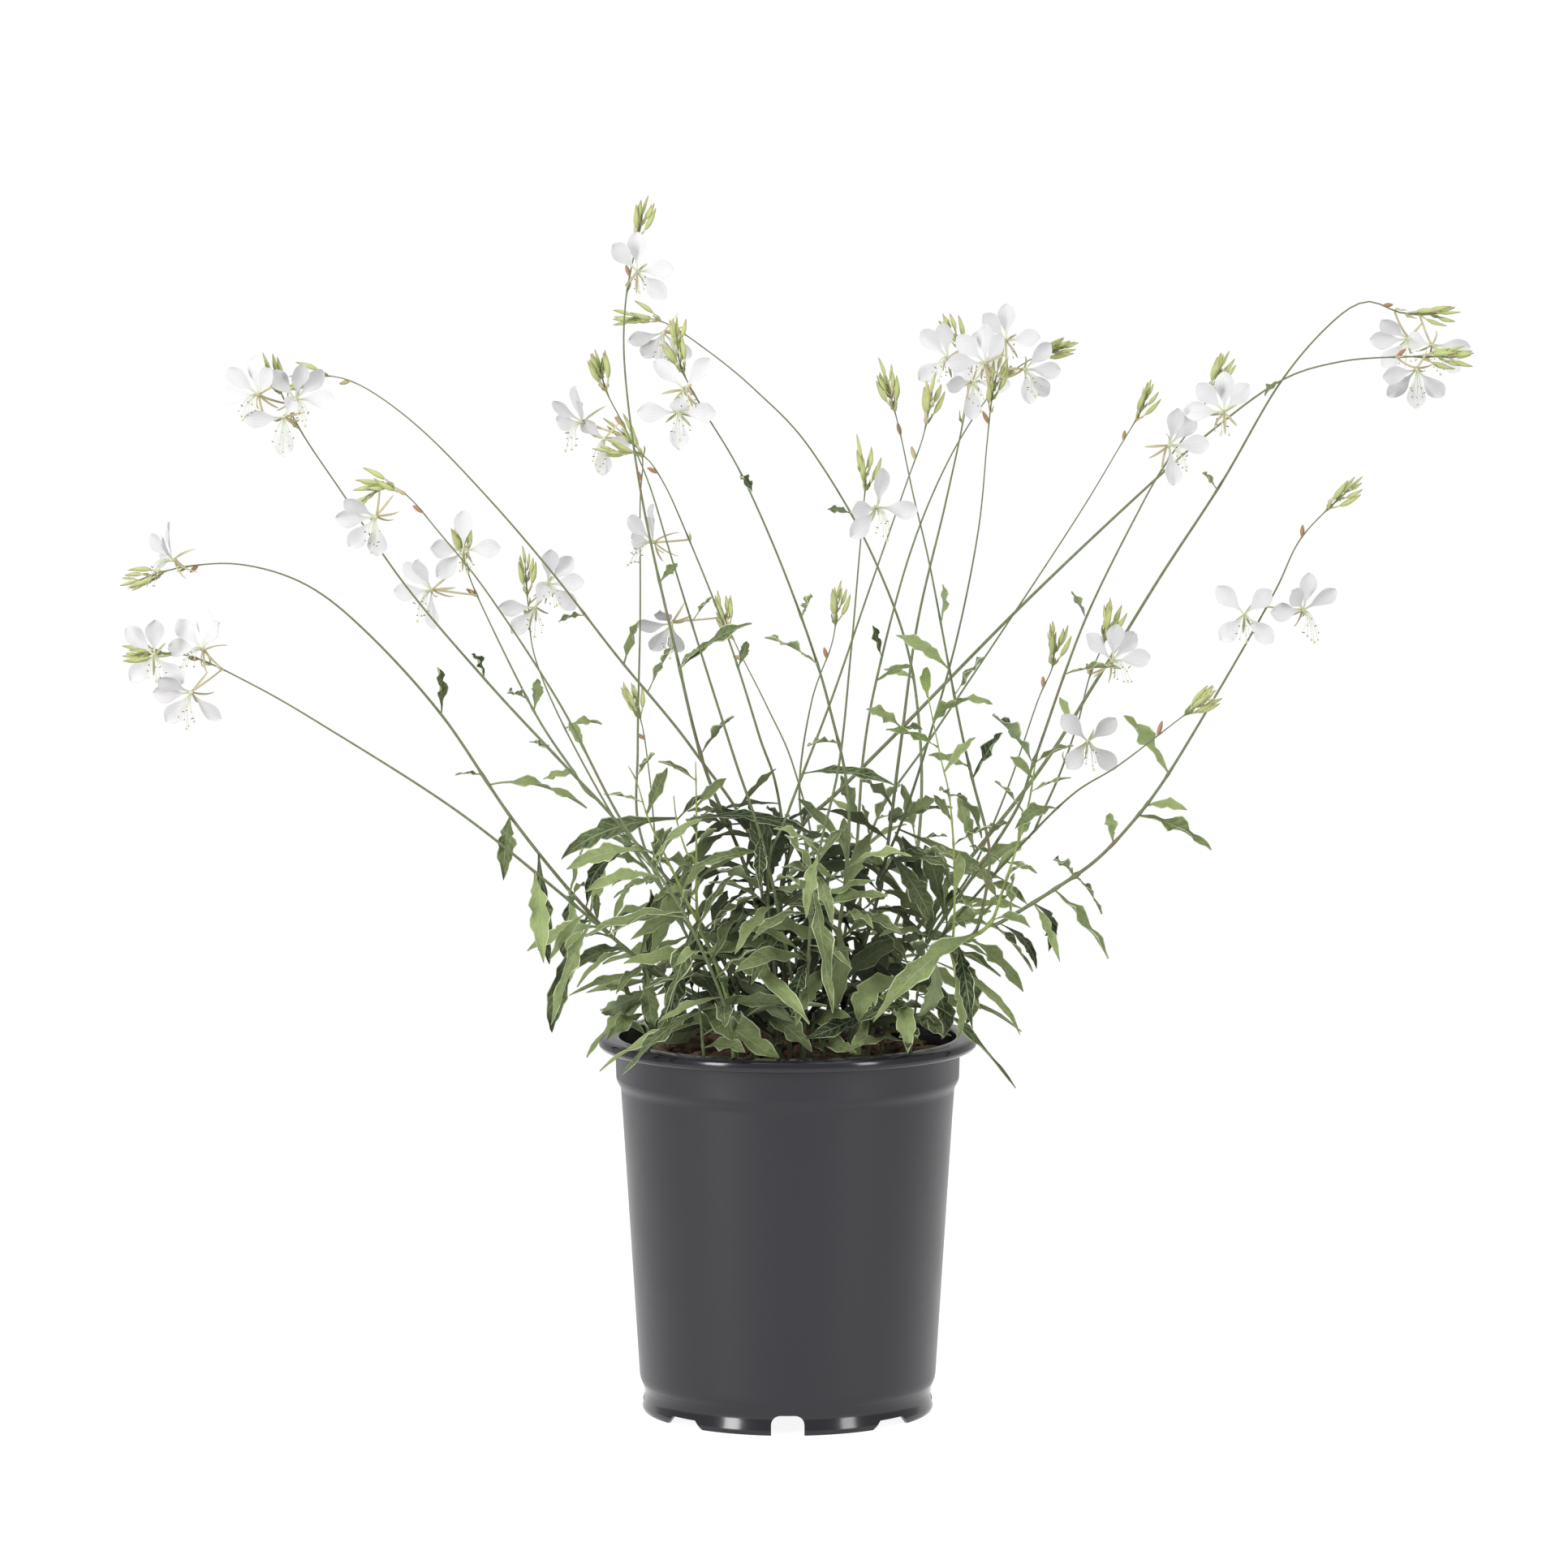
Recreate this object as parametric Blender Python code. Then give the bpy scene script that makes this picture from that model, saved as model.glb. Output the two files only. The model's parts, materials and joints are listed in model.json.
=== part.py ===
"""Potted gaura: a plain nursery pot, its soil, wiry flowering stems, leafy basal shoots and white blooms."""

import math
import random

import bmesh
import bpy
from mathutils import Matrix, Vector
from mathutils.bvhtree import BVHTree

MM = 0.001
GAP = 0.3 * MM
SEED = 20

# Pot, a trade one-gallon size.
POT_HEIGHT = 165 * MM
LIP_RADIUS = 82.5 * MM
LIP_HEIGHT = 5.5 * MM
NECK_RADIUS = 75.1 * MM
NECK_BOTTOM = 144.4 * MM
SHOULDER_RADIUS = 72.9 * MM
SHOULDER_HEIGHT = 142.2 * MM
HEEL_RADIUS = 64.9 * MM
HEEL_HEIGHT = 14 * MM
SKIRT_RADIUS = 63.8 * MM
SKIRT_HEIGHT = 11.6 * MM
FOOT_RADIUS = 63.6 * MM
WALL = 1.5 * MM
FLOOR_BOTTOM = 9.4 * MM
FLOOR_TOP = 11.6 * MM
POT_SIDES = 32
NOTCH_WIDTH = 14.3 * MM
NOTCH_HEIGHT = 8.5 * MM
RECESS_ANGLE = math.radians(21)
RECESS_TOP_ANGLE = math.radians(12)
RECESS_HEIGHT = 3.7 * MM
DRAIN_RADIUS = 4 * MM
DRAIN_REACH = 48 * MM
POT_EDGE = 1.1 * MM
NOTCH_CROWN = 4 * MM
CUT_PAST = 3 * MM

# Soil, and how deep the stems stand in it.
SOIL_TOP = 155 * MM
SOIL_WAVE = 1.0 * MM
STEM_DEPTH = 12 * MM
HOLE_SIDES = 5
HOLE_FLAT = math.cos(math.pi / HOLE_SIDES)
SOIL_SIDES = 24
SOIL_CLEAR = 0.5 * MM
SOIL_RINGS = (0.3, 0.65, 1)
HOLE_CLEAR = 0.42 * MM
HOLE_PAST = 6 * MM

# The front view that the plant's lines are read from. Places in it are (across, down, depth): the first two in
# picture points, counted from its upper left corner, the third in millimetres behind the pot's axis.
VIEW_DISTANCE = 2475
VIEW_HEIGHT = 515.6
VIEW_TILT = math.radians(5.56)
VIEW_SCALE = 7039
VIEW_MIDDLE = (970.5, 966)

# Flowering stems, from the soil to the tip: base radius in mm, then the places that the stem passes.
STEMS = {
    "stem_low_left": (1.3, [(900, 1262, -18), (812, 1203, -30), (690, 1100, -46), (560, 997, -56), (400, 895, -62),
                            (310, 843, -64), (232, 808, -67), (165, 806, -70)]),
    "stem_left_arch": (1.4, [(912, 1262, 6), (795, 1188, 14), (722, 1120, 20), (632, 1010, 28), (545, 882, 34),
                             (455, 782, 38), (380, 722, 40), (300, 696, 42), (225, 699, 42), (165, 717, 42)]),
    "stem_upper_left": (1.3, [(925, 1262, -26), (862, 1135, -36), (760, 1012, -48), (690, 937, -54), (600, 840, -60),
                              (500, 722, -66), (420, 605, -70), (370, 530, -72), (332, 455, -74)]),
    "stem_high_arch": (1.2, [(948, 1262, 12), (930, 1050, 26), (855, 925, 36), (760, 808, 44), (680, 705, 50),
                             (600, 612, 55), (520, 530, 58), (450, 478, 60), (400, 463, 60), (366, 476, 60)]),
    "stem_nodding": (1.2, [(900, 1262, -62), (845, 1130, -80), (765, 1010, -88), (690, 868, -96), (600, 730, -104),
                           (540, 655, -108), (503, 612, -110), (478, 600, -110), (448, 614, -110)]),
    "stem_back_left": (1.1, [(932, 1262, 22), (840, 1130, 52), (770, 1030, 72), (700, 905, 92), (660, 812, 102),
                             (651, 745, 108), (647, 692, 112)]),
    "stem_tall": (1.4, [(955, 1262, -8), (925, 1090, -18), (868, 945, -26), (832, 800, -32), (792, 620, -36),
                        (771, 470, -38), (770, 380, -40), (783, 305, -40), (792, 262, -40)]),
    "stem_back_tall": (1.2, [(905, 1262, 34), (850, 1160, 70), (790, 1030, 100), (786, 920, 112), (789, 760, 120),
                             (789, 620, 124), (792, 566, 125), (780, 545, 125), (758, 526, 125)]),
    "stem_front_tall": (1.2, [(985, 1262, -34), (945, 1060, -68), (905, 935, -88), (870, 825, -102),
                              (828, 690, -114), (800, 598, -119), (770, 528, -121), (748, 485, -122),
                              (738, 450, -122)]),
    "stem_hooked": (1.2, [(988, 1262, 14), (962, 1000, 36), (935, 905, 44), (895, 780, 52), (845, 655, 58),
                          (816, 592, 60), (790, 560, 60), (752, 556, 60)]),
    "stem_back_short": (1.1, [(1002, 1262, 34), (1003, 1060, 92), (978, 945, 118), (945, 870, 134), (905, 790, 148),
                              (887, 742, 156)]),
    "stem_front_arch": (1.3, [(1018, 1262, -32), (1046, 1020, -78), (1022, 872, -104), (975, 728, -122),
                              (915, 588, -134), (862, 498, -139), (838, 450, -140), (834, 412, -140)]),
    "stem_back_arch": (1.3, [(1052, 1262, 26), (1128, 1060, 72), (1128, 850, 118), (1080, 695, 136),
                             (1000, 555, 146), (930, 480, 149), (865, 427, 150), (815, 396, 150), (772, 392, 150)]),
    "stem_middle": (1.2, [(960, 1262, -38), (946, 1080, -60), (970, 1003, -72), (1022, 868, -86), (1068, 735, -94),
                          (1115, 600, -98), (1138, 535, -99), (1147, 482, -100)]),
    "stem_upright": (1.4, [(1036, 1262, 4), (1085, 1090, 16), (1108, 930, 26), (1130, 770, 33), (1165, 620, 38),
                           (1189, 505, 40), (1192, 445, 40), (1168, 403, 40)]),
    "stem_back_right": (1.2, [(1022, 1262, 38), (1052, 1080, 74), (1064, 930, 96), (1083, 825, 108),
                              (1122, 680, 119), (1170, 565, 126), (1225, 480, 129), (1270, 443, 130),
                              (1314, 428, 130)]),
    "stem_front_short": (1.2, [(992, 1262, -48), (1004, 1080, -82), (1033, 945, -110), (1048, 805, -130),
                               (1058, 690, -142), (1064, 620, -148), (1066, 590, -150), (1060, 560, -150)]),
    "stem_right_arch": (1.5, [(1066, 1262, 14), (1140, 1130, 24), (1275, 957, 34), (1350, 840, 40), (1430, 710, 44),
                              (1505, 595, 47), (1575, 475, 49), (1635, 403, 50), (1682, 372, 50), (1728, 386, 50),
                              (1776, 386, 50)]),
    "stem_right_long": (1.5, [(972, 1262, -20), (962, 1110, -30), (985, 1023, -36), (1030, 978, -38),
                              (1105, 903, -42), (1260, 745, -48), (1410, 603, -50), (1500, 525, -50),
                              (1580, 468, -50), (1650, 446, -50), (1720, 440, -50), (1796, 440, -50)]),
    "stem_right_thin": (1.1, [(1048, 1262, 50), (1060, 1110, 86), (1080, 1010, 106), (1150, 905, 122),
                              (1270, 725, 142), (1335, 625, 147), (1380, 550, 149), (1405, 508, 150),
                              (1414, 482, 150)]),
    "stem_right_upright": (1.3, [(1078, 1262, -14), (1150, 1150, -24), (1245, 1010, -52), (1275, 935, -66),
                                 (1335, 768, -90), (1405, 625, -103), (1440, 565, -107), (1476, 514, -110),
                                 (1505, 450, -110)]),
    "stem_right_low": (1.2, [(1094, 1262, 0), (1160, 1155, -8), (1250, 1050, -28), (1320, 980, -52),
                             (1378, 943, -72), (1450, 888, -88), (1488, 860, -90)]),
    "shoot_left": (1.3, [(902, 1262, -50), (893, 1218, -52), (876, 1172, -54), (860, 1133, -56), (858, 1060, -58),
                         (858, 1000, -60), (857, 938, -62)]),
    "shoot_right": (1.6, [(1062, 1262, -26), (1108, 1212, -34), (1160, 1170, -38), (1215, 1143, -42),
                          (1236, 1095, -44), (1265, 1000, -40), (1276, 936, -36)]),
}

# Branches: the stem that each grows from, its radius, and its places from the fork to the tip.
BRANCHES = {
    "stem_upper_left_b": ("stem_upper_left", 0.9, [(738, 989, -50), (706, 950, -42), (660, 880, -34), (600, 760, -31),
                                                   (575, 700, -31), (569, 655, -32)]),
    "stem_back_tall_b": ("stem_back_tall", 0.8, [(838, 1137, 77), (812, 1060, 102), (801, 960, 124),
                                                 (790, 888, 136), (772, 852, 142)]),
    "stem_back_short_b": ("stem_back_short", 0.9, [(1004, 1090, 82), (985, 975, 90), (1000, 865, 94),
                                                   (1026, 790, 97), (1032, 735, 100)]),
    "stem_upright_b": ("stem_upright", 1.0, [(1085, 1090, 16), (1112, 1010, 0), (1140, 925, -16), (1178, 790, -34),
                                             (1205, 655, -46), (1216, 545, -54), (1222, 490, -58),
                                             (1230, 452, -60)]),
    "stem_right_upright_b": ("stem_right_upright", 0.9, [(1150, 1150, -24), (1196, 1075, -2), (1240, 975, 2),
                                                         (1278, 865, 4), (1297, 820, 5), (1298, 778, 5)]),
    "stem_right_low_b": ("stem_right_low", 0.8, [(1278, 1020, -36), (1305, 955, -36), (1328, 890, -34),
                                                 (1342, 835, -31), (1362, 786, -28), (1368, 754, -26)]),
    "shoot_left_b": ("shoot_left", 1.0, [(860, 1133, -56), (832, 1080, -64), (800, 1012, -72), (785, 965, -76),
                                         (774, 944, -78)]),
    "shoot_left_c": ("shoot_left", 0.8, [(858, 1075, -57), (846, 1050, -50), (834, 1012, -44), (830, 980, -42)]),
    "shoot_right_b": ("shoot_right", 1.1, [(1190, 1155, -40), (1216, 1090, -46), (1218, 1040, -51), (1198, 960, -58),
                                           (1180, 880, -66), (1146, 700, -80), (1125, 610, -86), (1108, 530, -90),
                                           (1090, 462, -92)]),
    "shoot_right_c": ("shoot_right", 1.2, [(1215, 1143, -42), (1300, 1095, -50), (1350, 1060, -54),
                                           (1395, 1013, -58), (1437, 957, -60), (1500, 853, -64), (1548, 770, -66),
                                           (1575, 720, -67), (1605, 660, -68), (1665, 600, -68)]),
    "shoot_right_d": ("shoot_right", 0.9, [(1168, 1166, -38), (1176, 1075, -58), (1170, 985, -66), (1158, 930, -70),
                                           (1140, 842, -74)]),
}

# Large leaves: their stem, the place they grow from (across, down), their tip, and their width in mm.
LARGE_LEAVES = [
    ("stem_left_arch", (632, 1010), (624, 1088, 20), 11),
    ("stem_low_left", (668, 1082), (676, 1190, -62), 12),
    ("stem_left_arch", (706, 1102), (700, 1206, 8), 12),
    ("stem_low_left", (735, 1138), (685, 1266, -66), 9),
    ("stem_nodding", (785, 1040), (695, 1066, -92), 11),
    ("shoot_left", (858, 1012), (1000, 1036, -74), 8),
    ("stem_low_left", (806, 1200), (700, 1224, -52), 6),
    ("shoot_left", (862, 1140), (820, 1256, -88), 12),
    ("stem_left_arch", (605, 972), (725, 1000, 62), 9),
    ("stem_left_arch", (545, 882), (541, 826, 30), 7),
    ("stem_high_arch", (725, 762), (690, 768, 46), 5),
    ("stem_high_arch", (797, 852), (830, 795, 36), 7),
    ("stem_upper_left", (600, 840), (585, 812, -66), 6),
    ("stem_upper_left_b", (658, 878), (664, 842, -24), 7),
    ("stem_upper_left_b", (655, 868), (630, 862, -42), 7),
    ("stem_back_left", (698, 900), (742, 894, 104), 7),
    ("stem_tall", (815, 722), (834, 698, -30), 6),
    ("stem_tall", (840, 832), (926, 776, -50), 9),
    ("stem_front_tall", (850, 765), (875, 733, -122), 6),
    ("stem_hooked", (910, 828), (920, 794, 58), 6),
    ("stem_back_arch", (1048, 632), (1022, 626, 146), 6),
    ("stem_front_arch", (918, 593), (931, 614, -150), 6),
    ("stem_front_arch", (987, 755), (996, 730, -128), 7),
    ("stem_front_arch", (1003, 812), (942, 781, -128), 9),
    ("shoot_right_b", (1170, 822), (1103, 778, -62), 9),
    ("shoot_right_b", (1150, 760), (1160, 715, -88), 7),
    ("shoot_right_b", (1178, 868), (1214, 818, -84), 9),
    ("shoot_right_b", (1197, 957), (1232, 900, -72), 9),
    ("stem_right_arch", (1503, 600), (1484, 580, 40), 6),
    ("stem_right_arch", (1575, 475), (1556, 492, 40), 6),
    ("stem_right_upright", (1340, 757), (1321, 728, -98), 6),
    ("stem_right_upright", (1307, 842), (1377, 830, -84), 8),
    ("shoot_right_c", (1435, 958), (1383, 886, -66), 12),
    ("shoot_right_c", (1397, 1010), (1486, 1052, -74), 10),
    ("shoot_right_c", (1365, 1045), (1362, 1008, -44), 7),
    ("shoot_right_c", (1330, 1076), (1303, 1056, -66), 8),
    ("stem_right_low", (1300, 1000), (1250, 1022, -78), 9),
    ("stem_right_upright", (1270, 948), (1222, 886, -84), 12),
    ("shoot_right", (1200, 1150), (1070, 1262, -84), 14),
    ("shoot_right_c", (1296, 1096), (1364, 1180, -70), 10),
    ("shoot_right_c", (1320, 1083), (1352, 1128, -32), 9),
    ("shoot_right_c", (1264, 1116), (1298, 1188, -66), 6),
    ("shoot_right", (1222, 1136), (1276, 1194, -28), 7),
    ("shoot_right", (1178, 1163), (1196, 1266, -70), 10),
    ("stem_upright", (1083, 1098), (1146, 1142, 6), 11),
    ("stem_middle", (990, 953), (1102, 968, -88), 8),
    ("stem_tall", (866, 935), (905, 892, -46), 8),
    ("stem_upright_b", (1112, 1010), (1152, 985, 14), 9),
    ("shoot_right_d", (1176, 1062), (1140, 1056, -46), 8),
    ("shoot_right_d", (1170, 990), (1210, 1040, -6), 8),
    ("stem_right_long", (1105, 903), (1062, 880, -46), 9),
    ("stem_back_right", (1080, 820), (1074, 780, 102), 7),
    ("stem_front_short", (1004, 1100), (1026, 1252, -92), 10),
    ("stem_front_short", (1002, 1180), (975, 1252, -84), 9),
    ("stem_front_short", (1008, 1050), (994, 1128, -102), 8),
    ("stem_front_tall", (940, 1040), (938, 1100, -96), 8),
    ("shoot_left", (878, 1175), (996, 1262, -92), 14),
    ("stem_front_tall", (955, 1110), (905, 1170, -92), 9),
    ("stem_middle", (948, 1110), (885, 1080, -84), 9),
]

# Basal shoots: (where on the soil, where its top is) in mm, and each leaf's tip with its width, in mm. The leaves of
# the front three hang over the soil and the rim.
BASAL_SHOOTS = {
    "basal_left": ((-56, -20, 155), (-64, -28, 190), [((-81, -14, 177), 10), ((-57, -54, 171), 11),
                                                      ((-74, -46, 168), 9), ((-86, -30, 152), 8),
                                                      ((-84, -34, 196), 9), ((-60, -2, 214), 10)]),
    "basal_front": ((-34, -50, 155), (-38, -58, 188), [((-4, -78, 168), 15), ((10, -76, 170), 12),
                                                       ((-80, -60, 157), 6), ((-70, -72, 157), 8),
                                                       ((2, -74, 184), 9)]),
    "basal_right": ((50, -38, 155), (56, -46, 192), [((27, -73, 168), 7), ((51, -72, 168), 11),
                                                     ((66, -58, 171), 10), ((31, -72, 180), 13),
                                                     ((101, -18, 168), 5), ((99, -36, 150), 6)]),
    "basal_back": ((6, 58, 155), (7, 66, 178), [((-8, 104, 150), 11), ((28, 102, 154), 11), ((-34, 90, 168), 12),
                                                ((48, 88, 170), 12), ((-4, 84, 214), 11), ((26, 66, 212), 11)]),
}

# Blooms: the stem, the middle (across, down), how far in front of the stem in mm, the way it faces (turn to the
# right and upward, in degrees) and the ways of its four petals, in eighths of a turn from the right, upwards.
BLOOMS = {
    "bloom_01": ("stem_low_left", [((190, 808), 10, (10, 5), (2, 3, 5, 7))]),
    "bloom_02": ("stem_low_left", [((250, 801), 8, (-30, 20), (1, 2, 3, 4))]),
    "bloom_03": ("stem_low_left", [((236, 853), 10, (-15, -25), (3, 4, 5, 7))]),
    "bloom_04": ("stem_left_arch", [((213, 690), 6, (-70, 0), (1, 2, 3, 4))]),
    "bloom_05": ("stem_upper_left", [((318, 487), 8, (-25, 5), (1, 2, 3, 4))]),
    "bloom_06": ("stem_upper_left", [((364, 492), 8, (25, 0), (0, 1, 2, 3)), ((350, 514), 8, (0, -20), (1, 4, 6))]),
    "bloom_07": ("stem_nodding", [((463, 637), 4, (-10, -20), (3, 4, 5, 6))]),
    "bloom_08": ("stem_upper_left_b", [((571, 678), 8, (10, 10), (0, 2, 4, 5))]),
    "bloom_09": ("stem_upper_left_b", [((532, 727), 10, (-35, -10), (2, 3, 4, 6))]),
    "bloom_10": ("stem_back_left", [((675, 720), 8, (20, 10), (0, 1, 2, 7)), ((660, 748), 8, (0, -10), (2, 4, 5))]),
    "bloom_11": ("stem_tall", [((785, 335), 8, (5, 10), (0, 2, 3, 7))]),
    "bloom_12": ("stem_back_tall", [((718, 520), 4, (-50, -10), (1, 2, 3, 4)),
                                    ((745, 541), 4, (-20, -20), (0, 3, 6))]),
    "bloom_13": ("stem_hooked", [((805, 668), 8, (-60, 5), (1, 2, 3, 4))]),
    "bloom_14": ("stem_back_short", [((828, 768), 6, (-20, -40), (2, 4, 5, 6))]),
    "bloom_15": ("stem_front_arch", [((835, 508), 8, (5, 0), (0, 4, 6)), ((842, 480), 8, (10, 20), (1, 3, 6))]),
    "bloom_16": ("stem_back_arch", [((818, 410), 6, (-20, -30), (4, 5, 6, 7))]),
    "bloom_17": ("stem_upright", [((1168, 441), 8, (-20, 5), (2, 3, 5, 7))]),
    "bloom_18": ("stem_upright", [((1198, 470), 10, (20, -10), (0, 1, 4, 6))]),
    "bloom_19": ("stem_back_right", [((1240, 420), 8, (0, 15), (0, 2, 3, 4))]),
    "bloom_20": ("stem_back_right", [((1262, 455), 10, (25, -5), (0, 1, 6, 7))]),
    "bloom_21": ("stem_upright_b", [((1214, 448), 6, (-25, 10), (1, 2, 3, 4))]),
    "bloom_22": ("stem_front_short", [((1080, 625), 6, (25, -10), (0, 2, 4, 5))]),
    "bloom_23": ("stem_right_arch", [((1735, 418), 6, (-15, -15), (3, 4, 5)), ((1765, 425), 6, (15, -10), (0, 4, 7))]),
    "bloom_24": ("stem_right_long", [((1745, 455), 6, (0, -25), (4, 5, 6, 7))]),
    "bloom_25": ("stem_right_upright", [((1440, 549), 8, (30, 5), (0, 1, 2, 6))]),
    "bloom_26": ("stem_right_upright", [((1508, 508), 8, (-10, 10), (1, 2, 3, 4))]),
    "bloom_27": ("stem_right_low_b", [((1340, 914), 6, (10, 0), (1, 3, 5, 7))]),
    "bloom_28": ("stem_right_low_b", [((1370, 815), 6, (25, 15), (0, 1, 2, 3))]),
    "bloom_29": ("shoot_right_c", [((1533, 757), 8, (0, 0), (1, 3, 5, 7))]),
    "bloom_30": ("shoot_right_c", [((1605, 752), 8, (25, -10), (1, 2, 3, 4))]),
}

# Stems: how they taper, where they stand, and how branches leave them.
STEM_TAPER = 0.55
LEAST_RADIUS = 0.55 * MM
FOOT_SHARE = 0.9
FIRST_SITE = 9 * MM
BRANCH_SITE = 10 * MM
BASAL_SITE = 6 * MM
COLLAR = 3.3 * MM
FORK_OUT = 3 * MM
FORK_UP = 5 * MM
TEST_STEP = 8 * MM
BASAL_RADIUS = 1.6
ROOT_RISE = 2.2 * MM
SITE_STEP = 5.5 * MM
RING_STEP = 60 * MM
RING_BEND = math.radians(26)

# Blooms, buds and capsules.
BLOOM_CORE = 1.6 * MM
BLOOM_DEPTH = 2.4 * MM
PETAL_LENGTH = 14 * MM
PETAL_WIDTH = 8.5 * MM
PETAL_LEANS = (math.radians(30), math.radians(8))
PETAL_LIFT = 0.1
SEPAL_LENGTH = 9 * MM
SEPAL_WIDTH = 2 * MM
SEPAL_WAY = (0.75, -0.66)
STAMEN_LENGTH = 11 * MM
STAMEN_WAY = (0.75, -0.66)
STAMEN_SPREAD = 2.2
FACE_RISE = 0.6 * MM
STALK_RADIUS = 0.75 * MM
STALK_END = 1.0 * MM
STALK_DROP = 8 * MM
BUD_LENGTH = 9 * MM
BUD_RADIUS = 1.15 * MM
BUD_SIZES = (0.75, 1.0)
BUD_LEANS = (38, 50, 62)
BUD_STEP = 6.5 * MM
CAPSULES = 1
CAPSULE_SIZE = 0.8
CAPSULE_LEANS = (50, 65, 80)
CAPSULE_STEP = 15 * MM

# Leaves: the large ones near a stem's foot, those above, and those of the young tufts.
FOOT_LEAVES = 105 * MM
FOOT_LEAF = 37 * MM
FOOT_STEP = 22 * MM
FOOT_WIDTH = 0.27
UPPER_LEAF = 18 * MM
UPPER_STEP = 76 * MM
TUFT_LEAF = 20 * MM
TUFT_STEP = 12.2 * MM
UPPER_WIDTH = 0.34
LEAFY_SHARE = 0.55
LEAF_SPREAD = (0.8, 1.2)
LEAF_ARCH = 0.16
LEAF_OUT = 1.5 * MM
LEAF_SIZES = (1, 0.85, 0.7)
BLADE_RISE = 0.9 * MM
EDGE_WAVE = 0.6 * MM
LEAST_HALF_WIDTH = 0.5 * MM

# Room kept between parts, and how a part that would cross another is moved.
CLEAR = 0.6 * MM
OWN_CLEAR = 0.15 * MM
DEPTH_SHIFTS = (0, -4, 4, -8, 8, -12, 12, -16, 16)
SITE_SHIFTS = (0, -1, 1, -2, 2, -3, 3)
LEAF_TURNS = ((0, 0), (0, 0.12), (0, -0.12), (0.15, 0), (-0.15, 0), (0.15, 0.15), (-0.15, 0.15), (0.3, 0),
              (-0.3, 0), (0, 0.3), (0.3, 0.3), (-0.3, 0.3), (0, -0.3))
GOLDEN_ANGLE = math.radians(137.5)
LEAFY_SHOOTS = ("shoot_left", "shoot_left_b", "shoot_left_c", "shoot_right", "shoot_right_d")
UP = Vector((0, 0, 1))
VIEW_WAY = Vector((0, 1, 0))

# Blade outlines: (share of the length, share of the half width), from the stalk to the last teeth.
OUTLINES = {
    "large": [(0.10, 0.16), (0.34, 0.82), (0.56, 1.0), (0.78, 0.74)],
    "middle": [(0.13, 0.20), (0.42, 0.95), (0.74, 0.78)],
    "small": [(0.16, 0.25), (0.55, 1.0)],
    "petal": [(0.24, 0.18), (0.76, 1.0)],
    "sepal": [(0.45, 1.0)],
}

POT_PLASTIC = ((0.055, 0.055, 0.060, 1), 0.38)
POTTING_MIX = ((0.045, 0.028, 0.018, 1), 0.95)
GREEN_STEM = ((0.16, 0.22, 0.10, 1), 0.6)
YOUNG_GREEN = ((0.26, 0.36, 0.10, 1), 0.6)
WHITE_PETAL = ((0.86, 0.85, 0.88, 1), 0.5)


def seen(across, down, depth):
    """The point behind a place in the front view, at a depth in millimetres, in metres."""
    right = (across - VIEW_MIDDLE[0]) / VIEW_SCALE
    rise = (VIEW_MIDDLE[1] - down) / VIEW_SCALE
    cosine, sine = math.cos(VIEW_TILT), math.sin(VIEW_TILT)
    away = VIEW_DISTANCE + depth
    drop = away * (rise * cosine - sine) / (cosine + rise * sine)
    distance = away * cosine - drop * sine
    return Vector((right * distance, depth, VIEW_HEIGHT + drop)) * MM


def view_place(point):
    """Where a point shows in the front view."""
    cosine, sine = math.cos(VIEW_TILT), math.sin(VIEW_TILT)
    x, y, z = point / MM
    away, drop = y + VIEW_DISTANCE, z - VIEW_HEIGHT
    distance = away * cosine - drop * sine
    rise = away * sine + drop * cosine
    return VIEW_MIDDLE[0] + VIEW_SCALE * x / distance, VIEW_MIDDLE[1] - VIEW_SCALE * rise / distance


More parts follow.
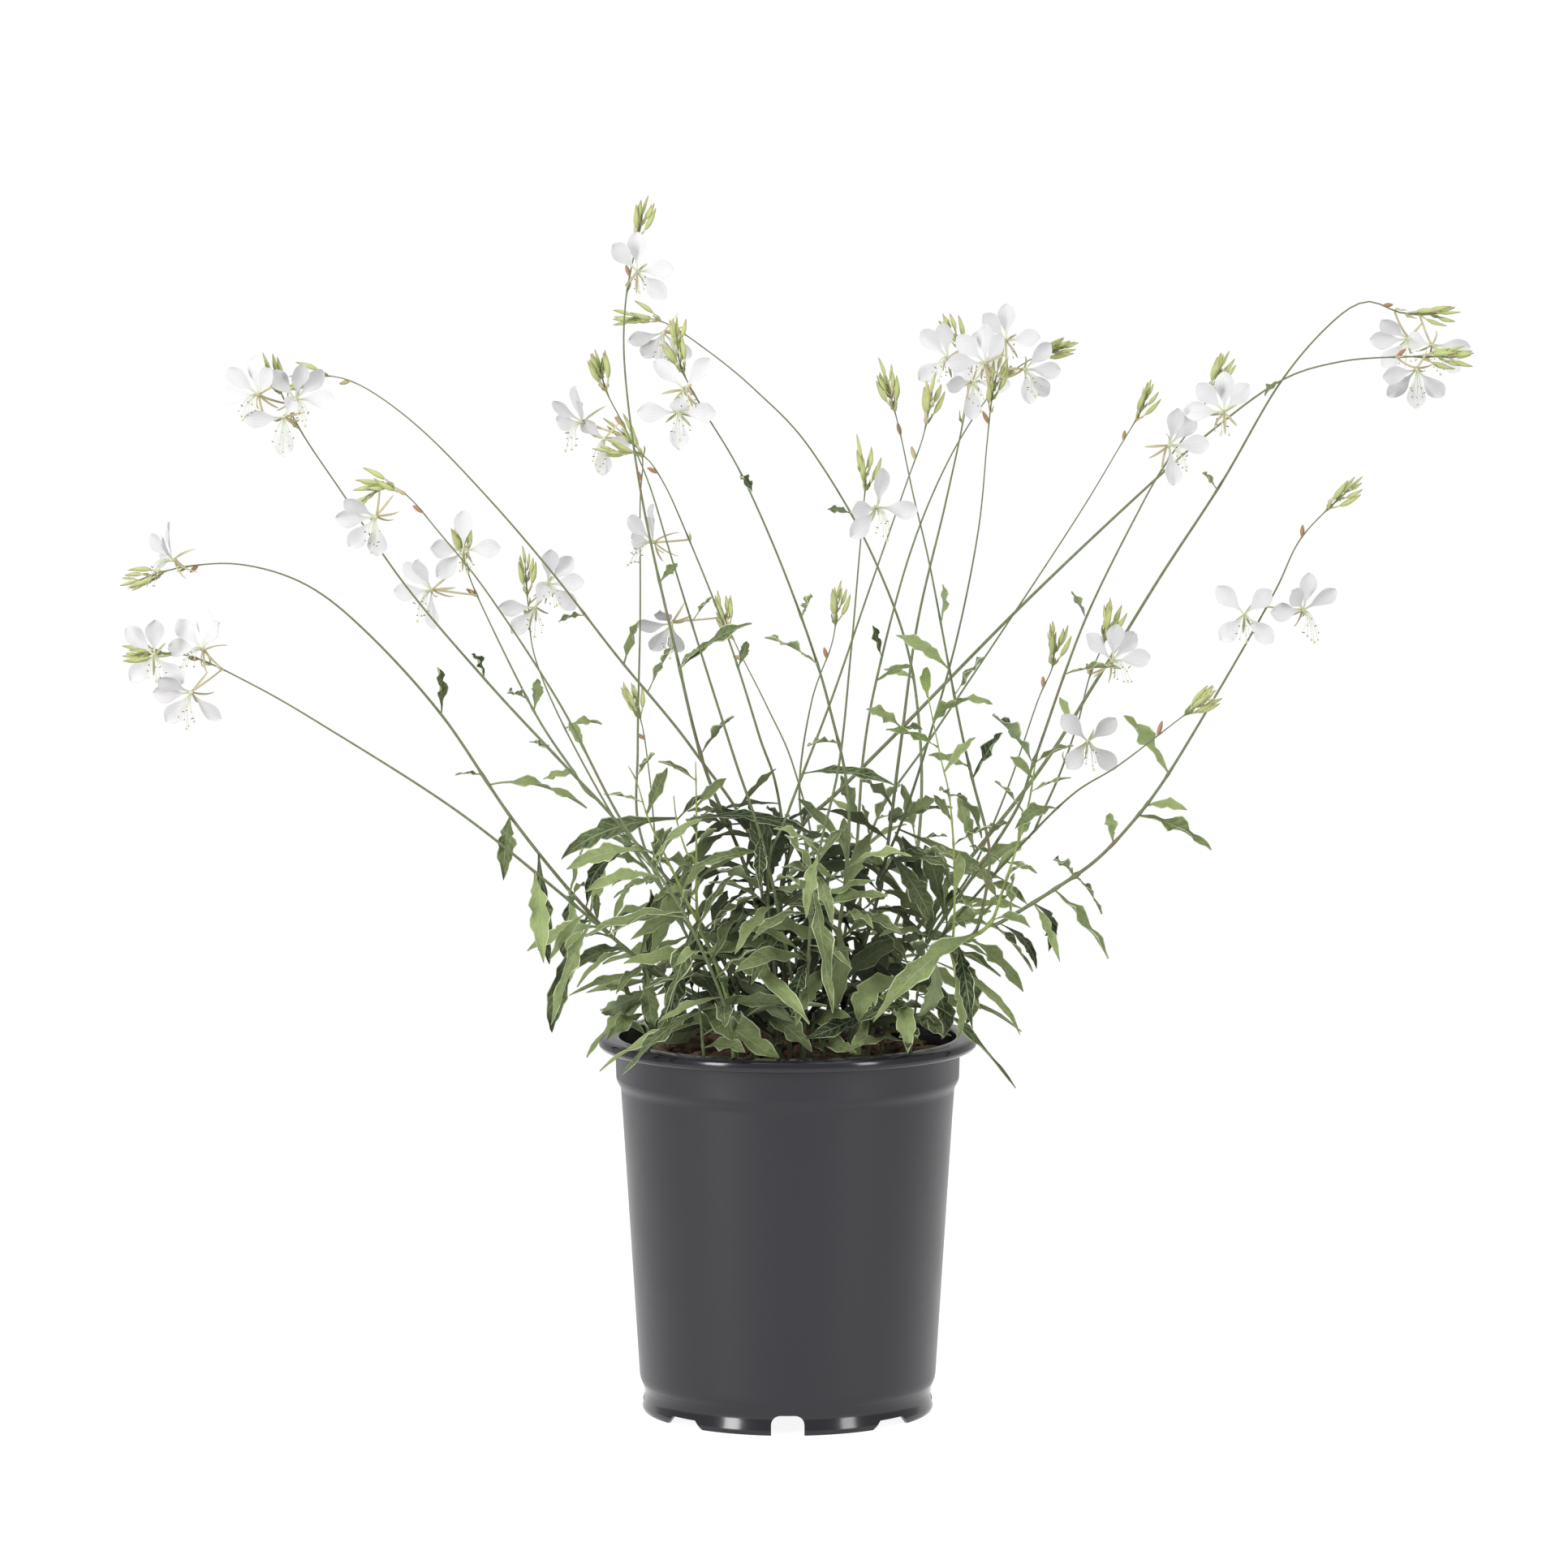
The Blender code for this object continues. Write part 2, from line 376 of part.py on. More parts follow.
class Route:
    """A smooth line through hand-placed points, read by the distance along it."""

    STEPS = 20

    def __init__(self, points):
        ends = [points[0]] + list(points) + [points[-1]]
        self.line = []
        for i in range(1, len(ends) - 2):
            a, b, c, d = ends[i - 1:i + 3]
            for k in range(self.STEPS):
                t = k / self.STEPS
                self.line.append(0.5 * (2 * b + (c - a) * t + (2 * a - 5 * b + 4 * c - d) * t * t
                                        + (3 * b - a - 3 * c + d) * t ** 3))
        self.line.append(points[-1].copy())
        self.reach = [0.0]
        for first, second in zip(self.line, self.line[1:]):
            self.reach.append(self.reach[-1] + (second - first).length)
        self.length = self.reach[-1]
        self.sides = []
        side = Vector((1, 0, 0))
        for i in range(len(self.line)):
            tangent = self.heading(i)
            side = (side - tangent * side.dot(tangent)).normalized()
            self.sides.append(side)

    def heading(self, i):
        low, high = max(i - 1, 0), min(i + 1, len(self.line) - 1)
        return (self.line[high] - self.line[low]).normalized()

    def index(self, reach):
        reach = min(max(reach, 0.0), self.length)
        low, high = 0, len(self.reach) - 1
        while high - low > 1:
            middle = (low + high) // 2
            if self.reach[middle] <= reach:
                low = middle
            else:
                high = middle
        return low, (reach - self.reach[low]) / (self.reach[high] - self.reach[low])

    def point(self, reach):
        i, t = self.index(reach)
        return self.line[i].lerp(self.line[i + 1], t)

    def frame(self, reach):
        """The line's direction and the two directions across it."""
        i, t = self.index(reach)
        along = self.heading(i).lerp(self.heading(i + 1), t).normalized()
        side = self.sides[i]
        side = (side - along * side.dot(along)).normalized()
        return along, side, along.cross(side)

    def ring(self, reach, radius):
        """Three corners round the line, the wall after each one facing at a third of a turn."""
        along, side, other = self.frame(reach)
        middle = self.point(reach)
        turns = [math.radians(120 * k - 60) for k in range(3)]
        return [middle + radius * (math.cos(turn) * side + math.sin(turn) * other) for turn in turns]

    def nearest(self, across, down):
        """The distance along the line whose place in the front view is nearest."""
        def miss(i):
            x, y = view_place(self.line[i])
            return (x - across) ** 2 + (y - down) ** 2
        return self.reach[min(range(len(self.line)), key=miss)]


class Ground:
    """What is in place already, so that each new part grows clear of it."""

    def __init__(self):
        self.kept = []

    def add(self, owner, points, faces):
        self.kept.append((owner, *box_of(points), BVHTree.FromPolygons(points, faces)))

    def add_rings(self, owner, rings, tip=None):
        self.add(owner, *skin(rings, tip))

    def clear(self, owner, rings, tip=None, root=None):
        """Whether rings of points, thickened a little, miss everything kept. The root may touch its own owner."""
        wide = skin(([root] if root else []) + [spread(ring, CLEAR) for ring in rings], tip)
        own = skin([spread(ring, OWN_CLEAR) for ring in rings], tip)
        low, high = box_of(wide[0])
        trees = {}
        for keeper, keeper_low, keeper_high, tree in self.kept:
            if any(low[k] > keeper_high[k] or high[k] < keeper_low[k] for k in range(3)):
                continue
            kind = keeper == owner
            if kind not in trees:
                trees[kind] = BVHTree.FromPolygons(*(own if kind else wide))
            if trees[kind].overlap(tree):
                return False
        return True


def box_of(points):
    return [min(p[k] for p in points) for k in range(3)], [max(p[k] for p in points) for k in range(3)]


def spread(ring, distance):
    middle = sum(ring, Vector()) / len(ring)
    return [p + (p - middle).normalized() * distance for p in ring]


def skin(rings, tip):
    """The points and faces of a closed tube through rings of points."""
    points = [p for ring in rings for p in ring]
    count = len(rings[0])
    last = len(points) - count
    faces = [list(range(count))[::-1]]
    for start in range(0, last, count):
        for k in range(count):
            after = (k + 1) % count
            faces.append([start + k, start + after, start + count + after, start + count + k])
    if tip is None:
        faces.append([last + k for k in range(count)])
    else:
        points.append(tip)
        faces += [[last + k, last + (k + 1) % count, len(points) - 1] for k in range(count)]
    return points, faces


class Limb:
    """A stem, shoot or branch, with the parts that grow out of its side walls."""

    def __init__(self, name, node, points, radius, young=False):
        self.name, self.node, self.young = name, node, young
        self.route = Route(points)
        self.radius = radius * MM
        self.length = self.route.length
        self.sites = {}
        self.tip = None

    def thickness(self, reach):
        return max(self.radius * (1 - STEM_TAPER * reach / self.length), LEAST_RADIUS)

    def ring(self, reach):
        return self.route.ring(reach, self.thickness(reach))

    def wall(self, reach, side):
        """The middle of a part's root on a side wall, the way that the wall faces, and the stem's way."""
        along, across, other = self.route.frame(reach)
        turn = math.radians(120 * side)
        out = math.cos(turn) * across + math.sin(turn) * other
        return self.route.point(reach) + out * self.thickness(reach) / 2 + along * ROOT_RISE / 3, out, along

    def root(self, reach, side, ring):
        """The corners that a part on a side wall grows from, in the order of its first ring."""
        corners = self.ring(reach)
        first, second = corners[side], corners[(side + 1) % 3]
        corners = [first, second, (first + second) / 2 + self.route.frame(reach)[0] * ROOT_RISE]
        turn = least_twist(corners, ring)
        return [corners[(k - turn) % 3] for k in range(3)]

    def free_site(self, reach, towards):
        """The nearest free wall to a place on the stem that faces a direction."""
        last = self.length - 2 * ROOT_RISE
        for shift in SITE_SHIFTS:
            place = min(max(reach + shift * SITE_STEP, self.first), last)
            place = self.first + round((place - self.first) / SITE_STEP) * SITE_STEP
            place = min(place, last - (last - self.first) % SITE_STEP)
            sides = sorted(range(3), key=lambda side: -self.wall(place, side)[1].dot(towards))
            for side in sides[:2]:
                if (place, side) not in self.sites:
                    return place, side
        return None

    def places(self):
        """Where the rings of the tube lie: both ends, where parts grow, and between them where it bends."""
        marks = [0.0, self.first - COLLAR]
        marks += sorted({place for place, side in self.sites}) + [self.length]
        full = marks[:2]
        for mark in marks[2:]:
            start = full[-1]
            extra = int(self.bending(start, mark) / RING_BEND + (mark - start) / RING_STEP)
            full += [start + (mark - start) * (k + 1) / (extra + 1) for k in range(extra)]
            full.append(mark)
        return full

    def bending(self, start, end):
        """How far the stem turns between two places."""
        first, middle, last = (self.route.frame(reach)[0] for reach in (start, (start + end) / 2, end))
        return first.angle(middle) + middle.angle(last)


def bend(start, control, tip, share):
    """A point on the curve from start to tip that control pulls, and its direction there."""
    first, second = start.lerp(control, share), control.lerp(tip, share)
    return first.lerp(second, share), (second - first).normalized()


def blade(start, control, tip, face, half_width, outline, wave=EDGE_WAVE):
    """Rings (edge, midrib, edge) along a bent blade, which waves up and down in turn."""
    rings = []
    for number, (share, width) in enumerate(OUTLINES[outline]):
        middle, along = bend(start, control, tip, share)
        normal = (face - along * face.dot(along)).normalized()
        across = normal.cross(along)
        half = max(half_width * width, LEAST_HALF_WIDTH)
        lift = wave * (-1) ** number * width
        middle += normal * lift
        rings.append([middle + across * half, middle + normal * BLADE_RISE, middle - across * half])
    return rings


def pod(start, along, length, radius):
    """The one ring of a bud or a capsule, and its tip."""
    return [corners_round(start + along * length * 0.5, along, radius)], start + along * length


def grow_limbs(ground):
    """Every stem and branch, its lower end in the soil or in the stem that it forks from."""
    limbs = {}
    for name, (radius, places) in STEMS.items():
        points = [seen(*place) for place in places]
        top = points[0]
        foot = Vector((top.x * FOOT_SHARE, top.y * FOOT_SHARE, SOIL_TOP - STEM_DEPTH))
        limbs[name] = Limb(name, name, [foot] + points, radius, name.startswith("shoot"))
        limbs[name].first = STEM_DEPTH + FIRST_SITE
    for name, (parent, radius, places) in BRANCHES.items():
        stem = limbs[parent]
        points = [seen(*place) for place in places]
        reach = stem.route.nearest(*places[0][:2])
        place, side = stem.free_site(reach, (points[1] - points[0]).normalized())
        start, out, along = stem.wall(place, side)
        limbs[name] = Limb(name, stem.node, [start, start + out * FORK_OUT + along * FORK_UP] + points[1:],
                           radius, stem.young)
        limbs[name].first = BRANCH_SITE
        stem.sites[place, side] = limbs[name]
    for name, (foot, top, leaves) in BASAL_SHOOTS.items():
        low, high = Vector(foot) * MM, Vector(top) * MM
        low.z = SOIL_TOP - STEM_DEPTH
        limbs[name] = Limb(name, name, [low, low.lerp(high, 0.5), high], BASAL_RADIUS)
        limbs[name].first = STEM_DEPTH + BASAL_SITE
    for limb in limbs.values():
        steps = max(int(limb.length / TEST_STEP), 2)
        rings = [limb.ring(limb.length * k / steps) for k in range(1, steps + 1)]
        rings.insert(0, limb.ring(0 if limb.name == limb.node else 2 * MM))
        ground.add_rings(limb.node, rings)
    return limbs


class Bloom:
    """One flower: a core, petals and sepals on its sides, stamens on its face, and its stalk's end behind it."""

    def __init__(self, middle, turn, petals, link=None):
        yaw, pitch = (math.radians(angle) for angle in turn)
        self.middle, self.petals = middle, petals
        self.facing = Vector((math.sin(yaw) * math.cos(pitch), -math.cos(yaw) * math.cos(pitch), math.sin(pitch)))
        self.up = (Vector((0, 0, 1)) - self.facing * self.facing.z).normalized()
        self.right = self.up.cross(self.facing)
        self.back = middle - self.facing * (BLOOM_DEPTH / 2 + GAP)
        self.link = link

    def way(self, eighth):
        turn = math.radians(45 * eighth)
        return math.cos(turn) * self.right + math.sin(turn) * self.up

    def blades(self):
        """The petals and the sepal, each as (its side, rings, tip)."""
        found = []
        joined = self.joined_petal()
        for number, eighth in enumerate(sorted(self.petals)):
            out = self.way(eighth)
            start = self.middle + out * BLOOM_CORE
            lean = PETAL_LEANS[number % 2]
            tip = start + PETAL_LENGTH * (math.cos(lean) * out + math.sin(lean) * self.facing)
            control = start.lerp(tip, 0.5) + PETAL_LENGTH * PETAL_LIFT * self.facing
            if eighth == joined:
                tip = self.link.middle
                control = start.lerp(tip, 0.5)
            rings = blade(start, control, tip, self.facing, PETAL_WIDTH / 2, "petal", 0)
            found.append((out, rings, tip))
        out = self.way(next(eighth for eighth in (6, 4, 0, 7, 5, 2, 3, 1) if eighth not in self.petals))
        start = self.middle + out * BLOOM_CORE
        tip = start + SEPAL_LENGTH * (SEPAL_WAY[0] * out + SEPAL_WAY[1] * self.facing)
        rings = blade(start, start.lerp(tip, 0.5) + out * MM, tip, self.facing, SEPAL_WIDTH / 2, "sepal", 0)
        found.append((out, rings, tip))
        return found

    def joined_petal(self):
        """The petal that lies across a neighbouring bloom, where there is one."""
        if self.link is None:
            return None
        return max(self.petals, key=lambda eighth: self.way(eighth).dot(self.link.middle - self.middle))

    def stamens(self):
        """The common way that the stamens lean."""
        return (STAMEN_WAY[0] * self.facing + STAMEN_WAY[1] * self.up).normalized() * STAMEN_LENGTH

    def parts(self):
        """Every part as rings and a tip, for the clearance test."""
        core = [[self.middle + self.facing * depth + self.way(eighth) * BLOOM_CORE for eighth in range(8)]
                for depth in (-BLOOM_DEPTH / 2, BLOOM_DEPTH / 2)]
        yield core, None
        for out, rings, tip in self.blades():
            yield rings, tip
        start = self.middle + self.facing * (BLOOM_DEPTH / 2 + FACE_RISE / 2)
        fan = [[start + self.stamens() * share + self.way(eighth) * BLOOM_CORE * (1 + 1.2 * share)
                for eighth in (0, 2, 4, 6)] for share in (0.1, 1)]
        yield fan, None


def set_blooms(limbs, ground):
    """Each bloom clear of what is in place, with its stalk on its stem."""
    blooms = {}
    for name, (stem, flowers) in BLOOMS.items():
        limb = limbs[stem]
        for shift in DEPTH_SHIFTS:
            found, stalks = [], []
            for (across, down), front, turn, petals in flowers:
                nearest = limb.route.nearest(across, down)
                depth = limb.route.point(nearest).y / MM - front + shift
                bloom = Bloom(seen(across, down, depth), turn, petals, found[0] if found else None)
                found.append(bloom)
                stalks.append((max(nearest - STALK_DROP, limb.first), bloom))
            if all(ground.clear(name, rings, tip) for bloom in found for rings, tip in bloom.parts()):
                break
        for bloom in found:
            for out, rings, tip in bloom.blades():
                ground.add_rings(name, rings, tip)
        for reach, bloom in stalks:
            set_stalk(limb, reach, bloom, ground)
        for bloom in found:
            for rings, tip in bloom.parts():
                ground.add_rings(name, rings, tip)
        blooms[name] = found
    return blooms


def set_stalk(limb, reach, bloom, ground):
    """The slender tube from the stem to the back of a bloom."""
    for shift in SITE_SHIFTS:
        towards = (bloom.back - limb.route.point(reach + shift * SITE_STEP)).normalized()
        site = limb.free_site(reach + shift * SITE_STEP, towards)
        if site is None:
            continue
        start, out, along = limb.wall(*site)
        control = start.lerp(bloom.back, 0.5) + out * LEAF_OUT
        middle, way = bend(start, control, bloom.back, 0.55)
        rings = [corners_round(middle, way, STALK_RADIUS), corners_round(bloom.back, bloom.facing, STALK_END)]
        root = limb.root(*site, rings[0])
        if ground.clear(limb.node, rings, None, root):
            break
    limb.sites[site] = ("stalk", rings, None)
    ground.add_rings(limb.node, [root] + rings)


def corners_round(middle, along, radius):
    """Three points round a line."""
    across = along.orthogonal().normalized()
    other = along.cross(across)
    turns = [2 * math.pi / 3 * k for k in range(3)]
    return [middle + radius * (math.cos(turn) * across + math.sin(turn) * other) for turn in turns]


def set_organ(limb, reach, towards, ways, ground, make):
    """Tries the ways to lay an organ in turn, and keeps the first that is clear."""
    site = limb.free_site(reach, towards)
    if site is None:
        return False
    start, out, along = limb.wall(*site)
    for way in ways:
        kind, rings, tip = make(start, out, along, way)
        root = limb.root(*site, rings[0])
        if ground.clear(limb.node, rings, tip, root):
            limb.sites[site] = (kind, rings, tip)
            ground.add_rings(limb.node, [root] + rings, tip)
            return True
    return False


def set_buds(limb, ground):
    """Whorls of buds below the tip, a bud on the tip, and seed capsules below them."""
    def bud(start, out, along, way):
        lean, size = way
        direction = (math.cos(lean) * along + math.sin(lean) * out).normalized()
        return ("bud", *pod(start, direction, BUD_LENGTH * size, BUD_RADIUS * size ** 0.5))
    along = limb.route.frame(limb.length)[0]
    limb.tip = pod(limb.route.point(limb.length), along, BUD_LENGTH * 0.6, BUD_RADIUS * 0.8)
    ground.add_rings(limb.node, *limb.tip)
    for number, size in enumerate(BUD_SIZES):
        reach = limb.length - (number + 1) * BUD_STEP
        for side in range(3):
            out = limb.wall(reach, side)[1]
            ways = [(math.radians(lean), size) for lean in BUD_LEANS]
            set_organ(limb, reach, out, ways, ground, bud)
    for number in range(CAPSULES):
        reach = limb.length - len(BUD_SIZES) * BUD_STEP - (number + 1) * CAPSULE_STEP
        out = limb.wall(reach, number + 1)[1]
        ways = [(math.radians(lean), CAPSULE_SIZE) for lean in CAPSULE_LEANS]
        set_organ(limb, reach, out, ways, ground, bud)


def set_large_leaves(limbs, ground):
    for stem, root, tip, width in LARGE_LEAVES:
        limb = limbs[stem]
        goal = seen(*tip)
        reach = max(limb.route.nearest(*root), limb.first)
        start = limb.route.point(reach)
        lay_leaf(limb, reach, goal - start, width * MM, "large", ground)


def lay_leaf(limb, reach, span, width, outline, ground):
    """One leaf over the given span, drawn aside or shortened where something is in its way."""
    side = span.cross(UP).normalized()
    def leaf(start, out, along, way):
        turn, rise, size = way
        tip = start + (span + (side * turn + UP * rise) * span.length) * size
        control = start.lerp(tip, 0.45) + UP * (tip - start).length * LEAF_ARCH + out * LEAF_OUT
        face = (UP * 0.9 - VIEW_WAY * 0.5 + side * 0.25 * (1 if reach * 1000 % 2 > 1 else -1)).normalized()
        return (outline, blade(start, control, tip, face, width * size / 2, outline), tip)
    ways = [(turn, rise, size) for size in LEAF_SIZES for turn, rise in LEAF_TURNS]
    return set_organ(limb, reach, span.normalized(), ways, ground, leaf)


def set_small_leaves(limb, ground, draw):
    """Leaves in a spiral up a stem: long and close at its foot, small and far apart above."""
    if limb.name in BASAL_SHOOTS:
        return
    tuft = limb.name in LEAFY_SHOOTS
    leafy = limb.length * (1.0 if tuft else LEAFY_SHARE)
    angle = draw.uniform(0, 2 * math.pi)
    reach = limb.first + draw.uniform(1, 8) * MM
    while reach < leafy:
        angle += GOLDEN_ANGLE
        low = limb.name == limb.node and reach < FOOT_LEAVES
        along, across, other = limb.route.frame(reach)
        out = math.cos(angle) * across + math.sin(angle) * other
        length = (FOOT_LEAF if low else TUFT_LEAF if tuft else UPPER_LEAF) * draw.uniform(*LEAF_SPREAD)
        span = (out * 0.9 + along * (0.25 if low else 0.5)).normalized() * length
        if low:
            lay_leaf(limb, reach, span, length * FOOT_WIDTH, "middle", ground)
        else:
            lay_leaf(limb, reach, span, length * UPPER_WIDTH, "small", ground)
        reach += (FOOT_STEP if low else TUFT_STEP if tuft else UPPER_STEP) * draw.uniform(*LEAF_SPREAD)


def set_basal_leaves(limbs, ground):
    for name, (foot, top, leaves) in BASAL_SHOOTS.items():
        limb = limbs[name]
        for number, (tip, width) in enumerate(leaves):
            reach = min(limb.first + (number + 1) * SITE_STEP, limb.length)
            span = Vector(tip) * MM - limb.route.point(reach)
            lay_leaf(limb, reach, span, width * MM, "large", ground)


def draw_out(bm, face, rings, tip=None):
    """Extrudes a three-cornered face through rings, its walls split from edge to midrib, to a tip if given."""
    corners = [vert.co.copy() for vert in face.verts]
    turn = least_twist(corners, rings[0])
    for number, ring in enumerate(rings):
        old = list(face.verts)
        face = bmesh.ops.extrude_discrete_faces(bm, faces=[face])["faces"][0]
        new = list(face.verts)
        for k in range(3):
            new[k].co = ring[(k + turn) % 3]
        for k in range(3):
            after = (k + 1) % 3
            first, second = (old[after], new[k]) if (k + turn) % 3 == 1 else (old[k], new[after])
            wall = next(f for f in first.link_faces if second in f.verts)
            bmesh.utils.face_split(wall, first, second)
    if tip is not None:
        bmesh.ops.poke(bm, faces=[face])["verts"][0].co = tip


def least_twist(corners, ring):
    """How far to turn a ring's order so that its points lie nearest the corners."""
    def twist(turn):
        return sum((ring[(k + turn) % 3] - corners[k]).length_squared for k in range(3))
    return min(range(3), key=twist)


def build_limb(bm, face, limb):
    """Extrudes the tube of a stem or branch from a face, then each of its parts from its walls."""
    places = limb.places()
    turn = least_twist([vert.co.copy() for vert in face.verts], limb.ring(places[1]))
    walls, edges = {}, {}
    for below, place in zip(places, places[1:]):
        ring = limb.ring(place)
        lower = list(face.verts)
        face = bmesh.ops.extrude_discrete_faces(bm, faces=[face])["faces"][0]
        for k, vert in enumerate(face.verts):
            vert.co = ring[(k + turn) % 3]
        for k, loop in enumerate(face.loops):
            walls[below, (k + turn) % 3] = loop.link_loop_radial_next.face
            edges[below, (k + turn) % 3] = lower[k], lower[(k + 1) % 3]
    for (place, side), organ in limb.sites.items():
        root = root_face(bm, walls[place, side], edges[place, side], limb.route.frame(place)[0])
        if isinstance(organ, Limb):
            build_limb(bm, root, organ)
        else:
            draw_out(bm, root, *organ[1:])
    if limb.tip is not None:
        draw_out(bm, face, *limb.tip)


def root_face(bm, wall, edge, along):
    """A small three-cornered face at the lower edge of a wall, for a part to grow from."""
    poked = bmesh.ops.poke(bm, faces=[wall])
    poked["verts"][0].co = (edge[0].co + edge[1].co) / 2 + along * ROOT_RISE
    return next(face for face in poked["faces"] if edge[0] in face.verts and edge[1] in face.verts)


def foot_face(bm, ring):
    """The closed lower end of a stem: a thin slab whose upper face the stem grows from."""
    low = [bm.verts.new(point) for point in ring]
    high = [bm.verts.new(point + UP * MM) for point in ring]
    bm.faces.new(low[::-1])
    for k in range(3):
        after = (k + 1) % 3
        bm.faces.new((low[k], low[after], high[after], high[k]))
    return bm.faces.new(high)


def stem_object(limb, material):
    bm = bmesh.new()
    build_limb(bm, foot_face(bm, limb.ring(0)), limb)
    return finished(limb.name, bm, material)


def bloom_mesh(bloom):
    """An eight-sided core whose side faces grow petals and sepals, and whose front grows the stamens."""
    bm = bmesh.new()
    bmesh.ops.create_cone(bm, cap_ends=True, segments=8, radius1=BLOOM_CORE, radius2=BLOOM_CORE, depth=BLOOM_DEPTH)
    place = Matrix((bloom.right, bloom.up, bloom.facing)).transposed().to_4x4()
    turn = Matrix.Rotation(math.radians(22.5), 4, "Z")
    bmesh.ops.transform(bm, verts=bm.verts, matrix=Matrix.Translation(bloom.middle) @ place @ turn)
    bm.normal_update()
    front = max(bm.faces, key=lambda face: face.normal.dot(bloom.facing))
    walls = bmesh.ops.triangulate(bm, faces=[face for face in bm.faces if len(face.verts) == 4])["faces"]
    chosen = []
    for out, rings, tip in bloom.blades():
        wall = max(walls, key=lambda face: face.normal.dot(out))
        walls.remove(wall)
        chosen.append((wall, rings, tip))
    fan = bmesh.ops.poke(bm, faces=[front])
    fan["verts"][0].co += bloom.facing * FACE_RISE
    for face in fan["faces"]:
        middle = face.calc_center_median()
        away = (middle - bloom.middle) - bloom.facing * (middle - bloom.middle).dot(bloom.facing)
        tip = bmesh.ops.poke(bm, faces=[face])["verts"][0]
        tip.co = middle + bloom.stamens() + away * STAMEN_SPREAD
    for wall, rings, tip in chosen:
        draw_out(bm, wall, rings, tip)
    return bm


def bloom_object(name, flowers, material):
    first = finished(name, bloom_mesh(flowers[0]), material)
    if len(flowers) == 1:
        return first
    group = bpy.data.collections.new(name + "_parts")
    other = finished(name + "_other", bloom_mesh(flowers[1]), material)
    group.objects.link(other)
    union = first.modifiers.new("joined", "BOOLEAN")
    union.operation = "UNION"
    union.solver = "MANIFOLD"
    union.operand_type = "COLLECTION"
    union.collection = group
    apply_modifiers(first)
    bpy.data.objects.remove(other)
    bpy.data.collections.remove(group)
    return first


def finished(name, bm, material):
    """An object of its own from a mesh, smooth but for its sharp edges."""
    mesh = bpy.data.meshes.new(name)
    bm.to_mesh(mesh)
    bm.free()
    mesh.materials.append(material)
    mesh.shade_smooth()
    mesh.set_sharp_from_angle(angle=math.radians(40))
    thing = bpy.data.objects.new(name, mesh)
    bpy.context.scene.collection.objects.link(thing)
    return thing


def apply_modifiers(thing):
    """Replaces the mesh by what its modifiers make of it."""
    bpy.context.view_layer.update()
    graph = bpy.context.evaluated_depsgraph_get()
    made = bpy.data.meshes.new_from_object(thing.evaluated_get(graph))
    thing.modifiers.clear()
    thing.data = made


def finish_material(name, finish):
    colour, roughness = finish
    material = bpy.data.materials.new(name)
    material.use_nodes = True
    shader = material.node_tree.nodes["Principled BSDF"]
    shader.inputs["Base Color"].default_value = colour
    shader.inputs["Roughness"].default_value = roughness
    material.diffuse_color = colour
    return material


def spin_profile(profile, sides):
    """A closed body turned about the upright axis from (radius, height) points."""
    bm = bmesh.new()
    turns = [2 * math.pi * k / sides for k in range(sides)]
    rows = []
    for radius, height in profile:
        if radius == 0:
            rows.append([bm.verts.new((0, 0, height))] * sides)
        else:
            rows.append([bm.verts.new((radius * math.cos(turn), radius * math.sin(turn), height)) for turn in turns])
    for row, below in zip(rows, rows[1:]):
        for k in range(sides):
            after = (k + 1) % sides
            corners = [row[k], below[k], below[after], row[after]]
            bm.faces.new(list(dict.fromkeys(corners)))
    return bm


def inner_radius(height):
    """The radius of the pot's inside at a height."""
    share = (height - FLOOR_TOP) / (POT_HEIGHT - FLOOR_TOP)
    return HEEL_RADIUS - WALL + share * (NECK_RADIUS - HEEL_RADIUS)


def pot_object(material):
    lip_top, lip_low, edge = POT_HEIGHT, POT_HEIGHT - LIP_HEIGHT, POT_EDGE
    profile = [
        (0, FLOOR_TOP), (inner_radius(FLOOR_TOP), FLOOR_TOP), (inner_radius(lip_top), lip_top),
        (LIP_RADIUS - edge, lip_top), (LIP_RADIUS, lip_top - edge), (LIP_RADIUS, lip_low + edge),
        (LIP_RADIUS - edge, lip_low), (NECK_RADIUS, lip_low), (NECK_RADIUS - edge, NECK_BOTTOM),
        (SHOULDER_RADIUS, SHOULDER_HEIGHT), (HEEL_RADIUS, HEEL_HEIGHT), (SKIRT_RADIUS, SKIRT_HEIGHT),
        (FOOT_RADIUS + edge / 2, edge / 2), (FOOT_RADIUS, 0), (FOOT_RADIUS - WALL, 0),
        (SKIRT_RADIUS - WALL, FLOOR_BOTTOM), (0, FLOOR_BOTTOM),
    ]
    pot = finished("pot", spin_profile(profile, POT_SIDES), material)
    cutters = bpy.data.collections.new("pot_cutters")
    bpy.context.scene.collection.children.link(cutters)
    for quarter in range(4):
        turn = math.pi / 2 * quarter
        add_cutter(cutters, "notch_%d" % quarter, arch(), turn)
        add_cutter(cutters, "recess_%d" % quarter, recess(), turn + math.pi / 4)
        add_cutter(cutters, "drain_%d" % quarter, drain(), turn + math.pi / 4)
    cut(pot, cutters)
    return pot


def extruded(outline, low, high):
    """A prism along +X from outline points (y, z), from x = low to x = high."""
    bm = bmesh.new()
    face = bm.faces.new([bm.verts.new((low, y, z)) for y, z in outline])
    side = bmesh.ops.extrude_face_region(bm, geom=[face])["geom"]
    bmesh.ops.translate(bm, verts=[item for item in side if isinstance(item, bmesh.types.BMVert)],
                        vec=(high - low, 0, 0))
    bmesh.ops.recalc_face_normals(bm, faces=bm.faces)
    return bm


